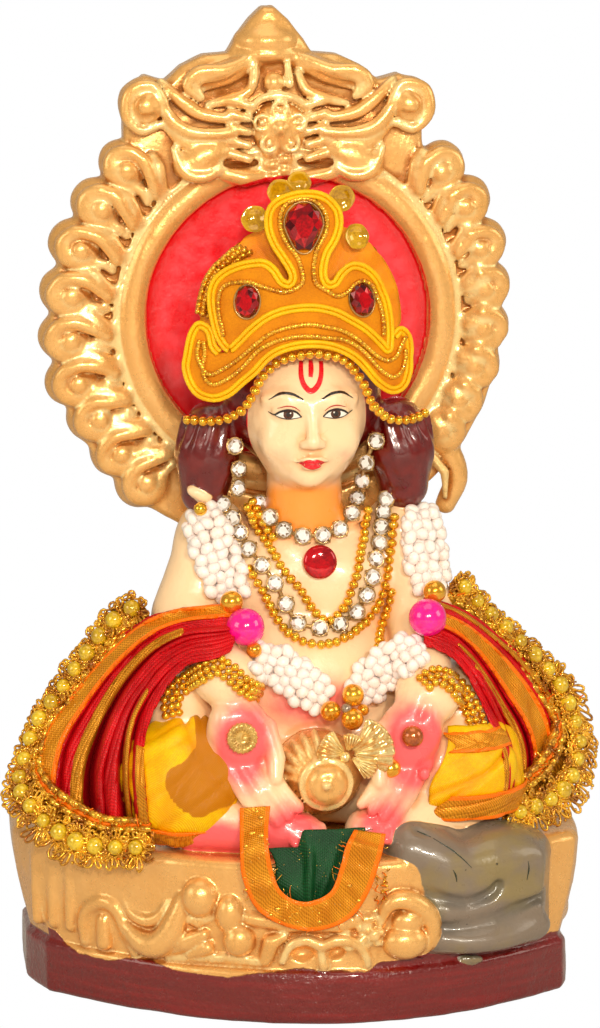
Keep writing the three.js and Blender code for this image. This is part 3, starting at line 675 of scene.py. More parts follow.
class Clay:
    """A block of clay: signed distances on a grid, one field for each painted part."""

    FAR = 12.0

    def __init__(self, low: Point, high: Point, step: float) -> None:
        """Starts an empty block.

        Args:
            low: its lowest corner.
            high: its highest corner.
            step: the distance between grid points.
        """
        self.low, self.step = np.array(low, float), step
        self.shape = tuple(int((b - a) / step) + 2 for a, b in zip(low, high))
        self.axes = [
            (self.low[k] + step * np.arange(self.shape[k])).astype(np.float32) for k in range(3)
        ]
        self.fields: dict[str, Array] = {}

    def window(self, low: Point, high: Point) -> tuple[tuple[slice, ...], Array, Array, Array]:
        """Returns the part of the grid between two corners, and its coordinates."""
        cut = []
        for k in range(3):
            a = max(0, int((low[k] - self.low[k]) / self.step))
            b = min(self.shape[k], int((high[k] - self.low[k]) / self.step) + 2)
            cut.append(slice(a, max(a + 1, b)))
        x, y, z = (self.axes[k][cut[k]] for k in range(3))
        return tuple(cut), x[:, None, None], y[None, :, None], z[None, None, :]

    def press(self, part: str, cut: tuple[slice, ...], d: Array, blend: float, carve: bool = False) -> None:
        """Adds a shape to a part, or takes it away, with a soft seam.

        Args:
            part: the painted part.
            cut: the window of the grid.
            d: the shape's distances there.
            blend: width of the soft seam.
            carve: whether it is taken away.
        """
        if part not in self.fields:
            self.fields[part] = np.full(self.shape, self.FAR, np.float32)
        held = self.fields[part][cut]
        if carve:
            d, held = -d, held
            mixed = np.maximum(held, d)
            if blend:
                h = np.maximum(blend - np.abs(held - d), 0) / blend
                mixed = mixed + h * h * blend / 4
        else:
            mixed = np.minimum(held, d)
            if blend:
                h = np.maximum(blend - np.abs(held - d), 0) / blend
                mixed = mixed - h * h * blend / 4
        self.fields[part][cut] = mixed

    def ball(
        self,
        part: str,
        centre: Point,
        half: Point,
        blend: float = 1.0,
        turn: Array | None = None,
        carve: bool = False,
    ) -> None:
        """Presses an ellipsoid.

        Args:
            part: the painted part.
            centre: its middle.
            half: its half axes.
            blend: width of the soft seam.
            turn: columns of a turn, or None.
            carve: whether it is taken away.
        """
        reach = max(half) + blend + 3.0
        c = np.array(centre, float)
        cut, x, y, z = self.window(c - reach, c + reach)
        dx, dy, dz = x - c[0], y - c[1], z - c[2]
        if turn is not None:
            dx, dy, dz = (turn[0, k] * dx + turn[1, k] * dy + turn[2, k] * dz for k in range(3))
        h = np.array(half, np.float32)
        k0 = np.sqrt((dx / h[0]) ** 2 + (dy / h[1]) ** 2 + (dz / h[2]) ** 2)
        k1 = np.sqrt((dx / h[0] ** 2) ** 2 + (dy / h[1] ** 2) ** 2 + (dz / h[2] ** 2) ** 2) + 1e-6
        self.press(part, cut, k0 * (k0 - 1) / k1, blend, carve)

    def limb(
        self,
        part: str,
        points: Sequence[Point],
        radii: Sequence[float],
        blend: float = 1.0,
        carve: bool = False,
        flat: float = 1.0,
    ) -> None:
        """Presses a rounded limb or ridge along points.

        Args:
            part: the painted part.
            points: its middle line.
            radii: its radius at each point.
            blend: width of the soft seam.
            carve: whether it is taken away.
            flat: its depth along y, as a share of its width.
        """
        p = np.array(points, float)
        r = np.array(radii, float)
        reach = r.max() + blend + 2.5
        cut, x, y, z = self.window(p.min(0) - reach, p.max(0) + reach)
        y = y / flat
        best = None
        for a, b, ra, rb in zip(p, p[1:], r, r[1:]):
            a, b = a / (1, flat, 1), b / (1, flat, 1)
            along = b - a
            length = float(along @ along) + 1e-9
            dx, dy, dz = x - a[0], y - a[1], z - a[2]
            t = np.clip((dx * along[0] + dy * along[1] + dz * along[2]) / length, 0, 1)
            d = np.sqrt((dx - t * along[0]) ** 2 + (dy - t * along[1]) ** 2 + (dz - t * along[2]) ** 2)
            d = (d - (ra + (rb - ra) * t)) * min(1.0, flat)
            best = d if best is None else np.minimum(best, d)
        self.press(part, cut, best, blend, carve)

    def slab(
        self,
        part: str,
        outline: Sequence[tuple[float, float]],
        low: float,
        high: float,
        axis: int,
        blend: float = 0.0,
        round_: float = 0.8,
        carve: bool = False,
        widen: Callable[[Array], Array] | None = None,
        bend: Callable[[Array, Array], Array] | None = None,
    ) -> None:
        """Presses an outline drawn out along y (axis 1) or z (axis 2), with rounded edges.

        Args:
            part: the painted part.
            outline: its points, x with z or x with y.
            low: where it starts.
            high: where it ends.
            axis: the axis that it is drawn along.
            blend: width of the soft seam.
            round_: radius of its edges.
            carve: whether it is taken away.
            widen: how much wider the outline is at each height, or None.
            bend: how far the slab is moved along its axis at each x and z, or None.
        """
        other = 3 - axis
        o = np.array(outline, float)
        lows, highs = np.zeros(3), np.zeros(3)
        lows[0], highs[0] = o[:, 0].min(), o[:, 0].max()
        lows[other], highs[other] = o[:, 1].min(), o[:, 1].max()
        lows[axis], highs[axis] = low, high
        if bend is not None:
            lows[axis], highs[axis] = self.axes[axis][0], self.axes[axis][-1]
        cut, x, y, z = self.window(lows - 5.0, highs + 5.0)
        u, v = x, (z if axis == 1 else y)
        w = y if axis == 1 else z
        if widen is not None:
            u = u / widen(w)
        d2 = outline_distance(u, v, o) + round_
        if bend is not None:
            w = w - bend(x, z)
        dw = np.abs(w - (low + high) / 2) - (high - low) / 2 + round_
        d = np.sqrt(np.maximum(d2, 0) ** 2 + np.maximum(dw, 0) ** 2)
        d = d + np.minimum(np.maximum(d2, dw), 0) - round_
        self.press(part, cut, d, blend, carve)

    def ring(
        self, part: str, centre: Point, radius: float, thick: float, blend: float = 0.5, carve: bool = False, deep: float = 1.0
    ) -> None:
        """Presses a ring that faces the front."""
        c = np.array(centre, float)
        reach = np.array((radius + thick, thick * deep, radius + thick)) + blend + 2.5
        cut, x, y, z = self.window(c - reach, c + reach)
        across = np.sqrt((x - c[0]) ** 2 + (z - c[2]) ** 2) - radius
        d = np.sqrt(across**2 + ((y - c[1]) / deep) ** 2) - thick
        self.press(part, cut, d * min(1.0, deep), blend, carve)

    def ripple(self, size: float, depth: float, seed: int) -> None:
        """Gives every part the slow unevenness of a hand-made mould.

        Args:
            size: distance between its waves.
            depth: how far it moves the surface.
            seed: which unevenness.
        """
        chance = np.random.default_rng(seed)
        counts = [int(n * self.step / size) + 3 for n in self.shape]
        values = chance.uniform(-1, 1, counts).astype(np.float32)
        for k in range(3):
            at = np.arange(self.shape[k]) * self.step / size
            i = at.astype(int)
            t = (at - i).astype(np.float32)
            t = t * t * (3 - 2 * t)
            shape = [1, 1, 1]
            shape[k] = -1
            t = t.reshape(shape)
            values = np.take(values, i, axis=k) * (1 - t) + np.take(values, i + 1, axis=k) * t
        for held in self.fields.values():
            held += depth * values

    def whole(self, blend: float = 0.5) -> Array:
        """Returns the distances of all parts together."""
        made: Array | None = None
        for held in self.fields.values():
            if made is None:
                made = held.copy()
                continue
            h = np.maximum(blend - np.abs(made - held), 0) / blend
            made = np.minimum(made, held) - h * h * blend / 4
        return made

    def sample(self, values: Array, points: Array) -> Array:
        """Returns the values of a field at points."""
        at = (points - self.low) / self.step
        top = np.array(self.shape) - 1.001
        at = np.clip(at, 0, top)
        i = at.astype(np.int32)
        f = (at - i).astype(np.float32)
        flat = values.reshape(-1)
        sy, sx = self.shape[2], self.shape[1] * self.shape[2]
        base = i[:, 0] * sx + i[:, 1] * sy + i[:, 2]
        out = np.zeros(len(points), np.float32)
        for a in (0, 1):
            for b in (0, 1):
                for c in (0, 1):
                    w = (f[:, 0] if a else 1 - f[:, 0]) * (f[:, 1] if b else 1 - f[:, 1])
                    w = w * (f[:, 2] if c else 1 - f[:, 2])
                    out += w * flat[base + a * sx + b * sy + c]
        return out

    def slope(self, values: Array, points: Array) -> Array:
        """Returns the unit direction in which a field grows at points."""
        e = self.step * 0.75
        parts = []
        for k in range(3):
            shift = np.zeros(3)
            shift[k] = e
            parts.append(self.sample(values, points + shift) - self.sample(values, points - shift))
        g = np.stack(parts, axis=1)
        return g / (np.linalg.norm(g, axis=1)[:, None] + 1e-9)

    def skin(self, values: Array) -> tuple[Array, Array]:
        """Returns the points and quads of the surface where a field is zero."""
        inside = values < 0
        nx, ny, nz = self.shape
        count = np.zeros((nx - 1, ny - 1, nz - 1), np.uint8)
        corners = [(a, b, c) for a in (0, 1) for b in (0, 1) for c in (0, 1)]
        for a, b, c in corners:
            count += inside[a : nx - 1 + a, b : ny - 1 + b, c : nz - 1 + c]
        cells = np.argwhere((count > 0) & (count < 8)).astype(np.int32)
        number = np.full((nx - 1, ny - 1, nz - 1), -1, np.int32)
        number[cells[:, 0], cells[:, 1], cells[:, 2]] = np.arange(len(cells))
        v = {c: values[cells[:, 0] + c[0], cells[:, 1] + c[1], cells[:, 2] + c[2]] for c in corners}
        total, hits = np.zeros((len(cells), 3)), np.zeros(len(cells))
        for k in range(3):
            for c in corners:
                if c[k]:
                    continue
                far = tuple(1 if i == k else c[i] for i in range(3))
                va, vb = v[c], v[far]
                cross = (va < 0) != (vb < 0)
                t = np.where(cross, va / np.where(cross, va - vb, 1), 0)
                p = np.array(c, float) + t[:, None] * np.eye(3)[k]
                total += np.where(cross[:, None], p, 0)
                hits += cross
        points = self.low + self.step * (cells + total / hits[:, None])
        quads = []
        for k in range(3):
            i, j = (k + 1) % 3, (k + 2) % 3
            a = [slice(1, -1)] * 3
            a[k] = slice(0, -1)
            b = list(a)
            b[k] = slice(1, None)
            here, there = inside[tuple(a)], inside[tuple(b)]
            edges = np.argwhere(here != there).astype(np.int32)
            out = here[edges[:, 0], edges[:, 1], edges[:, 2]]
            base = edges + 1
            base[:, k] -= 1
            ring = []
            for di, dj in ((-1, -1), (0, -1), (0, 0), (-1, 0)):
                cell = base.copy()
                cell[:, i] += di
                cell[:, j] += dj
                ring.append(number[cell[:, 0], cell[:, 1], cell[:, 2]])
            quad = np.stack(ring, axis=1)
            quads.append(np.where(out[:, None], quad, quad[:, ::-1]))
        for _ in range(2):
            d = self.sample(values, points)
            points = points - np.clip(d, -self.step, self.step)[:, None] * self.slope(values, points) * 0.8
        return points, np.concatenate(quads)


def outline_distance(u: Array, v: Array, outline: Array) -> Array:
    """Returns signed distances from a closed outline, negative inside it."""
    best = np.full(np.broadcast_shapes(u.shape, v.shape), 1e9, np.float32)
    inside = np.zeros(best.shape, bool)
    for (ax, ay), (bx, by) in zip(outline, np.roll(outline, -1, axis=0)):
        ex, ey = bx - ax, by - ay
        wx, wy = u - ax, v - ay
        t = np.clip((wx * ex + wy * ey) / (ex * ex + ey * ey + 1e-12), 0, 1)
        best = np.minimum(best, (wx - ex * t) ** 2 + (wy - ey * t) ** 2)
        if ay != by:
            inside ^= ((v >= ay) != (v >= by)) & (u < ax + ex * (v - ay) / (by - ay))
    return np.where(inside, -1, 1) * np.sqrt(best)


# The casting


@dataclass
class Plinth:
    """The plinth and the seat on it, bowed at the front and flat at the back."""

    left: float = -45.0
    right: float = 44.5
    back: float = 12.0
    front: float = -32.5
    bow_x: float = 6.0
    bow: float = 0.0102
    height: float = 9.0
    seat_top: float = 27.0
    inset: float = 1.2
    flare: float = 0.075

    def front_at(self, x: float, inset: float = 0.0) -> float:
        """Returns y of the front edge at x."""
        return self.front + inset + self.bow * (x - self.bow_x) ** 2

    def plan(self, inset: float = 0.0) -> list[tuple[float, float]]:
        """Returns the outline from above, drawn in by inset."""
        xs = np.linspace(self.left + 3, self.right - 1, 13)
        points = [(x, self.front_at(x)) for x in xs]
        points += [(self.right, self.front_at(self.right) + 1.5), (self.right, self.back)]
        points += [(self.left, self.back), (self.left, self.front_at(self.left) + 5)]
        points += [(self.left + 1, self.front_at(self.left) + 2)]
        middle = (self.left + self.right) / 2
        drawn = []
        for x, y in points:
            side = (x - middle) / (self.right - middle)
            moved = y if y > self.back - 1e-6 else y + inset * (1 - 0.4 * abs(side))
            drawn.append((x - inset * side, moved))
        return drawn

    def on(self, x: float, z: float, out: float = 0.0) -> tuple[float, float, float]:
        """Returns a point on the seat's front, moved out by a distance."""
        return x, self.front_at(x, self.inset) - out, z

    def press(self, clay: Clay) -> None:
        """Presses the plinth, the seat and its scrolled front."""
        clay.slab("gold", self.plan(), 0.0, self.height, 2, round_=1.1)
        low = self.height - 1.0

        def widen(z: Array) -> Array:
            """Returns how much the seat is stretched sideways at a height."""
            rise = np.clip((z - low) / (self.seat_top - low), 0, 1)
            return 1 + self.flare * np.sin(rise * np.pi / 2)

        clay.slab("gold", self.plan(self.inset), low, self.seat_top, 2, 0.6, 1.6, widen=widen)
        on = self.on
        # Flutes at the left corner
        for x in (-43.2, -40.7, -38.0):
            clay.limb("gold", [on(x, 23.0, 0.3), on(x, 12.4, 0.3)], [1.3, 1.1], 0.35)
        # Arch with a lobe inside it
        arch = [on(-35.9, 10.2), on(-35.9, 14.5, 0.3), on(-34.0, 17.2, 0.4), on(-31.9, 17.5, 0.4)]
        arch += [on(-30.4, 16.0, 0.4), on(-29.2, 12.4, 0.4), on(-28.0, 9.8, 0.3)]
        clay.limb("gold", smooth_line(arch, 1.2), self._swelling(arch, 1.2, 0.9, 1.3), 0.5)
        clay.limb("gold", [on(-32.9, 14.4, 0.2), on(-32.8, 10.8, 0.4)], [1.25, 1.5], 0.4)
        # Thin swag, and the broad sweep under it that ends at a ball
        swag = [on(-29.8, 18.8, 0.2), on(-28.4, 16.4, 0.5), on(-26.2, 15.5, 0.6), on(-24.2, 16.6, 0.5), on(-22.8, 19.2, 0.2)]
        clay.limb("gold", smooth_line(swag, 1.2), self._swelling(swag, 1.2, 0.7, 1.1), 0.4)
        sweep = [on(-29.6, 14.2, 0.3), on(-27.4, 12.2, 0.9), on(-25.0, 11.8, 1.2), on(-23.0, 13.6, 1.1)]
        sweep += [on(-21.6, 16.7, 0.8), on(-20.6, 20.0, 0.4)]
        clay.limb("gold", smooth_line(sweep, 1.2), self._swelling(sweep, 1.2, 1.3, 2.3), 0.5)
        clay.ball("gold", on(-17.8, 20.6, 0.4), (3.1, 2.6, 3.3), 0.4)
        clay.limb("gold", [on(-20.4, 17.0, 0.4), on(-18.2, 16.4, 0.6), on(-16.4, 17.4, 0.4)], [0.7, 0.9, 0.6], 0.3)
        # Leaf, and the two bulbs beside it
        clay.limb("gold", [on(-22.4, 10.8, 0.2), on(-20.2, 12.8, 0.5), on(-17.4, 14.4, 0.6)], [0.9, 1.6, 1.0], 0.4)
        clay.limb("gold", [on(-19.4, 10.8, 0.2), on(-16.8, 12.2, 0.5)], [1.0, 1.3], 0.3)
        clay.ball("gold", on(-13.3, 18.2, 0.2), (2.3, 2.2, 3.2), 0.4)
        clay.ball("gold", on(-11.8, 13.9, 0.5), (2.7, 2.3, 2.8), 0.4)
        clay.limb("gold", [on(-23, 9.7), on(-18, 10.2), on(-14, 10.6), on(-8.4, 10.3)], [0.6, 0.8, 0.8, 0.7], 0.4)
        # Leaf and a wavy ledge with two hollows, under the apron
        clay.limb("gold", [on(-7.6, 10.8), on(-6.8, 13.8, 0.5), on(-4.8, 15.0, 0.6)], [1.2, 1.5, 0.9], 0.4)
        ledge = [on(-5.0, 10.6, 0.3), on(-3.8, 13.4, 0.7), on(-1.2, 14.4, 0.8), on(1.2, 13.4, 0.7), on(3.6, 14.3, 0.8)]
        ledge += [on(6.6, 13.9, 0.7), on(8.4, 11.6, 0.6), on(8.8, 10.0, 0.3)]
        clay.limb("gold", smooth_line(ledge, 1.0), self._swelling(ledge, 1.0, 0.7, 1.0), 0.4)
        clay.limb("gold", [on(1.0, 13.0, 0.4), on(1.6, 10.0, 0.3)], [0.7, 0.9], 0.5)
        clay.ball("gold", on(-1.7, 11.8), (1.9, 1.7, 1.2), 0.5, facing_flat(6), carve=True)
        clay.ball("gold", on(3.9, 11.9), (1.4, 1.5, 0.9), 0.5, facing_flat(24), carve=True)
        clay.limb("gold", [on(-10, 17.6), on(-4, 16.8, 0.3), on(4, 16.8, 0.3), on(9, 17.6)], [1.3, 1.2, 1.2, 1.1], 0.5)
        for k in range(7):
            clay.ball("gold", on(-17 + 1.25 * k, 9.9 + 0.05 * k, 0.9), (0.45, 0.6, 0.45), 0.2, carve=True)
        # Crumpled gold, and the curl over a smooth boss
        chance = np.random.default_rng(17)
        for _ in range(22):
            x, z, out = chance.uniform(4.6, 11.4), chance.uniform(12.8, 18.2), chance.uniform(-0.1, 0.6)
            clay.ball("gold", on(x, z, out), chance.uniform(0.6, 1.3, 3), 0.25)
        clay.ball("gold", on(15.0, 13.4, 0.6), (3.8, 2.7, 2.9), 0.3)
        clay.ball("gold", on(15.4, 16.9, 0.2), (2.8, 2.2, 2.2), 0.3)
        curl = [on(11.2, 17.8, 0.3), on(12.2, 20.0, 0.8), on(14.4, 20.7, 1.1), on(17.2, 19.6, 1.3)]
        curl += [on(19.2, 16.9, 1.3), on(19.4, 14.0, 1.1), on(17.8, 11.4, 0.7)]
        clay.limb("gold", smooth_line(curl, 1.0), self._swelling(curl, 1.0, 1.0, 1.7), 0.3)
        # Lobes that show beside the grey lump
        for z, r in ((12.6, 3.2), (18.0, 3.6), (24.0, 3.4)):
            clay.ball("gold", (42.6 + 0.13 * z, -8 + 0.1 * z, z), (2.0, 7.5, r), 1.6)

    @staticmethod
    def _swelling(points: Sequence[Point], step: float, thin: float, thick: float) -> list[float]:
        """Returns radii for a smooth line through points, thickest in the middle."""
        count = len(smooth_line(points, step))
        return [thin + (thick - thin) * math.sin(math.pi * k / (count - 1)) for k in range(count)]


@dataclass
class Halo:
    """The halo: a round red field in a smooth ring, a curled border and a crest."""

    x: float = 0.2
    z: float = 111.0
    front: float = 5.0
    back: float = 12.2
    field: float = 23.7
    ring: float = 26.0
    edge: float = 28.7
    plate: tuple[float, float, float] = (-1.4, 110.0, 37.8)
    crest_x: float = -2.0
    left_lobes: tuple[tuple[float, float, float], ...] = (
        (136.5, 37.6, 3.8),
        (148.7, 37.2, 4.0),
        (160.5, 37.6, 4.1),
        (172.8, 37.4, 4.0),
        (184.6, 37.6, 4.0),
        (196.2, 37.8, 4.1),
        (207.0, 36.8, 4.1),
        (218.0, 37.0, 3.9),
        (228.5, 37.4, 4.2),
    )
    right_lobes: tuple[tuple[float, float, float], ...] = (
        (43.8, 36.2, 3.8),
        (32.0, 35.8, 4.0),
        (19.6, 35.2, 4.0),
        (8.0, 34.4, 3.9),
        (-3.6, 34.0, 3.9),
        (-15.0, 33.6, 3.9),
        (-26.0, 33.2, 3.8),
        (-36.5, 33.4, 3.6),
    )

    def polar(self, radius: float, degrees: float, y: float) -> tuple[float, float, float]:
        """Returns a point at a radius and an angle about the red field."""
        t = math.radians(degrees)
        return self.x + radius * math.cos(t), y, self.z + radius * math.sin(t)

    def press(self, clay: Clay) -> None:
        """Presses the whole halo."""
        px, pz, pr = self.plate
        t = np.linspace(0, 2 * np.pi, 72, endpoint=False)
        disc = np.stack([px + pr * np.cos(t), pz + pr * np.sin(t)], axis=1)
        clay.slab("gold", disc, self.front + 0.6, self.back, 1, round_=1.2)
        half = [(25.4, 141), (25.3, 148.4), (21.6, 151.2), (18, 150.2), (15.2, 152.6), (11.2, 154.4)]
        half += [(7, 154.8), (5.6, 157), (3.0, 160.2), (0.8, 162.2)]
        left = [(self.crest_x - 1 - 0.94 * dx, z) for dx, z in half]
        right = [(self.crest_x - 0.6 + dx, z) for dx, z in reversed(half)]
        outline = [*left, *right, (23, 134), (-25, 134)]
        clay.slab("gold", outline, self.front + 0.6, self.back, 1, 0.8, 1.4)
        stem = [(-21, 20), (23, 20), (21, 68), (16.5, 84), (-13.5, 84), (-19, 68)]
        clay.slab("gold", stem, self.front - 1, self.back, 1, 1.0, 1.2)
        # Red field, ring and its bead line
        field_line = np.stack([self.x + self.field * np.cos(t), self.z + self.field * np.sin(t)], axis=1)
        clay.slab("gold", field_line, -6, 6.2, 1, 0.3, 0.1, carve=True)
        clay.ring("gold", (self.x, 4.9, self.z), self.ring, 2.35, 0.5, deep=0.72)
        clay.ring("gold", (self.x, 4.5, self.z), self.edge, 0.55, 0.25)
        clay.ring("gold", (self.x, 4.6, self.z), self.edge + 1.3, 0.5, 0.5, carve=True)
        for side, lobes in ((1, self.left_lobes), (-1, self.right_lobes)):
            for number, (angle, radius, size) in enumerate(lobes):
                self._lobe(clay, side, angle, radius, size, number)
        hook = [(24.4, 7, 90.5), (27.4, 6.6, 87.4), (29.0, 6.6, 83), (27.2, 7, 78.4)]
        clay.limb("gold", smooth_line(hook, 1.2), np.linspace(2.6, 1.7, len(smooth_line(hook, 1.2))), 0.7)
        clay.limb("gold", [(23.5, 4.6, 88), (26.6, 4, 84.4), (26.8, 4.4, 80)], [0.9, 0.8, 0.5], 0.4)
        self._crest(clay)

    def _lobe(self, clay: Clay, side: int, angle: float, radius: float, size: float, number: int) -> None:
        """Presses one curled leaf of the border, with its veins running down to the ring."""
        chance = np.random.default_rng(40 * side + number + 60)
        jog = chance.uniform(-0.5, 0.5, 4)

        def at(r: float, down: float, y: float) -> tuple[float, float, float]:
            """Returns a point of the leaf, by radius and degrees towards the foot."""
            return self.polar(r, angle + side * down, y)

        clay.ball("gold", at(radius, 0, 8.4), (size, 4.1, size), 0.9)
        clay.ball("gold", at(radius - 0.9, 0.8, 5.0), (size * 0.84, 2.1, size * 0.84), 1.0)
        curl = [at(radius - 2.4, 3.4, 5), at(radius + 0.6, 4.0, 4.6), at(radius + 2.2, 0.6, 4.6)]
        curl += [at(radius + 1.0, -3.2, 4.0), at(radius - 1.8, -4.4, 3.6), at(33.2, -3.4 + jog[0], 3.7)]
        curl += [at(30.4, -0.4 + jog[1], 4.4)]
        line = smooth_line(curl, 0.8)
        clay.limb("gold", line, np.linspace(0.95, 1.25, len(line)), 0.85)
        groove = [at(radius - 2.8, 1.6, 3.7), at(radius - 0.4, 2.4, 3.4), at(radius + 0.4, -0.4, 3.4)]
        groove += [at(radius - 1.4, -1.9, 3.5), at(33.4, -0.8, 4.0), at(31.0, 1.6, 4.4)]
        line = smooth_line(groove, 0.8)
        clay.limb("gold", line, np.linspace(0.2, 0.4, len(line)), 0.6, carve=True)
        clay.ball("gold", at(radius - 1.2, 0.6, 3.8), (1.5, 1.1, 1.5), 0.7)
        vein = [at(35.2, -6.6 + jog[2], 4.4), at(33.2, -6.4 + jog[2], 4.0), at(31.6, -4.8, 4.1), at(30.2, -2.9, 4.6)]
        line = smooth_line(vein, 0.8)
        clay.limb("gold", line, np.linspace(0.8, 1.05, len(line)), 0.8)
        vein = [at(34.4, 3.2, 4.8), at(32.4, 2.6 + jog[3], 4.4), at(30.4, 3.6, 4.8)]
        line = smooth_line(vein, 0.8)
        clay.limb("gold", line, np.linspace(0.95, 0.8, len(line)), 0.8)

    def _crest(self, clay: Clay) -> None:
        """Presses the onion top, the flower and the leaf wings."""
        for side in (-1, 1):

            def at(dx: float, z: float, y: float) -> tuple[float, float, float]:
                """Returns a point of the crest, mirrored to its side."""
                return self.crest_x + 0.4 + side * dx, y, z

            def stroke(points: list[tuple[float, float, float]], thin: float, thick: float, carve: bool = False) -> None:
                """Presses a tapered ridge or groove."""
                line = smooth_line([at(*p) for p in points], 0.8)
                radii = thin + 0.15 + (thick - thin) * np.sin(np.linspace(0, np.pi, len(line)))
                clay.limb("gold", line, radii, 0.7, carve)

            # Knob with its spiral
            clay.ball("gold", at(22.2, 146.6, 7.6), (3.9, 5.0, 4.1), 0.9)
            clay.ball("gold", at(21.8, 146.2, 3.6), (2.7, 2.2, 2.8), 0.4)
            stroke([(19.4, 143.4, 3.4), (22.6, 142.4, 3.4), (25.0, 145, 3.6), (24.2, 148.8, 3.6), (20.8, 149.8, 3.2), (18.8, 147.2, 2.9)], 0.5, 0.9)
            stroke([(20.6, 144.8, 2.0), (23.2, 144.8, 2.0), (23.8, 147, 2.2), (22, 148.4, 2.0)], 0.2, 0.42, True)
            # Three long ridges from the knob to the flower
            stroke([(19.2, 150.2, 4.6), (16.4, 147.6, 3.8), (12.8, 145, 3.6), (8.2, 144.2, 3.4)], 0.6, 1.1)
            stroke([(19.6, 147.4, 3.4), (16.6, 143.2, 3.2), (12.6, 141.8, 3.2), (7.6, 141.9, 3.2)], 0.7, 1.15)
            stroke([(18.6, 143.2, 4.0), (15.2, 140.2, 3.6), (11.2, 140.0, 3.6), (8.0, 140.6, 3.8)], 0.6, 0.95)
            stroke([(17.4, 145.6, 4.0), (13.6, 143.2, 4.0), (9, 143, 4.0)], 0.3, 0.6, True)
            # Bud that hangs over the ring
            clay.ball("gold", at(12.6, 137.6, 4.0), (5.2, 2.3, 2.9), 0.5, facing_flat(-side * 24))
            stroke([(17.2, 139.4, 3.2), (15.6, 135.6, 2.6), (12, 134.8, 2.4), (8.6, 136.8, 3.0)], 0.5, 0.85)
            clay.limb("gold", [at(9, 135.2, 3.4), at(5.4, 134.4, 3.2), at(2.6, 134.6, 3.6)], [1.2, 1.4, 0.9], 0.4)
            clay.ball("gold", at(6.6, 136.9, 4.2), (3.6, 2.4, 0.9), 0.3, carve=True)
            # Upper leaves
            clay.limb("gold", [at(3.6, 153.4, 6), at(8.4, 151.6, 5), at(13, 150.4, 4.4)], [1.7, 2.0, 1.9], 0.6)
            stroke([(4.4, 154, 4.6), (8.6, 152.2, 3.6), (13, 152, 3.2), (15, 149.8, 3.2), (12.8, 147.8, 3.4)], 0.6, 0.95)
            stroke([(5.4, 151.6, 3.4), (9, 149.8, 3.2), (12.2, 149.6, 3.2)], 0.35, 0.6, True)
            stroke([(3.4, 151.6, 4.4), (4.8, 148.6, 3.8), (8.6, 147.2, 3.8), (11.4, 146.6, 3.9)], 0.5, 0.85)
            # Frill beside the flower
            for k in range(5):
                z = 146.4 - 2.2 * k
                clay.limb("gold", [at(4.9, z, 3.2), at(7.6 + 0.3 * (k % 2), z + 0.8, 3.6)], [0.75, 0.95], 0.35)
        x = self.crest_x
        # Flower of five petals round a boss
        clay.ball("gold", (x + 0.6, 4.0, 142.6), (4.6, 2.2, 4.6), 0.5)
        for k in range(5):
            t = math.radians(90 + 72 * k)
            petal = (x + 0.6 + 3.1 * math.cos(t), 2.4, 142.6 + 3.1 * math.sin(t))
            clay.ring("gold", petal, 1.25, 0.42, 0.2)
            clay.ball("gold", petal, (0.6, 0.7, 0.6), 0.2)
        clay.ball("gold", (x + 0.6, 2.0, 142.6), (1.2, 1.0, 1.2), 0.3)
        arch = [(x - 4.2, 3.6, 145.4), (x - 2.6, 3.0, 147.4), (x + 0.6, 2.8, 148.0), (x + 3.6, 3.0, 147.2), (x + 5.2, 3.6, 145.8)]
        clay.limb("gold", smooth_line(arch, 0.8), [0.75] * len(smooth_line(arch, 0.8)), 0.35)
        # Tassel under the flower
        for k in range(6):
            clay.ball("gold", (x + 0.4 + (1.5, -1.4)[k % 2] * (1 - 0.1 * k), 3.6, 139.4 - 0.95 * k), (1.35, 1.3, 1.1), 0.3)
        # Neck of the onion and its middle leaf
        for dx in (-2.9, 2.6):
            clay.limb("gold", [(x - 0.6 + dx, 4.4, 153.4), (x - 0.6 + dx * 1.1, 3.4, 149.8)], [0.7, 0.75], 0.3)
        clay.ball("gold", (x - 0.3, 4.0, 150.0), (1.8, 1.7, 1.9), 0.3)
        # Onion of two tiers
        clay.ball("gold", (x - 1.0, 8.2, 154.6), (6.6, 5.0, 2.0), 0.4)
        clay.ball("gold", (x - 1.0, 8.0, 156.6), (5.6, 4.9, 3.0), 0.3)
        clay.ball("gold", (x - 1.0, 8.3, 158.2), (3.3, 3.6, 2.4), 0.9)
        clay.limb("gold", [(x - 0.9, 8.6, 158.4), (x - 0.3, 9.0, 161.7)], [2.5, 0.6], 0.6)


def facing_flat(degrees: float) -> Array:
    """Returns a turn about y, seen from the front, anticlockwise."""
    c, s = math.cos(math.radians(degrees)), math.sin(math.radians(degrees))
    return np.array(((c, 0.0, -s), (0.0, 1.0, 0.0), (s, 0.0, c)))


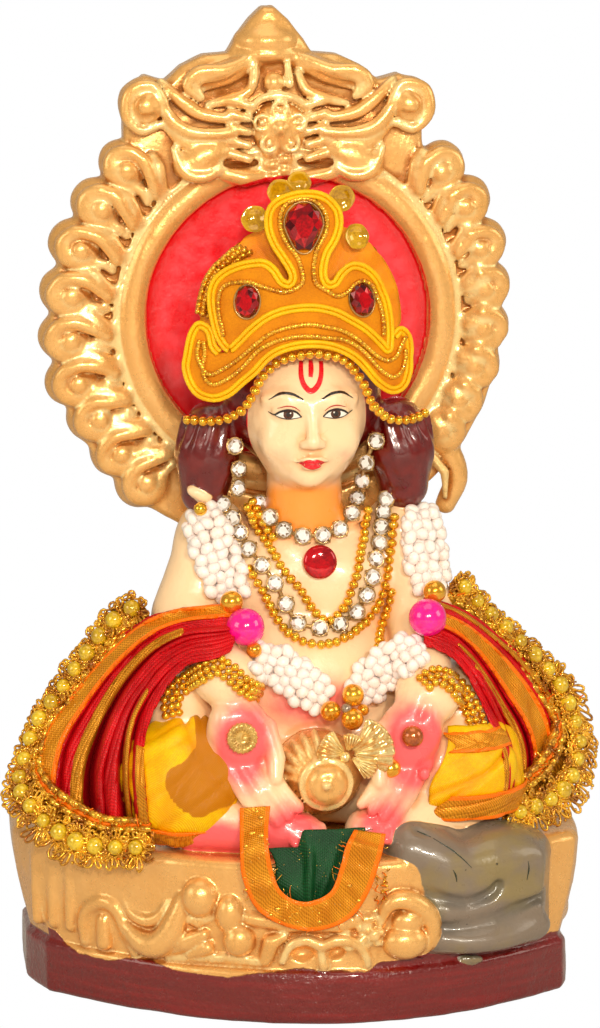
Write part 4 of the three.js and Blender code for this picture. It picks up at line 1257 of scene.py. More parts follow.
@dataclass
class Figure:
    """The seated figure: body, hands, pot, and a head of plain, even proportions."""

    x: float = 2.2
    face_x: float = 1.5
    chin: float = 85.6
    third: float = 7.5
    knee_left: tuple[float, float, float] = (-18.5, -15.0, 38.0)
    knee_right: tuple[float, float, float] = (25.5, -14.0, 37.0)
    knee: float = 10.4
    pot: tuple[float, float, float] = (2.1, -19.5, 39.3)

    def press(self, clay: Clay) -> None:
        """Presses the body, then the hands, the pot, the hair and the head."""
        self._body(clay)
        self._hands(clay)
        self._pot(clay)
        self._hair(clay)
        self._head(clay)
        # Cream chip in the left bunch of hair
        clay.ball("skin", (-16.2, -7.0, 83.8), (2.0, 1.1, 1.0), 0.2, facing_flat(-24))
        clay.ball("skin", (-15.2, -7.0, 83.2), (1.3, 1.1, 1.0), 0.2)

    def _body(self, clay: Clay) -> None:
        """Presses the trunk, arms and legs."""
        x, skin = self.x, "skin"
        clay.ball(skin, (x, -2.5, 67), (15.5, 9.2, 14), 1.0)
        clay.ball(skin, (x - 0.8, -7.5, 51), (17.0, 10.3, 13), 3.0)
        for side, far in ((-1, -13.0), (1, 17.8)):
            # Chest, collar bone and shoulder
            clay.ball(skin, (x + side * 6.0, -8.4, 68.6), (6.4, 3.6, 5.4), 2.5)
            clay.limb(skin, [(x + side * 1.4, -8.0, 77.4), (x + side * 9, -6.4, 79.4)], [1.2, 1.0], 1.6)
            clay.ball(skin, (far + side * 0.6, -1.5, 75.4), (5.6, 5.4, 5.6), 2.5)
        for k, z in enumerate((62.6, 59.4)):
            for side in (-1, 1):
                clay.ball(skin, (x + side * 2.6, -10.6 - 0.6 * k, z), (2.2, 1.4, 1.5), 1.4)
        clay.limb(skin, [(-13, -1.5, 76.5), (-17.8, -5, 63)], [5.2, 6.0], 2.0)
        clay.limb(skin, [(17.8, -1.5, 76.5), (20.5, -5, 64)], [5.2, 6.0], 2.0)
        clay.limb(skin, [(-17.8, -6, 62), (-13.5, -19, 56.5)], [5.5, 4.4], 1.5)
        clay.limb(skin, [(20.8, -6, 62), (20, -18.5, 53.5)], [5.5, 4.4], 1.5)
        clay.limb(skin, [(x - 4, -7, 38), self.knee_left], [10.4, self.knee], 2.0)
        clay.limb(skin, [(x + 4, -7, 38), self.knee_right], [10.4, self.knee], 2.0)
        clay.ball(skin, (-19.5, -12.5, 50.5), (6.5, 6.5, 7.0), 3.0)
        clay.ball(skin, (26.5, -11.5, 48.5), (6.0, 6.0, 6.5), 3.0)
        clay.limb(skin, [(-17, -19, 32.5), (-1, -25, 30.4)], [6, 3.4], 1.2)
        clay.limb(skin, [(24, -18, 32), (9.5, -24.5, 30.6)], [6, 3.6], 1.2)
        # Toes
        for k in range(5):
            clay.limb(skin, [(-3.5 + 1.3 * k, -26, 31.6), (-2.6 + 1.3 * k, -28.3, 29.6 - 0.2 * k)], [1.0, 0.8], 0.3)
            clay.limb(skin, [(13.4 - 1.3 * k, -25.6, 31.8), (12.4 - 1.3 * k, -28, 29.8 - 0.2 * k)], [1.0, 0.8], 0.3)
        clay.limb(skin, [(x - 0.4, -4, 76), (self.face_x, -5.6, 90)], [6.6, 5.9], 2.0)

    def _hands(self, clay: Clay) -> None:
        """Presses the two hands, which lie palms out on either side of the pot."""
        skin = "skin"
        for side, wrist, palm, tip in (
            (-1, (-12.9, -20.2, 55.6), (-11.0, -22.4, 46.8), (-4.6, -27.2, 33.6)),
            (1, (20.2, -20.0, 51.6), (16.8, -22.6, 45.6), (11.0, -27.0, 33.8)),
        ):
            clay.ball(skin, wrist, (5.4, 4.6, 4.8), 1.0)
            clay.ball(skin, palm, (5.3, 3.6, 6.4), 1.6, facing_flat(-side * 14))
            # Heel of the thumb, and the hollow of the palm
            clay.ball(skin, (palm[0] + side * 3.0, palm[1] - 1.4, palm[2] + 1.6), (2.0, 2.0, 3.6), 1.0)
            clay.ball(skin, (palm[0] - side * 0.4, palm[1] - 4.2, palm[2] - 0.6), (2.6, 1.1, 3.4), 1.2, carve=True)
            start = np.array((palm[0] - side * 0.4, palm[1] - 1.2, palm[2] - 4.6))
            end = np.array(tip)
            for k in range(4):
                spread = (k - 1.5) * 2.0
                a = start + (spread * 1.0, 0.35 * abs(k - 1.5), 0.1 * spread * side)
                b = end + (spread * 0.86, 0.5 * abs(k - 1.5), -side * 0.55 * spread)
                mid = (a + b) / 2 + (0, -0.7, 0)
                clay.limb(skin, [a, mid, b], [1.5, 1.35, 0.95], 0.35)
            thumb = [(palm[0] - side * 4.2, palm[1] - 0.6, palm[2] + 1.0)]
            thumb += [(palm[0] - side * 5.6, palm[1] - 2.4, palm[2] - 3.6)]
            thumb += [(palm[0] - side * 5.4, palm[1] - 3.8, palm[2] - 6.6)]
            clay.limb(skin, thumb, [1.9, 1.6, 1.2], 0.6)
        # Fold on the back of the right wrist, and its knuckle
        clay.limb(skin, [(18.6, -24.6, 55.4), (19.0, -25.0, 51.6), (18.2, -25.4, 49.4)], [0.35, 0.5, 0.3], 0.6, carve=True)
        clay.ball(skin, (18.8, -26.2, 40.2), (1.0, 1.0, 1.2), 0.5)

    def _pot(self, clay: Clay) -> None:
        """Presses the gold pot, its ribs and its lid's knob."""
        c = self.pot
        clay.ball("gold", c, (7.3, 7.2, 7.1), 0.2)
        for k in range(6):
            t = math.radians(96 + 16 * k)
            rib = []
            for j in range(5):
                r = 3.6 + 0.95 * j
                y = c[1] - 7.2 * math.sqrt(max(0.02, 1 - (r / 7.5) ** 2)) + 0.25
                rib.append((c[0] + r * math.cos(t), y, c[2] + r * math.sin(t)))
            clay.limb("gold", rib, [0.3, 0.5, 0.6, 0.55, 0.35], 0.3)
        knob = (c[0] + 0.6, c[1] - 7.0, c[2] - 0.3)
        clay.ring("gold", (knob[0], knob[1] + 0.5, knob[2]), 3.9, 0.65, 0.3)
        clay.ball("gold", knob, (3.5, 2.3, 3.5), 0.2)
        for k in range(5):
            t = math.radians(20 + 72 * k)
            clay.ball("gold", (knob[0] + 1.3 * math.cos(t), knob[1] - 2.3, knob[2] + 1.3 * math.sin(t)), (0.85, 0.45, 0.85), 0.3, carve=True)
        clay.ball("gold", (knob[0] - 0.4, knob[1] - 2.2, knob[2] + 0.3), (0.6, 0.6, 0.6), 0.2)

    def _hair(self, clay: Clay) -> None:
        """Presses the hair: a cap and a bunch at each side."""
        hair = "hair"
        clay.ball(hair, (self.face_x, -4.2, 99.5), (13.0, 9.2, 12.6), 0.8)
        for side, x, top, low, r in ((-1, -14.2, 94.6, 83.4, 4.7), (1, 17.9, 94.4, 84.0, 5.0)):
            clay.limb(hair, [(x + side * -0.6, -3.6, top), (x, -3.6, (top + low) / 2 + 0.6), (x + side * 0.6, -3.2, low)], [r * 0.86, r * 1.12, r * 0.84], 1.5)
            for k in range(6):
                t = math.radians(200 + 28 * k)
                lock = []
                for j in range(6):
                    z = top + 1.5 - (top - low + 1) * j / 5
                    swell = r * (0.98 - 0.03 * (j - 2) ** 2)
                    turn = t + side * 0.16 * j
                    lock.append((x + swell * math.cos(turn), -3.5 + swell * math.sin(turn), z))
                clay.limb(hair, smooth_line(lock, 1.2), [0.62] * len(smooth_line(lock, 1.2)), 0.9)

    def _head(self, clay: Clay) -> None:
        """Presses the head, in thirds from hairline to brow, nose and chin."""
        skin, x = "skin", self.face_x
        chin, brow = self.chin, self.chin + 2 * self.third
        nose = self.chin + self.third
        eye = brow - 2.2
        clay.ball(skin, (x, -5.6, 99.6), (10.3, 10.0, 11.2), 1.0)
        clay.ball(skin, (x, -8.0, 96.4), (9.6, 9.2, 10.8), 2.0)
        clay.ball(skin, (x, -9.6, chin + 5.4), (6.6, 6.4, 5.4), 2.5)
        clay.ball(skin, (x, -14.3, chin + 2.0), (2.2, 1.6, 1.7), 1.8)
        for side in (-1, 1):
            clay.ball(skin, (x + side * 4.6, -13.6, nose + 0.2), (3.2, 2.4, 3.0), 2.0)
            clay.ball(skin, (x + side * 3.9, -18.0, eye + 0.1), (2.3, 1.2, 1.25), 1.4, carve=True)
            clay.ball(skin, (x + side * 3.85, -15.2, eye - 0.1), (2.15, 1.65, 1.25), 0.5)
            lid = [(x + side * 1.9, -16.55, eye - 0.35), (x + side * 3.0, -16.9, eye + 0.85)]
            lid += [(x + side * 4.5, -16.6, eye + 1.0), (x + side * 6.0, -15.4, eye + 0.1)]
            clay.limb(skin, smooth_line(lid, 0.6), [0.36] * len(smooth_line(lid, 0.6)), 0.4)
            ridge = [(x + side * 1.6, -16.5, brow - 0.3), (x + side * 4.2, -16.1, brow + 0.5), (x + side * 7.0, -13.9, brow - 0.3)]
            clay.limb(skin, ridge, [0.8, 0.9, 0.7], 1.8)
            clay.ball(skin, (x + side * 1.35, -17.6, nose + 0.25), (0.85, 1.1, 0.75), 0.6)
            lip = [(x, -17.35, nose - 2.3), (x + side * 1.1, -17.35, nose - 2.15), (x + side * 2.7, -16.5, nose - 2.75)]
            clay.limb(skin, lip, [0.5, 0.55, 0.25], 0.5)
        clay.limb(skin, [(x, -16.6, eye + 1.2), (x, -17.6, eye - 2.0), (x, -18.5, nose + 0.9)], [0.8, 0.95, 1.1], 1.0)
        clay.ball(skin, (x, -18.5, nose + 0.6), (1.15, 1.1, 1.0), 0.5)
        clay.ball(skin, (x, -17.1, nose - 3.45), (1.75, 0.85, 0.62), 0.5)
        clay.limb(skin, [(x - 2.6, -17.0, nose - 2.85), (x, -18.3, nose - 2.85), (x + 2.6, -17.0, nose - 2.85)], [0.12, 0.16, 0.12], 0.35, carve=True)


@dataclass
class Lump:
    """The grey lump beside the right knee, in two soft lobes."""

    def press(self, clay: Clay) -> None:
        """Presses the two lobes and the crease between them."""
        rock = "rock"
        foot = [(17.6, -30.3), (22.0, -31.4), (30.4, -30.2), (38.4, -27.2), (40.6, -21.0), (40.6, -10.0), (17.4, -10.0)]
        clay.slab(rock, foot, 10.6, 28.2, 2, 0.5, 3.4)
        clay.ball(rock, (31.0, -20.6, 26.0), (8.4, 8.6, 4.6), 2.4, facing_flat(-8))
        clay.ball(rock, (21.0, -23.8, 26.0), (9.4, 7.4, 5.0), 0.9, facing_flat(-24))
        clay.ball(rock, (16.0, -23.8, 27.6), (4.0, 6.2, 4.6), 1.8)
        # Soft roll along the foot
        roll = [(19.6, -28.6, 12.8), (26.0, -30.2, 12.7), (32.0, -29.0, 13.0), (38.0, -25.6, 13.8)]
        clay.limb(rock, smooth_line(roll, 1.2), [1.9] * len(smooth_line(roll, 1.2)), 1.4)
        for crease, radius, blend in (
            (((12.4, -29.4, 24.4), (16.4, -31.0, 22.2), (21.0, -31.0, 20.4), (25.4, -30.8, 19.6), (29.0, -29.8, 20.6), (30.4, -29.4, 22.0)), 0.5, 1.8),
            (((19.0, -30.4, 15.4), (25.0, -31.2, 15.6), (31.0, -30.0, 17.0), (38.0, -26.0, 18.8)), 0.3, 2.2),
            (((17.4, -28.4, 31.6), (20.0, -29.4, 31.0)), 0.7, 0.9),
        ):
            line = smooth_line(crease, 1.0)
            clay.limb(rock, line, [radius] * len(line), blend, carve=True)
        # A drop that ran down on the rim
        clay.ball(rock, (26.2, -28.0, 9.0), (2.3, 0.7, 0.8), 0.2)


@dataclass
class Scratches:
    """Hairs of dark green paint on the grey lump."""

    casting: "Casting"
    colour: Colour = linear(0.10, 0.16, 0.09)
    lines: tuple[tuple[tuple[float, float], ...], ...] = (
        ((433, 838), (441, 843), (452, 850), (464, 860), (473, 869)),
        ((453, 870), (456, 876), (457, 884)),
        ((528, 861), (529, 868), (527, 880)),
        ((417, 831), (424, 834), (431, 837)),
    )

    def build(self) -> None:
        """Lays each hair on the lump."""
        made = Stock()
        for points in self.lines:
            path = self.casting.laid(points, 0.02, 0.4, 1)
            made.tube(path, np.interp(np.linspace(0, 1, len(path)), (0, 0.5, 1), (0.05, 0.15, 0.05)), 5)
        made.piece("lump_scratches", [FacePaint("paint_green", self.colour).material()], "painted_plaster")


@dataclass
class Casting:
    """The one painted casting: plinth, seat, halo, figure and lump."""

    plinth: Plinth = field(default_factory=Plinth)
    halo: Halo = field(default_factory=Halo)
    figure: Figure = field(default_factory=Figure)
    lump: Lump = field(default_factory=Lump)
    step: float = 0.42
    low: tuple[float, float, float] = (-50.0, -36.5, -1.5)
    high: tuple[float, float, float] = (50.5, 14.5, 165.0)
    triangles: int = 190000

    def build(self, finish: bpy.types.Material) -> bpy.types.Object:
        """Presses the clay, makes the casting's mesh and marks its paint.

        Args:
            finish: the painted plaster.

        Returns:
            The casting.
        """
        clay = Clay(self.low, self.high, self.step)
        self.plinth.press(clay)
        self.halo.press(clay)
        self.lump.press(clay)
        self.figure.press(clay)
        clay.ripple(5.0, 0.10, 3)
        clay.ripple(1.6, 0.05, 4)
        # The underside and the back are flat
        for held in clay.fields.values():
            np.maximum(held, 0.02 - clay.axes[2][None, None, :], out=held)
            np.maximum(held, clay.axes[1][None, :, None] - 12.15, out=held)
        whole = clay.whole(0.35)
        points, quads = clay.skin(whole)
        rough = Stock()
        rough.add(points, quads)
        draft = rough.piece("idol_draft", [], "painted_plaster")
        ratio = min(1.0, self.triangles / (2 * len(quads)))
        if ratio < 1:
            cut = draft.modifiers.new("cut", "DECIMATE")
            cut.ratio = ratio
        bpy.context.view_layer.update()
        thin = draft.evaluated_get(bpy.context.evaluated_depsgraph_get()).to_mesh()
        count = len(thin.vertices)
        co = np.zeros(count * 3, np.float32)
        thin.vertices.foreach_get("co", co)
        thin.calc_loop_triangles()
        tri = np.zeros(len(thin.loop_triangles) * 3, np.int32)
        thin.loop_triangles.foreach_get("vertices", tri)
        bpy.data.objects.remove(draft)
        points, tri = co.reshape(-1, 3) / MM, tri.reshape(-1, 3)
        used, tri = np.unique(tri, return_inverse=True)
        points, tri = points[used], tri.reshape(-1, 3)
        made = Stock()
        made.add(points, tri, **self._marks(clay, whole, points))
        piece = made.piece("idol_casting_form", [finish], "painted_plaster", ["idol_casting"])
        self.tree = BVHTree.FromPolygons([Vector(p) for p in points], tri.tolist())
        return piece

    def _marks(self, clay: Clay, whole: Array, points: Array) -> dict[str, Array]:
        """Returns what each point carries: how far it is inside each paint, how hollow and how sharp it is for the
        painted shade in hollows and the painted highlight on ridges, and the pink paint and the orange-yellow painted
        shade.
        """
        d = {part: clay.sample(values, points) for part, values in clay.fields.items()}
        marks = {}
        for part in ("skin", "hair", "rock"):
            others = np.min([v for name, v in d.items() if name != part], axis=0)
            marks["in_" + part] = np.clip(others - d[part], -3, 3)
        x, y, z = points.T
        n = clay.slope(whole, points)
        reach = np.hypot(x - self.halo.x, z - self.halo.z)
        marks["in_field"] = np.where((y < 7.5) & (n[:, 1] < -0.2), self.halo.field + 0.15 - reach, -3)
        edge = np.interp(x, *np.array(PAINT_EDGE).T)
        outside = np.where(y > -8, 9.6, edge)
        marks["in_plinth"] = outside - z
        # hollow and fine_hollow steer the painted shade in recesses, sharp the painted highlight on ridges
        marks["hollow"] = 1 - clay.sample(whole, points + 1.3 * n) / 1.3
        marks["fine_hollow"] = 1 - clay.sample(whole, points + 0.6 * n) / 0.6
        marks["sharp"] = 1 + clay.sample(whole, points - 1.0 * n) / 1.0
        marks["pink"] = sum(
            w * np.exp(-((points - c) ** 2 / np.square(s)).sum(axis=1)) for w, c, s in PINK_BLUSH
        )
        # Where the orange-yellow painted shade lies
        marks["warm_shade"] = sum(
            w * np.exp(-((points - c) ** 2 / np.square(s)).sum(axis=1)) for w, c, s in WARM_SHADE
        )
        return marks

    def hit(self, origin: Array, direction: Array) -> Array | None:
        """Returns where a ray meets the casting, or None."""
        found = self.tree.ray_cast(Vector(origin), Vector(direction))
        return np.array(found[0]) if found[0] is not None else None

    def under(self, across: float, down: float, fallback: float = -10.0) -> Array:
        """Returns the point of the casting behind a picture point."""
        found = self.hit(SHOT.eye(), SHOT.ray(across, down))
        return found if found is not None else SHOT.at_depth(across, down, fallback)

    def laid(self, points: Sequence[tuple[float, float]], lift: float, step: float, slack: int = 6, closed: bool = False) -> Array:
        """Returns a line laid on the casting, taut enough to bridge its hollows.

        Args:
            points: the line in the picture, across and down.
            lift: how far its middle stands off the casting.
            step: the distance between its points.
            slack: how many points its depth is smoothed over.
            closed: whether it is a loop.
        """
        flat = smooth_line(points, 2.0, closed)
        on = np.array([self.under(*p) for p in flat])
        depth = on[:, 1].copy()
        for _ in range(3):
            padded = np.pad(depth, slack, mode="edge")
            windows = np.lib.stride_tricks.sliding_window_view(padded, 2 * slack + 1)
            depth = np.minimum(depth, windows.mean(axis=1))
        line = np.array([SHOT.at_depth(*p, y - lift) for p, y in zip(flat, depth)])
        return smooth_line(line[::2], step, closed)


# Height of the hand-painted edge between the maroon rim and the gold: x, z
PAINT_EDGE = (
    (-46.0, 10.8),
    (-43.3, 11.3),
    (-40.6, 10.8),
    (-38.9, 8.9),
    (-37.1, 8.0),
    (-32.1, 7.7),
    (-29.3, 8.8),
    (-25.8, 8.9),
    (-22.7, 8.1),
    (-19.6, 7.8),
    (-13.4, 7.8),
    (-8.2, 8.7),
    (-2.2, 9.4),
    (5.1, 9.0),
    (8.8, 8.8),
    (10.6, 10.0),
    (15.1, 10.4),
    (19.3, 11.6),
    (23.9, 11.4),
    (31.8, 10.6),
    (45.0, 10.0),
)

# Soft patches of pink paint, and of orange-yellow painted shade: strength, middle and spread
PINK_BLUSH = (
    (1.4, (-11.0, -26, 45.4), (4.6, 6, 6.8)),
    (1.7, (17.4, -26, 44.6), (4.8, 6, 6.6)),
    (0.8, (1.2, -18, 50.5), (10, 8, 5)),
    (1.0, (-2.5, -28, 32), (6, 5, 5)),
    (1.0, (11.5, -28, 32), (5, 5, 5)),
    (2.2, (-16.5, -26, 27), (8.5, 8, 5)),
    (0.35, (-3.2, -15, 91.5), (3, 4, 2.6)),
    (0.35, (6.2, -15, 91.5), (3, 4, 2.6)),
)
# Orange-yellow painted shade under the chin, below the crown, beside the jaw and at the left arm
WARM_SHADE = (
    (1.7, (1.5, -9, 81.0), (9, 8, 4.6)),
    (0.5, (1.5, -15, 107.5), (9, 4, 2.2)),
    (0.6, (-7.4, -12, 88), (3, 5, 5)),
    (0.6, (10.4, -12, 88), (3, 5, 5)),
    (0.5, (-19, -10, 60), (4, 8, 5)),
)


# Finishes


@dataclass(frozen=True)
class PaintedPlaster:
    """Hand-painted plaster under varnish: gold, maroon, cream skin, dark hair, grey and red."""

    gold: Colour = linear(0.93, 0.69, 0.38)
    # The pale gold paints the highlight on ridges and also pale flecks; the deep gold paints the shade in hollows
    gold_highlight_and_fleck: Colour = linear(1.0, 0.89, 0.62)
    gold_shade: Colour = linear(0.74, 0.44, 0.15)
    maroon: Colour = linear(0.41, 0.0, 0.0)
    maroon_light: Colour = linear(0.54, 0.02, 0.03)
    cream: Colour = linear(0.98, 0.84, 0.66)
    # The deep cream is painted shade in the skin's hollows
    cream_shade: Colour = linear(0.92, 0.64, 0.38)
    # Orange-yellow painted shade
    warm_shade: Colour = linear(1.0, 0.57, 0.04)
    pink: Colour = linear(0.98, 0.30, 0.36)
    hair: Colour = linear(0.36, 0.0, 0.0)
    grey: Colour = linear(0.49, 0.43, 0.37)
    grey_tint: Colour = linear(0.53, 0.46, 0.30)
    field: Colour = linear(1.0, 0.10, 0.16)
    field_light: Colour = linear(1.0, 0.21, 0.26)
    field_rim: Colour = linear(0.84, 0.0, 0.04)

    def material(self) -> bpy.types.Material:
        """Returns the material."""
        s = Shader("painted_plaster")
        broad, middle, fine, grain = s.noise(9), s.noise(2.2), s.noise(0.7, 4), s.noise(0.12, 2)
        wobble = (middle - 0.5) * 0.9 + (fine - 0.5) * 0.35
        skin = (s.mark("in_skin") + wobble * 0.25).span(-0.06, 0.10)
        hair = (s.mark("in_hair") + wobble * 0.3).span(-0.06, 0.10)
        rock = (s.mark("in_rock") + wobble * 0.3).span(-0.08, 0.12)
        red = (s.mark("in_field") + wobble * 0.3).span(-0.10, 0.12)
        rim = (s.mark("in_plinth") + wobble * 0.8).span(-0.12, 0.14)
        hollow, fine_hollow = s.mark("hollow"), s.mark("fine_hollow")
        sharp = s.mark("sharp")
        streaks = s.node(
            "ShaderNodeTexNoise", {}, {"Vector": s.along((60, 60, 900)), "Scale": 1.0, "Detail": 4.0}
        )

        gold = s.blend(broad.span(0.3, 0.7) * 0.5, self.gold, linear(0.96, 0.75, 0.46))
        # Painted shade in the hollows, a painted highlight on the ridges, then pale flecks in the paint
        gold = s.blend((hollow * 1.1 + fine_hollow * 0.5 - 0.15 + (middle - 0.5) * 0.5).span(0.1, 1.0) * 0.85, gold, self.gold_shade)
        gold = s.blend((sharp * 1.2 + (middle - 0.5) * 0.4).span(0.2, 0.8) * 0.7, gold, self.gold_highlight_and_fleck)
        gold = s.blend((grain.span(0.55, 0.75)) * 0.25, gold, self.gold_highlight_and_fleck)
        # Painted shade in the hollows of the skin
        body = s.blend(hollow.span(0.15, 0.7) * 0.55, self.cream, self.cream_shade)
        # Orange-yellow painted shade under the chin, the crown and the hair, and at the arm
        body = s.blend(s.mark("warm_shade").span(0.15, 0.9) * 0.9, body, self.warm_shade)
        body = s.blend((s.mark("pink") + (middle - 0.5) * 0.3).span(0.15, 0.85) * 0.92, body, self.pink)
        dark = s.blend(middle.span(0.35, 0.7) * 0.5, self.hair, linear(0.50, 0.06, 0.03))
        stone = s.blend(broad.span(0.42, 0.62), self.grey, self.grey_tint)
        # Painted shade in the lump's hollows
        stone = s.blend((hollow + (middle - 0.5) * 0.4).span(0.1, 0.6) * 0.5, stone, linear(0.30, 0.30, 0.28))
        specks = s.cells(2.6).span(0.10, 0.05)
        stone = s.blend(specks * fine.span(0.5, 0.6), stone, linear(0.06, 0.08, 0.05))
        disc = s.blend(middle.span(0.35, 0.7), self.field, self.field_light)
        disc = s.blend(s.mark("in_field").span(3.6, 0.8) * 0.95, disc, self.field_rim)
        base = s.blend(streaks.span(0.4, 0.75) * 0.6, self.maroon, self.maroon_light)

        colour = s.blend(rim, gold, base)
        colour = s.blend(red, colour, disc)
        colour = s.blend(rock, colour, stone)
        colour = s.blend(skin, colour, body)
        colour = s.blend(hair, colour, dark)
        painted = rim.top(red).top(rock).top(skin).top(hair)
        bright = 1 - painted
        metal = bright * (0.42 + (fine - 0.5) * 0.3)
        rough = bright * (0.28 + (middle - 0.5) * 0.2) + painted * (0.30 + (middle - 0.5) * 0.2)
        height = middle * 0.45 + fine * 0.4 + grain * 0.12 + (streaks * 0.4 + middle * 3.2 + fine * 1.0) * rim
        return s.finish(
            Base_Color=colour,
            Metallic=metal,
            Roughness=rough,
            Coat_Weight=0.45 + hair * 0.4 + rim * 0.5,
            Coat_Roughness=0.09,
            Normal=s.bump(height, 0.16, 0.8),
        )


# Small solid forms and bright finishes


class Gloss(Enum):
    """The small hard finishes, and how each is coloured and lit."""

    GOLD_BEAD = ("gold_beads", linear(1.0, 0.80, 0.20), linear(0.92, 0.64, 0.08), 0.82, 0.2, 0.8)
    BROWN_PEARL = ("brown_gold_pearl", linear(0.80, 0.42, 0.16), linear(0.62, 0.27, 0.08), 0.5, 0.2, 1.0)
    GOLD_PEARL = ("gold_pearl", linear(1.0, 0.76, 0.20), linear(0.94, 0.60, 0.08), 0.75, 0.2, 0.9)
    PINK_PEARL = ("pink_pearl", linear(1.0, 0.08, 0.62), linear(0.93, 0.02, 0.50), 0.0, 0.16, 1.0)
    WHITE_BEAD = ("white_beads", linear(1.0, 0.94, 0.91), linear(0.99, 0.90, 0.86), 0.0, 0.4, 0.2)
    RED_GEM = ("red_gem", linear(0.84, 0.0, 0.08), linear(0.55, 0.0, 0.05), 0.3, 0.07, 0.7)
    CRYSTAL = ("rhinestone", linear(1.0, 1.0, 1.0), linear(0.94, 0.93, 0.91), 0.12, 0.05, 1.0)
    # Half-shaded and shaded copies of the red gem and of the rhinestone, which paint reflections on the facets
    GEM_HALF_SHADED = ("red_gem_half_shaded", linear(0.60, 0.0, 0.06), linear(0.42, 0.0, 0.04), 0.3, 0.1, 0.6)
    GEM_SHADED = ("red_gem_shaded", linear(0.36, 0.0, 0.04), linear(0.24, 0.0, 0.02), 0.3, 0.12, 0.5)
    CRYSTAL_HALF_SHADED = ("rhinestone_grey", linear(0.88, 0.85, 0.82), linear(0.70, 0.66, 0.60), 0.15, 0.08, 1.0)
    CRYSTAL_SHADED = ("rhinestone_dark", linear(0.64, 0.55, 0.46), linear(0.44, 0.35, 0.26), 0.2, 0.12, 1.0)
    CUP = ("stone_cup", linear(0.78, 0.62, 0.38), linear(0.50, 0.37, 0.20), 0.55, 0.3, 0.3)
    SEQUIN = ("clear_sequin", linear(0.86, 0.66, 0.08), linear(0.66, 0.46, 0.02), 0.2, 0.08, 0.9)
    PETAL = ("clear_gold_petal", linear(1.0, 0.90, 0.62), linear(0.88, 0.62, 0.26), 0.6, 0.1, 1.0)
    PALE = ("pale_gold", linear(0.92, 0.76, 0.42), linear(0.70, 0.50, 0.20), 0.45, 0.2, 0.8)
    DOME = ("yellow_dome", linear(0.94, 0.80, 0.16), linear(0.72, 0.55, 0.05), 0.1, 0.12, 1.0)
    THREAD = ("gold_thread", linear(1.0, 0.76, 0.22), linear(0.72, 0.42, 0.06), 0.62, 0.26, 0.4)
    LACE = ("lace_thread", linear(1.0, 0.76, 0.20), linear(0.62, 0.33, 0.03), 0.66, 0.22, 0.5)

    def material(self) -> bpy.types.Material:
        """Returns the material, made once."""
        name, light, deep, metal, rough, coat = self.value
        name += "_look"
        known = bpy.data.materials.get(name)
        if known:
            return known
        s = Shader(name)
        broad, fine = s.noise(3.0), s.noise(0.35, 4)
        worn = (broad * 0.6 + fine * 0.4).span(0.38, 0.66)
        return s.finish(
            Base_Color=s.blend(worn, light, deep),
            Metallic=metal,
            Roughness=(rough + (fine - 0.5) * 0.16).top(0.03),
            Coat_Weight=coat,
            Coat_Roughness=0.06,
            Subsurface_Weight=0.5 if self is Gloss.WHITE_BEAD else 0.0,
            Subsurface_Scale=1.2 * MM,
            Subsurface_Radius=(1.0, 0.85, 0.75),
            Normal=s.bump(fine, 0.012, 0.5),
        )


@dataclass(frozen=True)
class Cloth:
    """A woven or felted cloth.

    Attributes:
        name: the material's name.
        light: colour of the raised threads.
        deep: colour between threads, and of the painted shade in the folds.
        thread: width of a thread in millimetres, or 0 for felt.
        metal: share of metal thread.
        rough: roughness.
        sheen: strength of the fuzz.
        edge: colour of a ribbon's selvage, and of the mustard painted shade on the left knee cloth, where the mesh
            marks it.
        glitter: colour of bright flecks, or None.
    """

    name: str
    light: Colour
    deep: Colour
    thread: float = 0.25
    metal: float = 0.0
    rough: float = 0.45
    sheen: float = 0.3
    edge: Colour | None = None
    glitter: Colour | None = None

    def material(self) -> bpy.types.Material:
        """Returns the material, made once."""
        known = bpy.data.materials.get(self.name + "_look")
        if known:
            return known
        s = Shader(self.name + "_look")
        broad, fine = s.noise(4.0), s.noise(0.3, 3)
        tone = s.mark("tone")
        if self.thread:
            warp = s.node(
                "ShaderNodeTexWave", {"bands_direction": "DIAGONAL"},
                {"Vector": s.place(), "Scale": 0.31 / (self.thread * MM), "Distortion": 0.6},
            )
            weft = s.node(
                "ShaderNodeTexWave", {"bands_direction": "X"},
                {"Vector": s.place(), "Scale": 0.31 / (self.thread * MM), "Distortion": 0.8},
            )
            weave = warp * 0.55 + weft * 0.45
        else:
            weave = s.noise(0.16, 4)
        share = (broad * 0.5 + weave * 0.35 + fine * 0.3).span(0.3, 0.85)
        colour = s.blend(share * 0.9, self.deep, self.light)
        # Painted shade in folds and creases where the mesh marks it, near black in the deepest
        colour = s.blend(tone.span(0.0, 1.0) * 0.6, colour, self.deep)
        colour = s.blend(tone.span(1.2, 2.4) * 0.8, colour, tuple(c * 0.25 for c in self.deep))
        metal: Any = self.metal
        # On ribbons the edge colour is the selvage; on the left knee's yellow satin it is mustard painted shade over
        # the lower part
        if self.edge is not None:
            rim = (s.mark("rim") + (fine - 0.5) * 0.4).span(0.35, 0.75)
            colour = s.blend(rim, colour, self.edge)
            metal = (1 - rim) * self.metal
        if self.glitter is not None:
            fleck = s.cells(0.55).span(0.16, 0.08) * s.noise(2.4).span(0.5, 0.62)
            colour = s.blend(fleck, colour, self.glitter)
            metal = fleck.top(metal)
        return s.finish(
            Base_Color=colour,
            Metallic=metal,
            Roughness=(self.rough + (weave - 0.5) * 0.25).top(0.08),
            Specular_IOR_Level=0.3,
            Sheen_Weight=self.sheen,
            Sheen_Roughness=0.4,
            Sheen_Tint=self.light,
            Normal=s.bump(weave * 0.7 + fine * 0.4, 0.10, 0.75),
        )


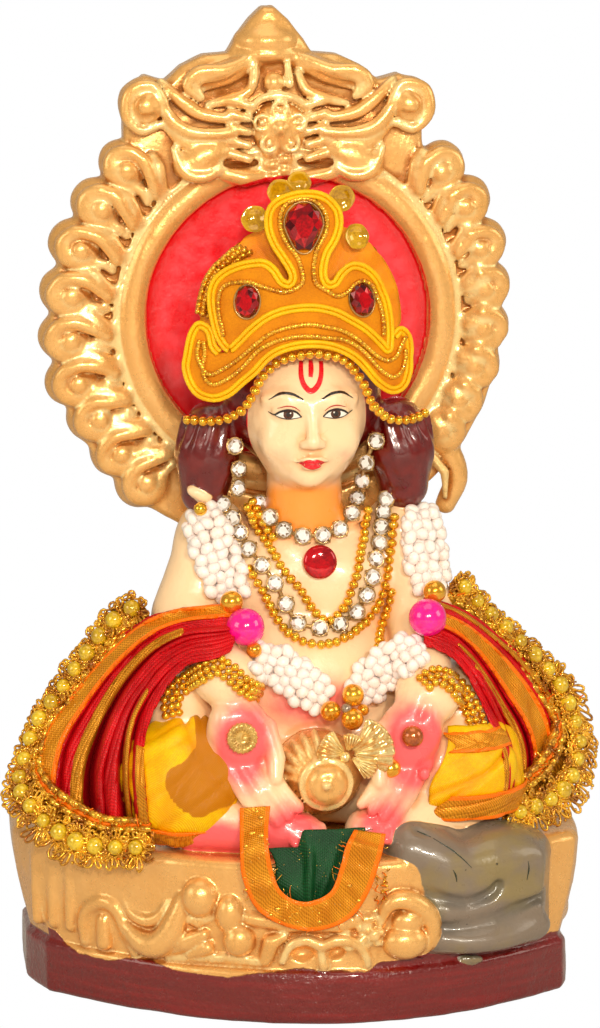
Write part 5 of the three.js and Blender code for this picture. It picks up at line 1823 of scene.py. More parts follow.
FELT = Cloth("crown_felt", linear(0.90, 0.58, 0.01), linear(0.76, 0.43, 0.0), 0.0, rough=0.85, sheen=0.5)
CROWN_SATIN = Cloth("orange_satin", linear(1.0, 0.66, 0.02), linear(0.88, 0.46, 0.01), 0.2, rough=0.4)
SOUTACHE = Cloth("yellow_cord", linear(1.0, 0.82, 0.02), linear(0.92, 0.62, 0.0), 0.22, rough=0.42, sheen=0.3)
# Its mustard edge colour is painted shade on the left knee cloth
YELLOW_SATIN = Cloth("yellow_satin", linear(1.0, 0.88, 0.02), linear(0.92, 0.56, 0.0), 0.16, rough=0.3, sheen=0.2, edge=linear(0.76, 0.46, 0.0))
RED_SATIN = Cloth("red_satin", linear(0.93, 0.05, 0.10), linear(0.62, 0.0, 0.03), 0.3, rough=0.42, sheen=0.3)
TISSUE = Cloth(
    "tissue_ribbon", linear(0.95, 0.66, 0.16), linear(0.78, 0.44, 0.04), 0.28, 0.4, 0.3, 0.1,
    edge=linear(1.0, 0.46, 0.02), glitter=linear(1.0, 0.88, 0.6),
)
GLITTER = Cloth(
    "green_glitter_cloth", linear(0.05, 0.34, 0.16), linear(0.01, 0.17, 0.07), 0.3, 0.1, 0.5, 0.3,
    glitter=linear(0.85, 0.66, 0.25),
)


GOLD_TISSUE = Cloth(
    "gold_tissue", linear(0.93, 0.64, 0.16), linear(0.70, 0.42, 0.05), 0.25, 0.45, 0.3, 0.05,
    glitter=linear(1.0, 0.86, 0.5),
)
ORANGE_THREAD = Cloth("orange_thread", linear(1.0, 0.54, 0.03), linear(0.92, 0.36, 0.01), 0.2, 0.2, 0.4, 0.2)
# The net's dark brown is partly painted shade between the lace's threads
LACE_NET = Cloth(
    "lace_net", linear(0.80, 0.50, 0.06), linear(0.46, 0.24, 0.02), 0.5, 0.5, 0.4, 0.1,
    glitter=linear(1.0, 0.80, 0.36),
)


@dataclass(frozen=True)
class FacePaint:
    """A flat paint on the face."""

    name: str
    colour: Colour
    rough: float = 0.28

    def material(self) -> bpy.types.Material:
        """Returns the material."""
        s = Shader(self.name)
        fine = s.noise(0.4, 3)
        return s.finish(
            Base_Color=s.blend(fine.span(0.35, 0.75) * 0.25, self.colour, tuple(min(1.0, c * 1.8 + 0.02) for c in self.colour)),
            Roughness=self.rough + (fine - 0.5) * 0.1,
            Coat_Weight=0.5,
            Coat_Roughness=0.1,
        )


# Dress


Mark = tuple[float, ...]


@dataclass
class Worn:
    """Something worn or painted on the casting."""

    casting: Casting

    def near(self, across: float, down: float, back: float, lift: float = 0.0) -> Array:
        """Returns the casting's point behind a picture point, no deeper than back."""
        y = min(self.casting.under(across, down, back)[1], back)
        return SHOT.at_depth(across, down, y - lift)

    def out_of(self, point: Array, share: float = 0.5) -> Array:
        """Returns a direction between the casting's own and the camera's, at a point."""
        found = self.casting.tree.find_nearest(Vector(point))
        own = np.array(found[1]) if found[1] is not None else np.array((0, -1.0, 0))
        mixed = own * share - SHOT.axes()[2] * (1 - share)
        return mixed / np.linalg.norm(mixed)

    @staticmethod
    def cut(piece: bpy.types.Object, width: float, held: str) -> None:
        """Logs the size of a cloth that was cut as a strip.

        Args:
            piece: the cloth, whose two faces are alike.
            width: width of the strip in millimetres.
            held: how it is held; not used.
        """
        area = sum(face.area for face in piece.data.polygons) / 2
        LOG.info("%s: cut %.1f by %.1f mm", piece.name, width, area / width / MM**2)


@dataclass
class FacePaintwork(Worn):
    """Painted brows, eyes and lips, laid out in even thirds, and the red forehead mark."""

    figure: Figure = field(default_factory=Figure)
    forehead_mark: tuple[Mark, ...] = ((301, 361), (301, 375), (304, 385), (311, 391), (318, 385), (321, 375), (321, 361))
    forehead_drop: tuple[Mark, ...] = ((310.5, 360), (311, 368), (310.5, 377))

    def build(self) -> None:
        """Paints each colour as a thin skin on the face."""
        f = self.figure
        nose, brow = f.chin + f.third, f.chin + 2 * f.third
        eye = brow - 2.3
        dark, white, iris, red, rose = (Stock() for _ in range(5))
        for side in (-1, 1):

            def at(u: float, z: float) -> tuple[float, float]:
                """Returns a point of one side of the face."""
                return f.face_x + side * u, z

            upper = [at(1.75, eye - 0.45), at(2.7, eye + 0.45), at(3.9, eye + 0.72), at(5.2, eye + 0.4), at(6.1, eye - 0.2)]
            lower = [at(1.75, eye - 0.45), at(2.8, eye - 0.72), at(3.9, eye - 0.82), at(5.1, eye - 0.62), at(6.1, eye - 0.2)]
            self._fill(white, upper, lower, 0.07)
            self._round(iris, at(3.85, eye - 0.02), 0.82, upper, lower, 0.11)
            self._round(dark, at(3.85, eye - 0.02), 0.42, upper, lower, 0.15)
            self._stroke(dark, [*upper, at(6.9, eye + 0.15)], (0.10, 0.17, 0.2, 0.16, 0.04), 0.16)
            self._stroke(dark, lower, (0.05, 0.07, 0.08, 0.07, 0.04), 0.14)
            crease = [at(2.0, eye + 0.55), at(3.0, eye + 1.25), at(4.2, eye + 1.4), at(5.6, eye + 0.95)]
            self._stroke(rose, crease, (0.04, 0.10, 0.10, 0.03), 0.12)
            line = [at(1.5, brow + 0.15), at(3.2, brow + 1.0), at(5.0, brow + 1.1), at(6.9, brow - 0.1)]
            self._stroke(dark, line, (0.10, 0.2, 0.17, 0.04), 0.12)
            # A small white dot in each eye is a painted highlight
            self._round(white, at(3.55, eye + 0.22), 0.13, None, None, 0.19)
        x = f.face_x
        mouth = nose - 2.85
        top = [(x - 2.3, mouth), (x - 1.3, mouth + 0.48), (x - 0.5, mouth + 0.72), (x, mouth + 0.55)]
        top += [(x + 0.5, mouth + 0.72), (x + 1.3, mouth + 0.48), (x + 2.3, mouth)]
        low = [(x - 2.3, mouth), (x - 1.2, mouth - 0.62), (x, mouth - 0.98), (x + 1.2, mouth - 0.62), (x + 2.3, mouth)]
        self._fill(red, top, low, 0.07)
        self._stroke(rose, [(x - 2.4, mouth), (x, mouth - 0.05), (x + 2.4, mouth)], (0.03, 0.05, 0.03), 0.11)
        for points, width in ((self.forehead_mark, 0.42), (self.forehead_drop, 0.4)):
            line = [tuple(self.near(*p, back=-12)[[0, 2]]) for p in points]
            self._stroke(red, line, (width * 0.8, width, width, width * 0.8), 0.1)
        for name, stock, paint in (
            ("paint_dark", dark, FacePaint("paint_dark", linear(0.13, 0.08, 0.07))),
            ("paint_white", white, FacePaint("paint_white", linear(0.97, 0.95, 0.90))),
            ("paint_iris", iris, FacePaint("paint_iris", linear(0.30, 0.15, 0.07))),
            ("paint_red", red, FacePaint("paint_red", linear(0.88, 0.07, 0.12))),
            ("paint_rose", rose, FacePaint("paint_rose", linear(0.70, 0.22, 0.18))),
        ):
            stock.piece(name, [paint.material()], "painted_plaster")

    def _lay(self, flat: Array, lift: float) -> Array:
        """Returns x-z points laid on the face."""
        made = []
        for x, z in flat.reshape(-1, 2):
            hit = self.casting.hit(np.array((x, -60.0, z)), np.array((0.0, 1.0, 0.0)))
            y = hit[1] if hit is not None else -14.0
            made.append((x, y - lift, z))
        return np.array(made).reshape(*flat.shape[:-1], 3)

    def _stroke(self, stock: Stock, points: Sequence[Mark], widths: Sequence[float], lift: float) -> None:
        """Paints a stroke with a changing half width."""
        count = max(12, int(len(smooth_line(points, 0.18))))
        line = even_line(points, count)
        ahead = np.gradient(line, axis=0)
        across = np.stack([-ahead[:, 1], ahead[:, 0]], axis=1)
        across /= np.linalg.norm(across, axis=1)[:, None]
        half = np.interp(np.linspace(0, 1, count), np.linspace(0, 1, len(widths)), widths)[:, None, None]
        flat = line[:, None] + across[:, None] * half * np.linspace(-1, 1, 5)[None, :, None]
        stock.cloth(self._lay(flat, lift), 0.06)

    def _fill(self, stock: Stock, upper: Sequence[Mark], lower: Sequence[Mark], lift: float) -> None:
        """Fills between two lines."""
        a, b = even_line(upper, 26), even_line(lower, 26)
        t = np.linspace(0, 1, 9)[None, :, None]
        stock.cloth(self._lay(a[:, None] * (1 - t) + b[:, None] * t, lift), 0.06)

    def _round(self, stock: Stock, middle: Mark, radius: float, upper: Any, lower: Any, lift: float) -> None:
        """Fills a disc, cut by the lids where they are given."""
        t = np.linspace(0, np.pi, 22)
        r = np.linspace(-1, 1, 13)
        x = middle[0] + radius * np.cos(t)[:, None] * np.ones(13)
        z = middle[1] + radius * np.sin(t)[:, None] * r
        if upper is not None:
            a, b = even_line(upper, 60), even_line(lower, 60)
            a, b = a[np.argsort(a[:, 0])], b[np.argsort(b[:, 0])]
            z = np.clip(z, np.interp(x, b[:, 0], b[:, 1]), np.interp(x, a[:, 0], a[:, 1]))
        stock.cloth(self._lay(np.stack([x, z], axis=-1), lift), 0.05)


@dataclass
class Crown(Worn):
    """The felt crown, its cords and stones, and the satin behind it."""

    x: float = 0.8
    front: float = -17.7
    bow: float = 0.0165
    lean: float = 0.03
    foot: float = 101.0
    thick: float = 1.4
    # Middle line of the yellow cord round the upper part, from the left notch clockwise
    upper: tuple[Mark, ...] = (
        (229, 349), (219, 337), (213.5, 318), (211, 298), (214.5, 283), (223.5, 273.5), (236.5, 267), (251.5, 263.5),
        (264.5, 263.5), (273.5, 270), (281, 281), (288.5, 284.5), (293, 279), (291, 270), (283, 257), (274.5, 244),
        (269, 229), (269, 214.5), (275.5, 203.5), (288.5, 197), (303, 194), (318, 195), (329, 200.5), (337.5, 211.5),
        (339, 225.5), (334.5, 240), (327, 253), (323.5, 266), (323.5, 277), (328, 284.5), (335.5, 283), (342, 273.5),
        (352, 266), (364, 268), (375.5, 277.5), (382.5, 292), (387.5, 307), (390, 327), (390, 340), (388, 350),
    )
    arc: tuple[Mark, ...] = (
        (379, 341), (366, 329), (351, 320), (336.5, 312.5), (318, 308), (299.5, 308), (281, 311.5), (266, 318),
        (251.5, 329), (238.5, 342),
    )
    # The cord round the ears and the lower edge, from the left notch anticlockwise
    lower: tuple[Mark, ...] = (
        (219, 353), (213.5, 347), (211.5, 340), (209.5, 332), (205, 327), (198, 325.5), (191.5, 336), (187.5, 355),
        (186, 368), (190.5, 383), (199.5, 394), (214.5, 398), (229, 393), (242, 382), (255, 371), (266, 359),
        (279, 350.5), (296, 345.5), (312.5, 344), (329, 345.5), (344, 350.5), (357, 358.5), (368, 370), (379, 382.5),
        (392, 390), (403, 385.5), (408.5, 371.5), (409, 357), (409.5, 347.5), (407.5, 336.5), (401, 330), (394.5, 336),
    )
    zari: tuple[tuple[Mark, ...], ...] = (
        (
            (223.5, 336.5), (222, 327), (218.5, 310.5), (220, 292), (229, 283.5), (247.5, 282), (259, 285.5), (273.5, 290),
            (284.5, 292), (296, 288.5), (303, 281), (300.5, 266), (296, 255), (288.5, 246), (282, 233), (280, 218),
            (285.5, 205), (297.5, 199.5), (310.5, 199.5), (321.5, 207), (327, 220), (325.5, 233), (320, 244), (316, 253),
            (313.5, 270), (316, 283), (325.5, 290), (337.5, 296), (347.5, 292), (355, 284.5), (362.5, 281), (371.5, 285.5),
            (377, 297.5), (381, 308.5), (383.5, 323.5), (383.5, 334.5),
        ),
        (
            (199.5, 340), (197.5, 355), (202.5, 368), (210, 374.5), (223.5, 369), (240.5, 357.5), (253, 346.5), (266, 336.5),
            (279, 330), (296, 326), (310.5, 324.5), (325.5, 327), (340, 330), (355, 337.5), (366, 346.5), (377, 356),
            (388, 360.5), (396.5, 356), (401, 345.5), (406, 336.5),
        ),
        (
            (203.5, 341), (205, 353), (203, 366), (205, 378), (213.5, 384.5), (227.5, 379), (242, 368), (257, 352),
            (271.5, 343), (288.5, 338), (299.5, 336.5), (314.5, 336.5), (327, 338), (342, 339.5), (356, 345.5), (368, 356),
            (379, 368.5), (392, 377), (401, 371.5), (405, 360.5), (405.5, 349),
        ),
    )
    rear_edge: tuple[Mark, ...] = ((247, 249), (238, 252), (231, 258), (219, 269), (210, 283), (205, 299), (202, 316))

    def front_at(self, x: Any, z: Any) -> Any:
        """Returns y of the felt's front face."""
        return self.front + self.bow * (x - self.x) ** 2 + self.lean * (z - self.foot)

    def on(self, across: float, down: float, lift: float = 0.0) -> Array:
        """Returns the point of the felt behind a picture point, lifted off it."""
        y = self.front
        for _ in range(5):
            p = SHOT.at_depth(across, down, y)
            y = self.front_at(p[0], p[2]) - lift
        return p

    def line(self, points: Sequence[Mark], lift: float, step: float, closed: bool = False) -> Array:
        """Returns a smooth line over the felt."""
        return smooth_line([self.on(*p, lift) for p in points], step, closed)

    def build(self) -> None:
        """Makes the crown's pieces."""
        self._felt()
        self._cords()
        self._stones()
        self._satin()
        self._sequins()

    def _felt(self) -> None:
        """Makes the felt plate."""
        outline = [*self.upper, *reversed(self.lower)]
        flat = smooth_line([self.on(*p)[[0, 2]] for p in outline], 0.7, True)
        clay = Clay((-21, -19.5, 97), (23, -8, 137.5), 0.32)
        clay.slab("felt", flat, 0.0, self.thick, 1, round_=0.45, bend=self.front_at)
        clay.ripple(3.0, 0.10, 21)
        clay.ripple(0.9, 0.05, 22)
        points, quads = clay.skin(clay.fields["felt"])
        made = Stock()
        made.add(points, quads)
        made.piece("crown_felt_plate", [FELT.material()], "crown_felt", ["crown_felt"])

    def _cords(self) -> None:
        """Makes the two-ridged yellow cord and the twisted gold cords."""
        cord = Stock()
        for path in (self.line([*self.upper, *self.arc], 0.25, 0.24, True), self.line(self.lower, 0.25, 0.24)):
            ahead = np.gradient(path, axis=0)
            across = np.cross(ahead, (0.0, -1.0, 0.0))
            across /= np.linalg.norm(across, axis=1)[:, None] + 1e-9
            for side in (-1, 1):
                cord.tube(path + across * 0.36 * side, 0.38, 8, False, 3, 1.1 * side, 0.14)
        cord.piece("crown_soutache", [SOUTACHE.material()], "yellow_cord", ["crown_cord"])
        zari = Stock()
        for number, points in enumerate(self.zari):
            path = self.line(points, 0.3, 0.13)
            zari.tube(path, 0.46, 8, False, 3, 1.5, 0.4)
            zari.string(path + (0, -0.2, 0.06), 1.0, 0.42, 0.85, 1, np.random.default_rng(number + 40), 8)
        zari.piece("crown_zari", [Gloss.THREAD.material(), Gloss.GOLD_BEAD.material()], "gold_thread", ["crown_zari_cord"])

    @staticmethod
    def _drop(t: Array) -> Array:
        """Returns the outline of a drop that points down."""
        low = np.maximum(0, -np.sin(t))
        return 1 + 0.24 * low**6 - 0.16 * low * (1 - low) * 2

    def _stones(self) -> None:
        """Makes the three red stones in their rims."""
        made = Stock()
        for number, (across, down, half, lean, shape) in enumerate((
            (304, 225, (3.05, 3.6), 0, self._drop),
            (247, 302, (2.05, 2.65), 6, None),
            (362.5, 299.5, (2.1, 2.75), -16, None),
        )):
            centre = self.on(across, down, 0.55)
            slope = 2 * self.bow * (centre[0] - self.x)
            turn = facing((slope, -1.0, 0.04)) @ np.array(
                [[math.cos(a := math.radians(lean)), math.sin(a), 0], [-math.sin(a), math.cos(a), 0], [0, 0, 1]]
            )
            # The facets share lit, half-shaded and shaded red as painted reflections
            made.stone(centre, turn, half, 1.0, 10, (0, 1, 2, 1), 5 + number, shape)
            t = np.linspace(0, 2 * np.pi, 44, endpoint=False)
            scale = (shape(t) if shape else 1.0) * 1.04
            ring = np.stack([half[0] * scale * np.cos(t), half[1] * scale * np.sin(t), np.full(44, -0.2)], axis=1)
            made.tube(ring @ turn.T + centre, 0.15, 6, True, kind=3)
        gems = [Gloss.RED_GEM.material(), Gloss.GEM_HALF_SHADED.material(), Gloss.GEM_SHADED.material()]
        nodes = ["crown_gem_top", "crown_gem_left", "crown_gem_right"]
        made.piece("crown_stones", [*gems, Gloss.CUP.material()], "red_gem", nodes, flat=(0, 1, 2))

    def _satin(self) -> None:
        """Makes the satin cap behind the felt, with the gold edge that shows on its left."""
        u, v = np.meshgrid(np.linspace(-1, 1, 46), np.linspace(-1, 1, 46), indexing="ij")
        x = self.x + 16.4 * u * np.sqrt(1 - v**2 / 2)
        half = np.where(v > 0, 16.8, 5.4)
        z = 112.4 + half * v * np.sqrt(1 - u**2 / 2)
        reach = np.sqrt(((x - self.x) / 16.4) ** 2 + ((z - 112.4) / half) ** 2)
        angle = np.arctan2(z - 112.4, x - self.x)
        fold = 0.35 * np.sin(angle * 13) * reach**2 + 0.2 * np.sin(angle * 29 + 2) * reach**3
        y = self.front_at(x, z) + 3.9 + 1.3 * reach**6 + fold
        made = Stock()
        # The satin is painted darker in its recessed folds as shade
        made.cloth(np.stack([x, y, z], axis=-1), 0.4, tone=np.clip(fold * 1.5, 0, 1))
        satin = made.piece("crown_back", [CROWN_SATIN.material()], "orange_satin", ["crown_back_satin"])
        self.cut(satin, 33, "stretched")
        edge = Stock()
        path = self.line(self.rear_edge, -1.7, 0.2)
        for number, (aside, radius) in enumerate(((0.0, 0.62), (0.9, 0.5), (-0.75, 0.5))):
            strand = path + (aside, 0.2 * abs(aside), -0.5 * aside)
            edge.tube(strand, radius, 9, False, 3, 1.4, 0.4)
            edge.string(strand + (0, -0.5, 0), 1.1, 0.5, 0.9, 1, np.random.default_rng(3 + number), 8)
        edge.piece("crown_rear_edge", [Gloss.THREAD.material(), Gloss.GOLD_BEAD.material()], "gold_thread")

    def _sequins(self) -> None:
        """Makes the cupped clear sequins that stand behind the top loop."""
        made = Stock()
        chance = np.random.default_rng(12)
        for across, down, radius in ((255, 220, 2.25), (281, 191, 2.2), (299, 182, 2.0), (340, 197, 2.3), (355, 237, 2.15)):
            centre = self.on(across, down, -2.3)
            tip = facing((chance.uniform(-0.35, 0.35), -1.0, chance.uniform(-0.2, 0.35)))
            profile = [(0, -0.15), (0.25, -0.12), (0.3, -0.05), (0.62, 0.06), (0.97, 0.34), (1.0, 0.4), (0.95, 0.42), (0.6, 0.14), (0.3, 0.03), (0, 0.02)]
            facets = lambda t: 1 - 0.035 * np.abs(np.sin(t * 3))
            made.turned([(r * radius, h * radius) for r, h in profile], np.hstack([tip, centre[:, None]]), 24, 0, facets)
        nodes = [f"crown_sequin_{k}" for k in range(1, 6)]
        made.piece("crown_sequins", [Gloss.SEQUIN.material()], "clear_sequin", nodes)


@dataclass
class Jewels(Worn):
    """Bead strings, stone chains, pearls, the chest stone and the bracelets."""

    brow: tuple[Mark, ...] = (
        (184, 419, -7), (196, 421, -8.5), (212, 421, -10), (228, 418, -11), (241, 411, -12.5), (249, 402, -13.5),
        (256, 389, -14), (264, 375, -14.5), (275, 364, -15), (290, 357, -16), (312, 354, -16.5), (334, 357, -16),
        (348, 363, -15), (358, 375, -14.5), (365, 388, -14), (371, 401, -13.5), (379, 412, -12.5), (392, 419, -11),
        (407, 420, -10), (418, 417, -8.5), (427, 411, -7),
    )
    inner: tuple[Mark, ...] = (
        (245, 503), (252, 516), (258, 530), (270, 547), (282, 567), (292, 580), (301, 590), (313, 610), (329, 621),
        (345, 606), (354, 583), (360, 559), (364, 534), (368, 508),
    )
    inner_second: tuple[Mark, ...] = ((250, 498), (259, 512), (266, 527), (276, 541))
    outer: tuple[Mark, ...] = (
        (247, 565), (258, 583), (268, 601), (276, 617), (288, 633), (308, 643), (329, 644), (348, 636), (366, 622),
        (376, 609), (384, 589), (389, 563), (393, 534), (395, 513),
    )
    outer_second: tuple[Mark, ...] = ((391, 588), (390, 602), (384, 616), (380, 633), (379, 647))
    chain: tuple[Mark, ...] = (
        (223, 504), (233, 518), (240, 532), (249, 549), (262, 565), (275, 583), (286, 604), (298, 623), (320, 628),
        (340, 624), (357, 612), (367, 595), (373, 577), (376, 559), (379.5, 543), (381.5, 527), (383.5, 512), (386, 499),
    )
    choker: tuple[Mark, ...] = (
        (260, 503), (270, 517), (284, 530), (303, 536), (323, 535), (340, 529), (352, 513), (357, 498), (362, 481), (366, 463),
        (376, 441),
    )
    ear: tuple[Mark, ...] = ((235, 446), (239, 469), (238.5, 488))
    bracelets: tuple[tuple[Mark, ...], ...] = (
        ((167, 719), (164, 701), (173, 685), (190, 672), (206, 663), (220, 659), (234, 667), (248, 680), (265, 689)),
        ((417, 681), (425, 673), (436, 669), (450, 673), (466, 687), (477, 705), (484, 724), (486, 738)),
    )

    def build(self) -> None:
        """Makes the pieces."""
        self._strings()
        self._stones()
        self._pearls()
        self._bracelets()
        self._palms()

    def _path(self, points: Sequence[Mark], lift: float) -> Array:
        """Returns a line over the casting through picture points."""
        marks = [p if len(p) == 3 else (*p, -6.0) for p in points]
        return smooth_line([self.near(*p, lift=lift) for p in smooth_line(marks, 3.0)][::2], 0.2)

    def _strings(self) -> None:
        """Makes the strings of gold beads."""
        chance = np.random.default_rng(5)
        for name, paths, node in (
            ("brow_beads", (self.brow,), "brow_bead_string"),
            ("inner_beads", (self.inner, self.inner_second), "inner_bead_string"),
            ("outer_beads", (self.outer, self.outer_second), "outer_bead_string"),
        ):
            made = Stock()
            for points in paths:
                path = self._path(points, 0.75)
                made.string(path, 1.46, 0.86, 0.86, 0, chance, 14)
                made.tube(path, 0.16, 5)
            made.piece(name, [Gloss.GOLD_BEAD.material()], "gold_beads", [node])

    def _stones(self) -> None:
        """Makes the chains of cut stones in cups, and the round red chest stone."""
        finishes = [Gloss.CRYSTAL.material(), Gloss.CRYSTAL_HALF_SHADED.material(), Gloss.CRYSTAL_SHADED.material(), Gloss.CUP.material()]
        for name, lines, node in (
            ("choker_stones", (self.choker, self.ear), "choker_chain"),
            ("chain_stones", (self.chain,), "long_chain"),
        ):
            made = Stock()
            for number, points in enumerate(lines):
                centres = [self.near(*p, back=-6.5 if number or p[1] < 480 else -3.0, lift=1.1) for p in points]
                for k, centre in enumerate(centres):
                    self._cup(made, centre, 10 * number + k)
                if len(centres) > 3:
                    made.tube(smooth_line([c + (0, 0.75, 0) for c in centres], 0.4), 0.4, 6, kind=3)
            made.piece(name, finishes, "rhinestone", [node], flat=(0, 1, 2))
        gem = Stock()
        centre = self.near(320, 562, -9, 1.0)
        turn = facing((0.0, -1.0, 0.16))
        profile = [(0, -0.6), (2.75, -0.55), (2.82, 0.0), (2.7, 0.35), (2.2, 0.62), (1.4, 0.78), (0.6, 0.84), (0, 0.86)]
        gem.turned(profile, np.hstack([turn, centre[:, None]]), 36)
        gem.piece("chest_stone", [Gloss.RED_GEM.material()], "red_gem", ["chest_gem"])

    def _cup(self, made: Stock, centre: Array, seed: int) -> None:
        """Adds one cut stone in its cup with four claws."""
        chance = np.random.default_rng(seed + 70)
        turn = facing(self.out_of(centre, 0.35) + chance.normal(0, 0.07, 3))
        # The facets share lit, half-shaded and shaded crystal as painted reflections
        made.stone(centre, turn, (1.34, 1.34), 0.72, 8, (0, 0, 1, 1, 2), seed)
        profile = [(0, -0.95), (0.9, -0.9), (1.32, -0.5), (1.5, 0.02), (1.46, 0.1), (1.3, 0.04), (0, -0.1)]
        made.turned(profile, np.hstack([turn, centre[:, None]]), 16, 3)
        for k in range(4):
            t = math.radians(45 + 90 * k)
            claw = [turn @ np.array((1.5 * math.cos(t), 1.5 * math.sin(t), h)) for h in (-0.4, 0.0)]
            claw.append(turn @ np.array((1.28 * math.cos(t), 1.28 * math.sin(t), 0.36)))
            made.tube(np.array(claw) + centre, (0.2, 0.24, 0.14), 6, kind=3)

    def _pearls(self) -> None:
        """Makes the pink and gold pearls at the shoulders."""
        for name, across, down, back, radius, finish, slot, node in (
            ("pearl_pink_left", 245.5, 627, -17.5, 3.12, Gloss.PINK_PEARL, "pink_pearl", "pink_pearl_left"),
            ("pearl_pink_right", 427.5, 617.5, -17.5, 3.12, Gloss.PINK_PEARL, "pink_pearl", "pink_pearl_right"),
            ("pearl_gold_left", 231.5, 602, -15.5, 1.9, Gloss.GOLD_PEARL, "brown_gold_pearl", "gold_pearl_left"),
            ("pearl_gold_right", 434.5, 591.5, -14.5, 1.9, Gloss.GOLD_PEARL, "brown_gold_pearl", "gold_pearl_right"),
            ("pearl_gold_low", 254, 650, -18.5, 1.3, Gloss.GOLD_PEARL, "brown_gold_pearl", "gold_pearl_low_left"),
        ):
            made = Stock()
            centre = SHOT.at_depth(across, down, back)
            made.bead(centre, radius, 32, axis=(0.9, -0.2, -0.5))
            hole = facing((0.9, -0.2, -0.5))
            made.turned([(0, 0.955), (0.17, 0.96), (0.2, 1.0), (0.12, 1.01), (0, 0.97)], np.hstack([hole * radius, centre[:, None]]), 12)
            made.piece(name, [finish.material()], slot, [node])

    def _bracelets(self) -> None:
        """Makes the two bracelets, each of three rows of small beads."""
        chance = np.random.default_rng(9)
        for side, points in enumerate(self.bracelets):
            made = Stock()
            line = smooth_line(points, 3.0)
            ahead = np.gradient(line, axis=0)
            inward = np.stack([-ahead[:, 1], ahead[:, 0]], axis=1)
            inward /= np.linalg.norm(inward, axis=1)[:, None]
            for row in range(3):
                moved = line + inward * 6.8 * row
                on = np.array([self.near(*p, back=-15.0, lift=0.75 - 0.12 * abs(row - 1)) for p in moved])
                path = smooth_line(on[::2], 0.2)
                made.string(path, 1.3, 0.75, 0.88, 0, chance, 12)
                made.tube(path, 0.14, 5)
            name = ("left", "right")[side]
            made.piece(f"bracelet_beads_{name}", [Gloss.GOLD_BEAD.material()], "gold_beads", [f"bracelet_{name}"])

    def _palms(self) -> None:
        """Makes the fluted disc in the left palm and the pearl in the right one."""
        disc = Stock()
        centre = self.near(242, 738, -22, 0.5)
        turn = facing((0.10, -1.0, 0.12))
        profile = [(0, -0.5), (2.3, -0.45), (2.65, 0.1), (2.55, 0.62), (2.1, 0.86), (1.6, 0.7), (1.15, 0.25), (0.7, 0.1), (0, 0.1)]
        flutes = lambda t: 1 - 0.055 * np.abs(np.sin(t * 10))
        disc.turned(profile, np.hstack([turn, centre[:, None]]), 80, 0, flutes)
        for k in range(20):
            t = 2 * math.pi * k / 20
            rib = [turn @ np.array((r * math.cos(t), r * math.sin(t), h)) for r, h in ((1.2, 0.36), (1.75, 0.84), (2.3, 0.84), (2.62, 0.3))]
            disc.tube(np.array(rib) + centre, (0.1, 0.15, 0.16, 0.1), 5)
        disc.bead(centre + turn @ np.array((0.45, 0.0, 0.35)), 0.52, 12)
        disc.piece("palm_ornament", [Gloss.PALE.material()], "pale_gold", ["palm_disc_left"])
        pearl = Stock()
        pearl.bead(self.near(412.5, 736.5, -22, 0.9), 1.85, 28)
        pearl.piece("palm_pearl", [Gloss.BROWN_PEARL.material()], "brown_gold_pearl", ["palm_pearl_right"])


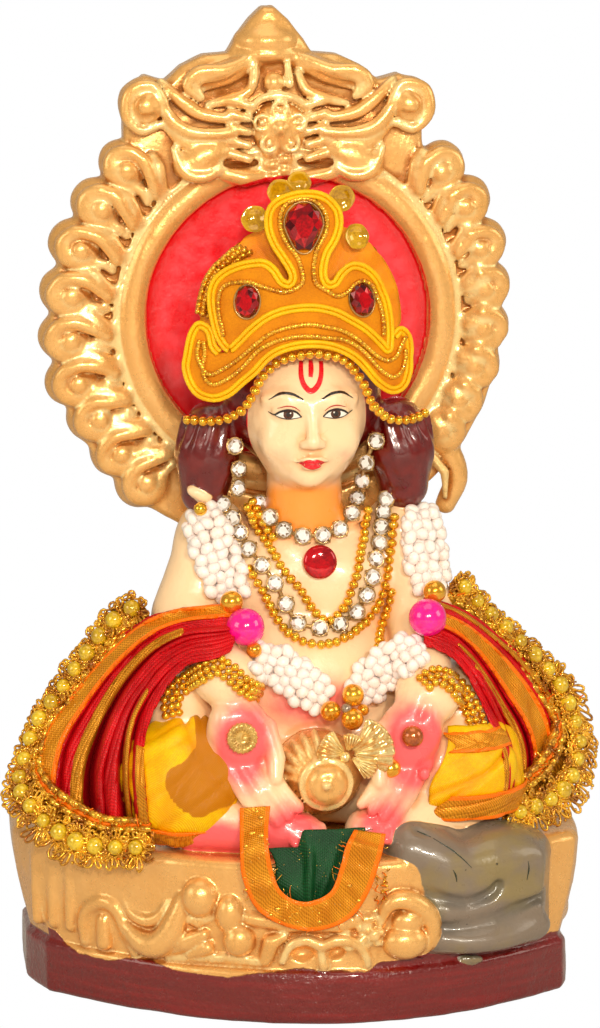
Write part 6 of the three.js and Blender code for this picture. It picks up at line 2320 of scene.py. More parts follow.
@dataclass
class Garlands(Worn):
    """Woven clusters of white seed beads, and the gold and clear pieces where they meet."""

    runs: tuple[tuple[str, tuple[Mark, ...], float, float], ...] = (
        ("shoulder_left", ((200, 512), (209, 535), (219, 562), (231, 594)), 23.0, -4.0),
        ("shoulder_right", ((421, 510), (424, 538), (428, 563), (430, 588)), 21.0, -4.0),
        ("chest_left", ((256, 658), (282, 669), (307, 687), (325, 700)), 21.0, -16.0),
        ("chest_right", ((419, 647), (392, 662), (372, 680), (360, 693)), 20.0, -16.0),
    )

    def build(self) -> None:
        """Makes the pieces."""
        for name, line, half, back in self.runs:
            self._run(name, line, half, back)
        self._cluster()
        self._petals()

    def _run(self, name: str, line: Sequence[Mark], half: float, back: float) -> None:
        """Makes one woven run.

        Args:
            name: which run.
            line: its middle in the picture.
            half: its half width in pixels.
            back: how deep it may lie.
        """
        chance = np.random.default_rng(len(name) + int(half))
        middle = smooth_line(line, 1.0)
        ahead = np.gradient(middle, axis=0)
        across = np.stack([-ahead[:, 1], ahead[:, 0]], axis=1)
        across /= np.linalg.norm(across, axis=1)[:, None]
        made = Stock()
        pitch = 10.6
        rows = int(len(middle) / pitch) + 1
        for layer, deep in ((0, 1.2), (1, 0.0)):
            for row in range(rows):
                at = min(len(middle) - 1, int(row * pitch + (pitch / 2 if layer else 0)))
                end = 1 - 0.22 * (abs(2 * row / max(1, rows - 1) - 1)) ** 3
                wide = half * end
                count = max(2, round(2 * wide / 10.4))
                for k in range(count):
                    shift = (k + 0.5) / count * 2 - 1
                    shift += 0.3 / count * (1 if row % 2 else -1)
                    p = middle[at] + across[at] * wide * shift + chance.normal(0, 0.9, 2)
                    lift = 2.1 - deep - 0.7 * shift**2 + chance.uniform(-0.2, 0.2)
                    centre = self.near(*p, back=back, lift=lift)
                    tilt = (0.9 if (k + row) % 2 else -0.9) + chance.normal(0, 0.25)
                    axis = np.array((math.cos(tilt), chance.normal(0, 0.3), math.sin(tilt)))
                    made.bead(centre, (1.06, 1.06, 1.3), 12, 0, axis)
                    pin = centre + axis / np.linalg.norm(axis) * 1.2
                    made.tube(np.array([centre, pin]), 0.22, 5)
        for side in (0, 1):
            if name == "shoulder_left" and side == 0:
                made.bead(self.near(200.5, 509, -5, 2.4), 1.15, 16, 1)
        made.piece(
            f"white_{name}", [Gloss.WHITE_BEAD.material(), Gloss.GOLD_BEAD.material()], "white_beads", [f"garland_{name}"]
        )

    def _cluster(self) -> None:
        """Makes the cluster of three gold pearls round a small dark bead that paints the shade in the gap between them.
        """
        made = Stock()
        # The small bead in shaded crystal is painted shade in the gap between the pearls
        for across, down, back, radius, kind in (
            (353, 695, -21.5, 1.85, 0), (330.5, 711, -21.5, 1.7, 0), (352.5, 719, -22.5, 1.85, 0), (346.5, 708.5, -22.4, 0.85, 1),
            (363, 710, -20.5, 1.0, 0),
        ):
            made.bead(SHOT.at_depth(across, down, back), radius, 26, kind, (0.4, -0.5, 0.7))
        made.piece("cluster_pearls", [Gloss.GOLD_PEARL.material(), Gloss.CRYSTAL_SHADED.material()], "gold_beads", ["gold_bead_cluster"])
        pearl = Stock()
        pearl.bead(SHOT.at_depth(390, 769, -24.6), 1.92, 26, 0, (0.5, -0.4, 0.6))
        pearl.piece("bow_pearl", [Gloss.GOLD_PEARL.material()], "brown_gold_pearl", ["gold_pearl_bow"])

    def _petals(self) -> None:
        """Makes the clear ribbed petals."""
        made = Stock()
        for root, tip, spread, length, back in (
            ((351, 753), (390, 740), 0.86, 7.0, -25.6),
            ((347, 752), (354, 730), 0.5, 3.6, -25.6),
            ((346, 754), (318, 742), 0.62, 5.2, -25.4),
            ((351, 757), (370, 768), 0.5, 4.4, -26.4),
        ):
            a, b = SHOT.at_depth(*root, back), SHOT.at_depth(*tip, back - 0.8)
            ahead = (b - a) / np.linalg.norm(b - a)
            side = np.cross(ahead, (0, -1.0, 0))
            t = np.linspace(0.08, 1, 16)[:, None]
            u = np.linspace(-1, 1, 33)[None, :]
            angle = u * spread
            reach = t * length * (1 - 0.10 * np.abs(u) ** 3)
            ribs = 0.42 * np.abs(np.sin(u * np.pi * 3.0)) * np.sqrt(t)
            cup = 2.2 * np.sin(0.75 * np.pi * t) * (1 - 0.55 * u**2)
            grid = (
                a
                + (reach * np.cos(angle))[..., None] * ahead
                + (reach * np.sin(angle))[..., None] * side
                + (cup - ribs * 1.6)[..., None] * np.array((0, -1.0, 0))
            )
            made.cloth(grid, 0.16)
        made.bead(SHOT.at_depth(345, 757, -26.2), 0.9, 14)
        made.piece("clear_petals", [Gloss.PETAL.material()], "clear_gold_petal", ["tinsel_bow"])


@dataclass
class KneeCloths(Worn):
    """The yellow satin over the knees, with its strips and hems of gold tissue."""

    figure: Figure = field(default_factory=Figure)

    def build(self) -> None:
        """Makes both cloths."""
        f = self.figure
        # Each patch's crease depth is painted on the satin and tissue as shade in the creases
        finishes = [YELLOW_SATIN.material(), TISSUE.material()]
        left = Stock()
        grid, fold = self._patch(f.knee_left, (-186, -54), (70, -40), 3)
        u, v = np.meshgrid(np.linspace(0, 1, grid.shape[0]), np.linspace(0, 1, grid.shape[1]), indexing="ij")
        x, _, z = np.moveaxis(grid, 2, 0)
        # Mustard painted shade over the knee's lower part, and a narrow mustard strip above it
        ragged = 0.25 * np.sin(9 * u + 4 * v) + 0.15 * np.sin(23 * v - 11 * u)
        low = np.clip((1 + ragged - ((x + 16.6) / 6.4) ** 2 - ((z - 39.6) / 6.0) ** 2) / 0.2, 0, 1)
        strip = np.clip((1 - ((x + 16.6) / 1.7) ** 2) / 0.3, 0, 1) * np.clip((z - 40) / 2, 0, 1)
        left.cloth(grid, 0.35, 0, tone=fold, rim=np.maximum(low, strip))
        hem, fold = self._patch(f.knee_left, (-160, -56), (-34, -58), 5, 0.45)
        left.cloth(hem, 0.3, 1, tone=fold * 0.5, rim=self._rim(hem.shape[:2], 0))
        piece = left.piece("yellow_cloth_left", finishes, "yellow_satin", ["knee_cloth_left"])
        self.cut(piece, 26, "draped")
        right = Stock()
        grid, fold = self._patch(f.knee_right, (-112, 12), (54, -16), 7)
        right.cloth(grid, 0.35, 0, tone=fold)
        for low, high, turn, seed in ((-4, -26, (-108, 4), 8), (47, 30, (-104, -34), 11)):
            ribbon, fold = self._patch(f.knee_right, turn, (low, high), seed, 0.5)
            right.cloth(ribbon, 0.3, 1, tone=fold * 0.5, rim=self._rim(ribbon.shape[:2], 0))
        piece = right.piece("yellow_cloth_right", finishes, "yellow_satin", ["knee_cloth_right"])
        self.cut(piece, 26, "draped")

    def _patch(self, knee: Point, azimuth: tuple[float, float], elevation: tuple[float, float], seed: int, lift: float = 0.0) -> tuple[Array, Array]:
        """Returns a creased patch laid round a knee, and the depth of its creases."""
        rows, across = 34, 52
        el = np.radians(np.linspace(*elevation, rows))[:, None]
        chance = np.random.default_rng(seed)
        u = np.linspace(0, 1, rows)[:, None]
        v = np.linspace(0, 1, across)[None, :]
        # The side edges waver
        az = np.radians(azimuth[0] + (azimuth[1] - azimuth[0]) * v + 7 * np.sin(4.6 * u + seed) * (1 - v))
        crease = np.zeros((rows, across))
        for _ in range(8):
            slant, at, wide = chance.uniform(-1.3, 0.7), chance.uniform(0, 1.3), chance.uniform(0.02, 0.075)
            crease += chance.uniform(0.3, 0.8) * np.exp(-(((v - at - slant * (u - 0.3)) / wide) ** 2))
        wave = 0.25 * np.sin(9 * u + 5 * v + seed) + 0.18 * np.sin(17 * v - 6 * u)
        # A ribbon on the satin lies calmer than the satin
        calm = 0.4 if lift else 1.0
        reach = self.figure.knee + 1.3 + lift + calm * (0.9 * wave - 0.7 * np.clip(crease, 0, 1.3))
        x = knee[0] + reach * np.cos(el) * np.cos(az)
        y = knee[1] + reach * np.cos(el) * np.sin(az)
        z = knee[2] + reach * np.sin(el)
        return np.stack([x, y, z + 0 * x], axis=-1), np.clip(crease, 0, 1)

    @staticmethod
    def _rim(shape: tuple[int, int], axis: int) -> Array:
        """Returns how near each point is to the long edges of a ribbon."""
        t = np.abs(np.linspace(-1, 1, shape[axis]))
        rim = np.clip((t - 0.62) / 0.2, 0, 1)
        return rim[:, None] * np.ones(shape) if axis == 0 else rim[None, :] * np.ones(shape)


@dataclass
class Apron(Worn):
    """The dark green glitter cloth in the lap, framed by a looped tissue ribbon."""

    @staticmethod
    def seat_front(x: Array | float) -> Array | float:
        """Returns y of the seat's bowed front at each x."""
        return -31.3 + 0.0102 * (x - 6) ** 2

    def build(self) -> None:
        """Makes the cloth and the ribbon."""
        rows, across = 40, 46
        u = np.linspace(0, 1, across)[None, :]
        v = np.linspace(0, 1, rows)[:, None]
        x = -7.2 + 2.6 * v + (15.8 - 6.6 * v**1.5) * u + 0.4 * np.sin(7 * v) * (1 - u)
        fold = 1.3 * np.exp(-(((u - 0.37 - 0.04 * v) / 0.04) ** 2)) + 0.6 * np.exp(-(((u - 0.72 + 0.2 * v) / 0.05) ** 2))
        wave = 0.45 * np.sin(8 * u + 4 * v) + 0.3 * np.sin(15 * u - 7 * v)
        hung = self.seat_front(x) - 0.9
        y = -29.6 + (hung + 29.6) * np.minimum(1, 1.6 * v) - 0.9 * fold * np.minimum(1, 2 * v) + 0.4 * wave
        top = 32.4 - 2.9 * np.clip((0.36 - u) / 0.05, 0, 1)
        z = top + (20.6 - top) * v - 1.6 * np.sin(np.pi * u) * v + 0.5 * wave * v
        made = Stock()
        # Painted shade on the cloth, lifted along its folds
        made.cloth(np.stack([x + 0 * y, y, z], axis=-1), 0.4, tone=np.clip(0.6 - fold, 0, 1) * 0.6)
        chance = np.random.default_rng(31)
        for edge in (0, across - 1):
            for k in range(26):
                r = int(chance.uniform(0, rows))
                p = np.array((x[r, edge] if x.shape[0] == rows else x[0, edge], y[r, edge], z[r, edge]))
                out = -1 if edge == 0 else 1
                tip = p + (out * chance.uniform(0.8, 2.2), chance.uniform(-0.8, 0.6), chance.uniform(-1.2, 0.6))
                made.tube(np.array([p, (p + tip) / 2 + chance.normal(0, 0.2, 3), tip]), 0.07, 4, kind=int(k % 3 == 0))
        piece = made.piece("apron", [GLITTER.material(), Gloss.THREAD.material()], "green_glitter_cloth", ["apron_cloth"])
        self.cut(piece, 19, "hung")
        self._ribbon()

    def _ribbon(self) -> None:
        """Makes the looped ribbon, with its crinkles and loose threads."""
        inner = [(270, 806, -30), (268, 838, -33), (272, 868, -34), (282, 892, -34.5), (305, 902, -34.6), (330, 892, -34.4), (340, 868, -33.8), (346, 846, -32.4), (354, 830, -30.6)]
        outer = [(240, 808, -30), (240, 842, -33), (243, 880, -34.2), (262, 914, -35), (306, 931, -35.2), (346, 921, -35), (368, 894, -34.4), (380, 860, -32.8), (386, 834, -31)]
        a, b = self._rested(even_line(inner, 110), 2.0), self._rested(even_line(outer, 110), 1.5)
        chance = np.random.default_rng(41)
        v = np.linspace(0, 1, 15)[None, :]
        u = np.linspace(0, 1, 110)[:, None]
        flat = a[:, None] * (1 - v[..., None]) + b[:, None] * v[..., None]
        crinkle = 0.55 * np.sin(70 * u + 3 * np.sin(9 * u)) * np.sin(np.pi * v) + 0.35 * np.sin(43 * u + 6 * v)
        crinkle += 0.5 * np.sin(np.pi * v) * np.exp(-(((u - 0.48) / 0.16) ** 2)) * np.sin(120 * u)
        grid = np.array([[SHOT.at_depth(px, py, y - 0.6 + 0.4 * c) for (px, py, y), c in zip(line, row)] for line, row in zip(flat, crinkle)])
        rim = KneeCloths._rim((110, 15), 1)
        made = Stock()
        # Painted shade that follows the crinkles
        made.cloth(grid, 0.22, 0, rim=rim, tone=np.clip(-crinkle, 0, 1))
        for k in range(26):
            r = int(chance.uniform(30, 108))
            edge = 0 if chance.random() < 0.45 else 14
            p = grid[r, edge]
            out = grid[r, edge] - grid[r, 7]
            out = out / np.linalg.norm(out)
            tip = p + out * chance.uniform(0.5, 1.7) + chance.normal(0, 0.35, 3)
            made.tube(np.array([p, (p + tip) / 2 + chance.normal(0, 0.15, 3), tip]), 0.06, 4, kind=1 + k % 2)
        # Frayed ends beside its right arm
        for _ in range(30):
            p = SHOT.at_depth(chance.uniform(374, 388), chance.uniform(868, 906), -31.6)
            q = p + chance.normal(0, 0.55, 3)
            made.tube(np.array([p, (p + q) / 2 + chance.normal(0, 0.25, 3), q]), 0.13, 5, kind=(1, 1, 1, 2)[int(chance.integers(0, 4))])
        # Foil flecks that face the flash
        spots = [(256, 812), (261, 818), (252, 834), (246, 846), (262, 836), (272, 914), (278, 908), (320, 922), (358, 901), (350, 886)]
        spots += [(chance.uniform(244, 270), chance.uniform(830, 890)) for _ in range(8)]
        spots += [(chance.uniform(276, 350), chance.uniform(906, 924)) for _ in range(10)]
        for number, spot in enumerate(spots):
            size = chance.uniform(0.4, 0.6) if number < 10 else chance.uniform(0.2, 0.35)
            away = np.hypot(flat[..., 0] - spot[0], flat[..., 1] - spot[1])
            at = grid[np.unravel_index(np.argmin(away), away.shape)] - SHOT.axes()[2] * 0.25
            made.bead(at, (size, size * 0.7, 0.16), 8, 1, (-0.1, -0.95, 0.3))
        piece = made.piece(
            "apron_band", [TISSUE.material(), Gloss.THREAD.material(), ORANGE_THREAD.material(), RED_SATIN.material()],
            "tissue_ribbon", ["apron_ribbon"],
        )
        self.cut(piece, 10, "hung")

    def _rested(self, line: Array, off: float) -> Array:
        """Returns an edge of the ribbon that hangs at the seat's front, with its ends on the lap."""
        found = np.array([self.casting.under(px, py) for px, py, _ in line])
        hung = np.minimum(self.seat_front(found[:, 0]) - off, found[:, 1] - 0.4)
        along = np.linspace(0, 1, len(line))
        end = np.clip(1.4 - np.minimum(along / 0.11, (1 - along) / 0.04), 0, 1)
        depth = hung * (1 - end) + found[:, 1] * end
        for _ in range(2):
            mean = np.convolve(np.pad(depth, 6, mode="edge"), np.ones(13) / 13, "valid")
            depth = np.minimum(depth, mean)
        rested = line.copy()
        rested[:, 2] = depth
        return rested


@dataclass
class Shawls(Worn):
    """The gathered red satin with its tissue ribbons, fanning out from each pink pearl."""

    # Guide lines from the pearl to the foot: across, down and y; the first lies at the back
    left: tuple[tuple[Mark, ...], ...] = (
        ((238, 604, -15), (205, 606, -13), (173, 610, -11), (146, 619, -9), (120, 638, -6.5), (96, 662, -4.5), (72, 692, -3), (48, 728, -2.5), (38, 772, -4)),
        ((240, 628, -17), (212, 629, -16.5), (184, 633, -15.5), (156, 646, -13.5), (130, 668, -11.5), (104, 702, -9.5), (82, 730, -8.5), (62, 756, -8), (48, 788, -8)),
        ((235, 636, -16.8), (212, 643, -18), (186, 648, -17), (160, 657, -15.4), (138, 677, -14), (112, 710, -12.4), (94, 740, -12), (80, 770, -12), (70, 804, -12.4)),
        ((234, 642, -17.2), (216, 650, -19), (190, 655, -18.7), (166, 664, -18), (146, 685, -16.8), (122, 716, -15.6), (107, 746, -15.2), (97, 780, -15.4), (92, 816, -16)),
        ((232, 647, -17.6), (216, 655, -19.8), (191, 660, -19.8), (171, 670, -19.4), (151, 691, -18.8), (132, 722, -18.2), (124, 752, -18.2), (120, 784, -18.6), (118, 822, -19)),
        ((230, 651, -17.8), (214, 658, -20.5), (192, 663, -20.8), (177, 674, -21), (163, 693, -20.8), (149, 722, -20.8), (144, 752, -20.8), (145, 784, -21), (152, 824, -21.6)),
    )
    right: tuple[tuple[Mark, ...], ...] = (
        ((424, 598, -15), (446, 603, -12.5), (470, 614, -10), (493, 631, -7.5), (518, 653, -5.5), (543, 682, -4), (562, 710, -3), (570, 738, -3), (568, 772, -3.5)),
        ((424, 612, -16.5), (447, 616, -14.5), (466, 624, -13), (486, 639, -11), (506, 660, -9), (524, 688, -7.5), (540, 714, -6.8), (549, 742, -6.6), (551, 776, -7)),
        ((424, 632, -17.6), (441, 633, -16.6), (458, 639, -15.4), (476, 653, -13.6), (492, 674, -12), (508, 702, -10.8), (522, 728, -10.4), (530, 754, -10.4), (531, 788, -10.8)),
        ((424, 640, -18.4), (440, 644, -18), (456, 652, -17.2), (471, 666, -16), (486, 688, -14.8), (499, 714, -14), (512, 740, -13.8), (518, 768, -13.8), (516, 800, -14.2)),
        ((424, 645, -19), (439, 650, -19.2), (453, 658, -18.9), (466, 673, -18.2), (478, 695, -17.4), (489, 720, -16.8), (500, 744, -16.6), (504, 770, -16.6), (500, 806, -17)),
    )

    def build(self) -> None:
        """Makes both shawls."""
        strips = ((0.02, 0.205, 1, 0.0), (0.35, 0.45, 2, 0.22), (0.80, 0.83, 2, 0.42), (0.91, 0.98, 2, 0.66))
        folds = ((0.27, 0.020, 1.6), (0.515, 0.046, 6.0), (0.66, 0.016, 1.0), (0.765, 0.026, 3.4), (0.875, 0.024, 3.6))
        self._one("left", self.left, strips, folds, 1)
        strips = ((0.05, 0.09, 2, 0.0), (0.23, 0.50, 1, 0.0), (0.67, 0.70, 2, 0.18), (0.725, 0.745, 2, 0.3), (0.95, 1.01, 2, 0.6))
        folds = ((0.14, 0.024, 2.6), (0.58, 0.036, 4.2), (0.71, 0.010, 1.4), (0.79, 0.026, 3.0), (0.91, 0.018, 1.6))
        self._one("right", self.right, strips, folds, 2)

    def _one(
        self,
        name: str,
        lines: Sequence[Sequence[Mark]],
        strips: Sequence[tuple[float, float, int, float]],
        folds: Sequence[tuple[float, float, float]],
        seed: int,
    ) -> None:
        """Makes one shawl.

        Args:
            name: its side.
            lines: its guide lines.
            strips: the ribbons on it: the two edges across it, the finish, and where it starts along it.
            folds: where each fold lies across it, its width and its depth.
            seed: its unevenness.
        """
        rows, across = 110, 150
        flat = span_grid(lines, rows, across)
        v = np.linspace(0, 1, across)[None, :]
        u = np.linspace(0, 1, rows)[:, None]
        # Where each point lies across the cloth once its ribbons wander
        wander = v + 0.012 * np.sin(7 * u + 11 * v + seed) + 0.022 * u * np.sin(5 * u + 2.3 * seed + 6 * v)
        kinds = np.zeros((rows, across), int)
        rim = np.zeros((rows, across))
        ribbon = np.zeros((rows, across))
        for low, high, kind, start in strips:
            inside = (wander >= low) & (wander <= high) & (u >= start)
            kinds = np.where(inside, kind, kinds)
            t = np.abs(2 * (wander - low) / (high - low) - 1)
            rim = np.where(inside & (kind == 1), np.clip((t - 0.6) / 0.2, 0, 1), rim)
            ribbon = np.where(inside, 1.0 if kind == 1 else 0.6, ribbon)
        opening = 0.30 + 0.9 * np.clip(u * 1.3, 0, 1)
        depth = np.zeros((rows, across))
        for place, wide, deep in folds:
            drift = place + 0.018 * np.sin(4 * u + 30 * place)
            depth += deep * opening * np.exp(-(((wander - drift) / (wide * (0.5 + 0.7 * u))) ** 2))
        depth += 0.7 * opening * np.sin(np.pi * (4.1 * v + 0.4 * np.sin(2.6 * u + 5 * v))) ** 2 * (1 - ribbon)
        minor = 0.3 * (1 - np.abs(np.sin(np.pi * (11.3 * v + 1.6 * np.sin(3 * u + 7 * v))))) * (1 - ribbon)
        fine = 0.10 * np.sin(190 * v + 9 * np.sin(6 * u + seed)) * (1 - 0.7 * ribbon)
        slow = 0.5 * np.sin(4 * u + 9 * v + seed) + 0.25 * np.sin(11 * u - 6 * v)
        crimp = 0.35 * ribbon * np.sin(34 * u + 7 * np.sin(5 * v)) * np.sin(9 * v + 3 * u)
        y = flat[..., 2] + depth + minor + fine + slow - 0.7 * ribbon + crimp
        y = y - self._clear(flat, y)
        grid = np.array([[SHOT.at_depth(px, py, d) for (px, py, _), d in zip(line, row)] for line, row in zip(flat, y)])
        made = Stock()
        # Painted shade in the folds, weaker on the ribbons
        tone = np.clip((depth + minor) / 1.4, 0, 2.4) * (1 - 0.6 * ribbon)
        made.cloth(grid, 0.4, kinds[1:, 1:], rim=rim, tone=tone)
        finishes = [RED_SATIN.material(), TISSUE.material(), GOLD_TISSUE.material(), ORANGE_THREAD.material()]
        for low, high, kind, _ in strips:
            for at in (low, high) if kind == 1 else ():
                line = []
                for k in range(2, rows, 2):
                    line.append(grid[k, np.argmin(np.abs(wander[k] - at))] + (0, -0.35, 0))
                made.tube(smooth_line(line, 0.3), 0.26, 6, False, 2, 0.9, 0.3, kind=3)
        piece = made.piece(f"shawl_{name}_cloth", finishes, "red_satin", [f"shawl_{name}"])
        self.cut(piece, 34, "gathered")

    def _clear(self, flat: Array, y: Array, gap: float = 0.9) -> Array:
        """Returns how far each point must come forward to stay clear of the casting."""
        push = np.zeros(y.shape)
        for i, line in enumerate(flat):
            for j, (px, py, _) in enumerate(line):
                push[i, j] = y[i, j] - (self.casting.under(px, py, 50.0)[1] - gap)
        push = np.clip(push, 0, 9)
        for reach, how in ((5, np.max), (4, np.mean), (4, np.mean)):
            for axis in (0, 1):
                pad = [(0, 0), (0, 0)]
                pad[axis] = (reach, reach)
                windows = np.lib.stride_tricks.sliding_window_view(np.pad(push, pad, mode="edge"), 2 * reach + 1, axis=axis)
                push = how(windows, axis=-1)
        return push


@dataclass
class Laces(Worn):
    """The gold lace at the edge of each shawl: braid, net, beads in loops, spikes and tassels."""

    # Inner and outer edges from the shoulder round to the foot: across, down and y
    left_inner: tuple[Mark, ...] = (
        (152, 622, -6), (124, 640, -5.5), (101, 668, -4.5), (80, 695, -3.6), (58, 716, -3), (46, 740, -3.4), (43, 766, -5),
        (54, 786, -10), (78, 803, -14), (110, 818, -18), (152, 818, -21.6),
    )
    left_outer: tuple[Mark, ...] = (
        (134, 590, -3), (110, 606, -1.5), (87, 637, -0.5), (62, 669, 0), (37, 712, 0), (21, 752, -1), (6, 796, -5),
        (18, 826, -10.5), (44, 852, -14.5), (80, 868, -18.5), (158, 868, -23.6),
    )
    right_inner: tuple[Mark, ...] = (
        (444, 597, -7), (472, 619, -6), (497, 643, -5.6), (518, 670, -5), (536, 697, -4.6), (551, 722, -5), (543, 750, -9.6),
        (524, 773, -14), (499, 788, -18),
    )
    right_outer: tuple[Mark, ...] = (
        (460, 568, -3), (486, 604, -2), (518, 633, -1), (546, 656, 0), (576, 684, 0.4), (587, 716, 0), (592, 762, -3),
        (572, 816, -11), (502, 838, -19.6),
    )

    def build(self) -> None:
        """Makes both laces."""
        self._one("left", self.left_inner, self.left_outer, 3)
        self._one("right", self.right_inner, self.right_outer, 6)

    def _one(self, name: str, inner: Sequence[Mark], outer: Sequence[Mark], seed: int) -> None:
        """Makes one lace.

        Args:
            name: its side.
            inner: its edge on the shawl.
            outer: its free edge.
            seed: its unevenness.
        """
        chance = np.random.default_rng(seed)
        count = 260
        a, b = (even_line([SHOT.at_depth(*p) for p in line], count) for line in (inner, outer))
        run = np.concatenate([[0], np.cumsum(np.linalg.norm(np.diff((a + b) / 2, axis=0), axis=1))])
        made = Stock()

        def at(d: float, s: float, out: float = 0.0) -> Array:
            """Returns a point of the lace: by run, share across it, and lift off it."""
            p, q, o = (np.array([np.interp(min(max(d + e, 0), run[-1]), run, line[:, k]) for k in range(3)]) for line, e in ((a, 0), (b, 0), (a, 0.5)))
            along = o - p + 1e-6
            n = np.cross(along, q - p)
            n /= np.linalg.norm(n) + 1e-9
            if n[1] > 0:
                n = -n
            return p + (q - p) * s + n * out + np.array((0, -0.4 * out, 0))

        # Net under everything, its dark brown partly painted shade between the threads
        v = np.linspace(-0.02, 0.66, 9)
        d = np.linspace(0, run[-1], 130)
        net = np.array([[at(x, s, 0.35 * math.sin(9 * s + 1.3 * x)) for s in v] for x in d])
        made.cloth(net, 0.3, 1)
        # Two braids with an orange thread between them
        for s, radius, pitch, kind in ((0.02, 0.75, 2.2, 0), (0.2, 0.7, 1.9, 0), (0.11, 0.38, 1.1, 2)):
            path = np.array([at(x, s, 0.7 + 0.2 * math.sin(2.3 * x + 9 * s)) for x in np.arange(0, run[-1], 0.32)])
            made.tube(path, radius, 9, False, 3, pitch, 0.42, kind=kind)
        pitch = 3.45
        for number in range(int(run[-1] / pitch)):
            d0 = (number + 0.5) * pitch
            wide = np.linalg.norm(at(d0, 1) - at(d0, 0))
            self._flower(made, at, d0, wide, chance, number)
            self._knot(made, at(d0 + pitch / 2, 0.42, 0.9), 0.75, chance)
            for _ in range(14):
                self._wisp(made, at(d0 + chance.uniform(-1.7, 1.7), chance.uniform(0.0, 0.8), 0.9), 0.9, chance)
            for _ in range(22):
                spot = at(d0 + chance.uniform(-1.8, 1.8), chance.uniform(0.0, 0.98), chance.uniform(0.7, 1.5))
                made.bead(spot, chance.uniform(0.18, 0.34), 6, 0, chance.normal(0, 1, 3))
        # Wire along the scallops
        t = np.arange(0, run[-1], 0.25)
        wire = np.array([at(x, 0.80 + 0.07 * math.cos(2 * math.pi * x / pitch), 0.6) for x in t])
        made.tube(wire, 0.24, 6, False, 2, 0.8, 0.35)
        finishes = [Gloss.LACE.material(), LACE_NET.material(), ORANGE_THREAD.material(), Gloss.DOME.material()]
        made.piece(f"lace_{name}", finishes, "gold_thread", [f"shawl_lace_{name}"])

    def _flower(self, made: Stock, at: Callable[..., Array], d: float, wide: float, chance: np.random.Generator, number: int) -> None:
        """Adds one domed bead with the ring of loops round it and the spikes beyond it."""
        centre = at(d, 0.56, 1.1)
        ahead, out = at(d + 0.5, 0.56, 1.1) - centre, at(d, 0.75, 1.1) - at(d, 0.45, 1.1)
        ahead /= np.linalg.norm(ahead) + 1e-9
        out /= np.linalg.norm(out) + 1e-9
        n = np.cross(ahead, out)
        if n[1] > 0:
            n = -n
        n = n + np.array((0, -0.35, 0.1)) + chance.normal(0, 0.12, 3)
        turn = facing(n)
        size = chance.uniform(1.25, 1.65)
        profile = [(0, -0.5), (0.8, -0.45), (1.0, 0.0), (0.9, 0.42), (0.62, 0.72), (0.3, 0.86), (0, 0.9)]
        made.turned([(r * size, h * size) for r, h in profile], np.hstack([turn, centre[:, None]]), 14, 3)
        t = np.linspace(0, 2 * np.pi, 40, endpoint=False)
        scallop = size * (1.22 + 0.10 * np.cos(8 * t))
        ring = np.stack([scallop * np.cos(t), scallop * np.sin(t), 0.1 + 0.25 * np.sin(8 * t)], axis=1) @ turn.T + centre
        made.tube(ring, 0.25, 6, True, 2, 0.9, 0.3)
        # Loops that spring from the bead towards the free edge
        for k in range(7):
            a = math.radians(-78 + 26 * k) + chance.normal(0, 0.10)
            away = out * math.cos(a) + ahead * math.sin(a)
            root = centre + away * size * 1.1
            reach = max(1.0, 0.46 * wide - 1.1 * size) * (1.0 if abs(k - 3) < 2 else 0.75) * chance.uniform(0.7, 1.1)
            self._loop(made, root, away, n, min(reach, 3.2), chance.uniform(0.4, 0.62), chance)
        for k in range(6):
            a = math.radians(110 + 28 * k) + chance.normal(0, 0.15)
            away = out * math.cos(a) + ahead * math.sin(a)
            self._loop(made, centre + away * size, away, n, chance.uniform(1.0, 1.9), 0.4, chance)

    @staticmethod
    def _loop(made: Stock, root: Array, away: Array, n: Array, reach: float, half: float, chance: np.random.Generator) -> None:
        """Adds one narrow loop of twisted wire."""
        side = np.cross(away, n)
        side /= np.linalg.norm(side) + 1e-9
        t = np.linspace(0, 1, 15)
        bend = chance.normal(0, 0.3)
        lift = chance.uniform(-0.1, 0.7)
        path = (
            root
            + (reach * np.sin(np.pi * t))[:, None] * away
            + (half * np.sin(2 * np.pi * t) + bend * np.sin(np.pi * t) ** 2)[:, None] * side
            + (lift * np.sin(np.pi * t))[:, None] * n / np.linalg.norm(n)
        )
        made.tube(path, 0.26, 6, False, 2, 0.8, 0.3)

    @staticmethod
    def _knot(made: Stock, centre: Array, size: float, chance: np.random.Generator) -> None:
        """Adds a small knot of bright thread."""
        for k in range(3):
            t = np.linspace(0, 2 * np.pi, 16, endpoint=False)
            a, b = np.linalg.qr(chance.normal(0, 1, (3, 3)))[0][:2]
            ring = centre + size * (np.cos(t)[:, None] * a + np.sin(t)[:, None] * b) * chance.uniform(0.7, 1.1)
            made.tube(ring, 0.26, 5, True, 2, 0.8, 0.3)

    @staticmethod
    def _wisp(made: Stock, root: Array, size: float, chance: np.random.Generator) -> None:
        """Adds a curled end of thread."""
        t = np.linspace(0, 1, 9)[:, None]
        a, b = chance.normal(0, size * 0.6, (2, 3))
        a[1] = -abs(a[1]) * 0.6
        path = root + a * t + b * np.sin(t * 4.5) * 0.7
        made.tube(path, 0.15, 4, False, 2, 0.6, 0.3, kind=2 if chance.random() < 0.16 else 0)


# Stage


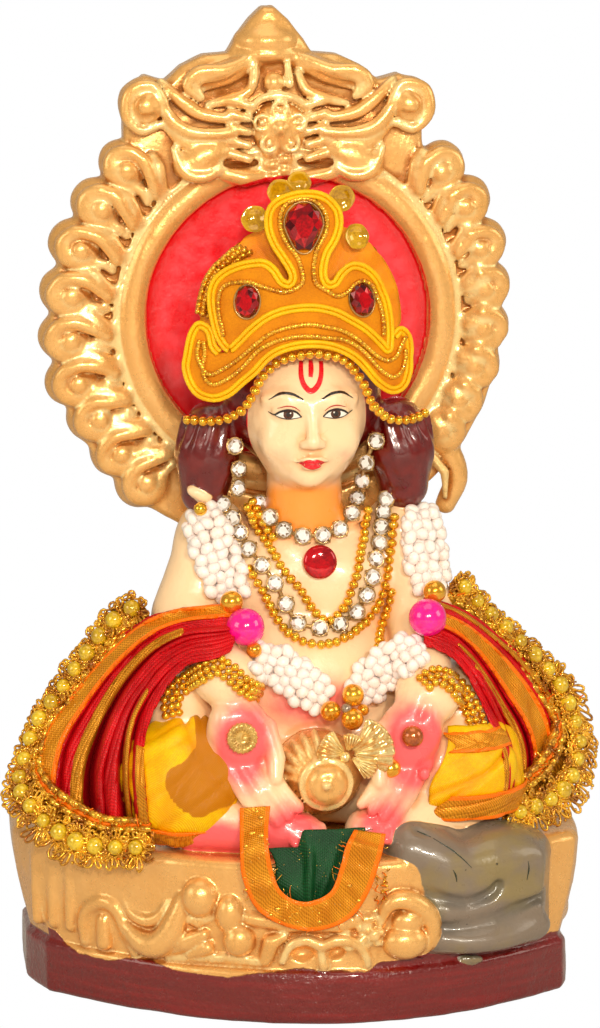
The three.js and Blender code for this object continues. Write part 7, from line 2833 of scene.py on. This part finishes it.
@dataclass
class Studio:
    """A plain white sweep, and the lights."""

    floor: Colour = (0.62, 0.60, 0.58)
    fill: float = 0.30
    lamps: tuple[tuple[str, tuple[float, float, float], float, float], ...] = (
        ("flash_left", (-70, -640, 300), 55, 1.5),
        ("flash_right", (90, -640, 340), 55, 1.7),
        ("front", (0, -700, 160), 520, 1.1),
        ("left_window", (-520, -260, 260), 260, 0.7),
        ("right_window", (520, -200, 300), 260, 0.6),
        ("above", (0, -60, 620), 400, 0.6),
    )
    lamplight: Colour = (1.0, 0.92, 0.78)

    def build(self) -> None:
        """Makes the sweep, the lights and the world."""
        self._sweep(self._white())
        for name, at, size, watts in self.lamps:
            self._light(name, at, size, watts)
        world = bpy.data.worlds.new("world")
        bpy.context.scene.world = world
        world.use_nodes = True
        back = world.node_tree.nodes["Background"]
        back.inputs["Color"].default_value = (*self.lamplight, 1)
        back.inputs["Strength"].default_value = self.fill
        view = bpy.context.scene.view_settings
        view.view_transform = "Standard"
        view.look = "None"

    def _white(self) -> bpy.types.Material:
        """Returns a floor that the camera sees as pure white."""
        s = Shader("studio_white")
        seen = s.node("ShaderNodeLightPath", out="Is Camera Ray")
        matt = s.node("ShaderNodeBsdfDiffuse", {}, {"Color": (*self.floor, 1.0)})
        glow = s.node("ShaderNodeEmission", {}, {"Color": (1, 1, 1, 1), "Strength": 1.0})
        mixed = s.node("ShaderNodeMixShader", {}, {0: seen, 1: matt, 2: glow})
        # From behind it can be looked through
        clear = s.node("ShaderNodeBsdfTransparent", {}, {"Color": (1, 1, 1, 1)})
        behind = s.node("ShaderNodeNewGeometry", out="Backfacing")
        shown = s.node("ShaderNodeMixShader", {}, {0: behind, 1: mixed, 2: clear})
        s.node("ShaderNodeOutputMaterial", {}, {"Surface": shown})
        return s.material

    def _sweep(self, finish: bpy.types.Material) -> None:
        """Makes the floor and the backdrop in one curved sheet."""
        profile = [(-1500, 0), (250, 0)]
        profile += [(250 + 250 * math.sin(t), 250 - 250 * math.cos(t)) for t in np.linspace(0.1, math.pi / 2, 10)]
        profile += [(500, 1600)]
        points = [(x, y, z - 0.05) for y, z in profile for x in (-1600, 1600)]
        mesh = bpy.data.meshes.new("sweep")
        count = len(profile)
        faces = [(2 * k, 2 * k + 1, 2 * k + 3, 2 * k + 2) for k in range(count - 1)]
        mesh.from_pydata([tuple(c * MM for c in p) for p in points], [], faces)
        mesh.shade_smooth()
        mesh.materials.append(finish)
        sweep = bpy.data.objects.new("sweep", mesh)
        bpy.context.scene.collection.objects.link(sweep)

    def _light(self, name: str, at: Point, size: float, watts: float) -> None:
        """Makes a square light that looks at the object."""
        data = bpy.data.lights.new(name, "AREA")
        data.size, data.energy, data.color = size * MM, watts, self.lamplight
        lamp = bpy.data.objects.new(name, data)
        # The wide lamp would lie on every varnished face as a white haze
        lamp.visible_glossy = name != "front"
        bpy.context.scene.collection.objects.link(lamp)
        lamp.location = Vector(at) * MM
        aim = Vector((0, -5, 80)) * MM - lamp.location
        lamp.rotation_euler = aim.to_track_quat("-Z", "Y").to_euler()


def main() -> None:
    """Builds the idol around its frame."""
    logging.basicConfig(level=logging.INFO, format="%(name)s %(message)s")
    SHOT.place()
    Studio().build()
    casting = Casting()
    casting.build(PaintedPlaster().material())
    for kind in (Scratches, FacePaintwork, Crown, Jewels, Garlands, KneeCloths, Apron, Shawls, Laces):
        kind(casting).build()


if __name__ == "__main__":
    main()
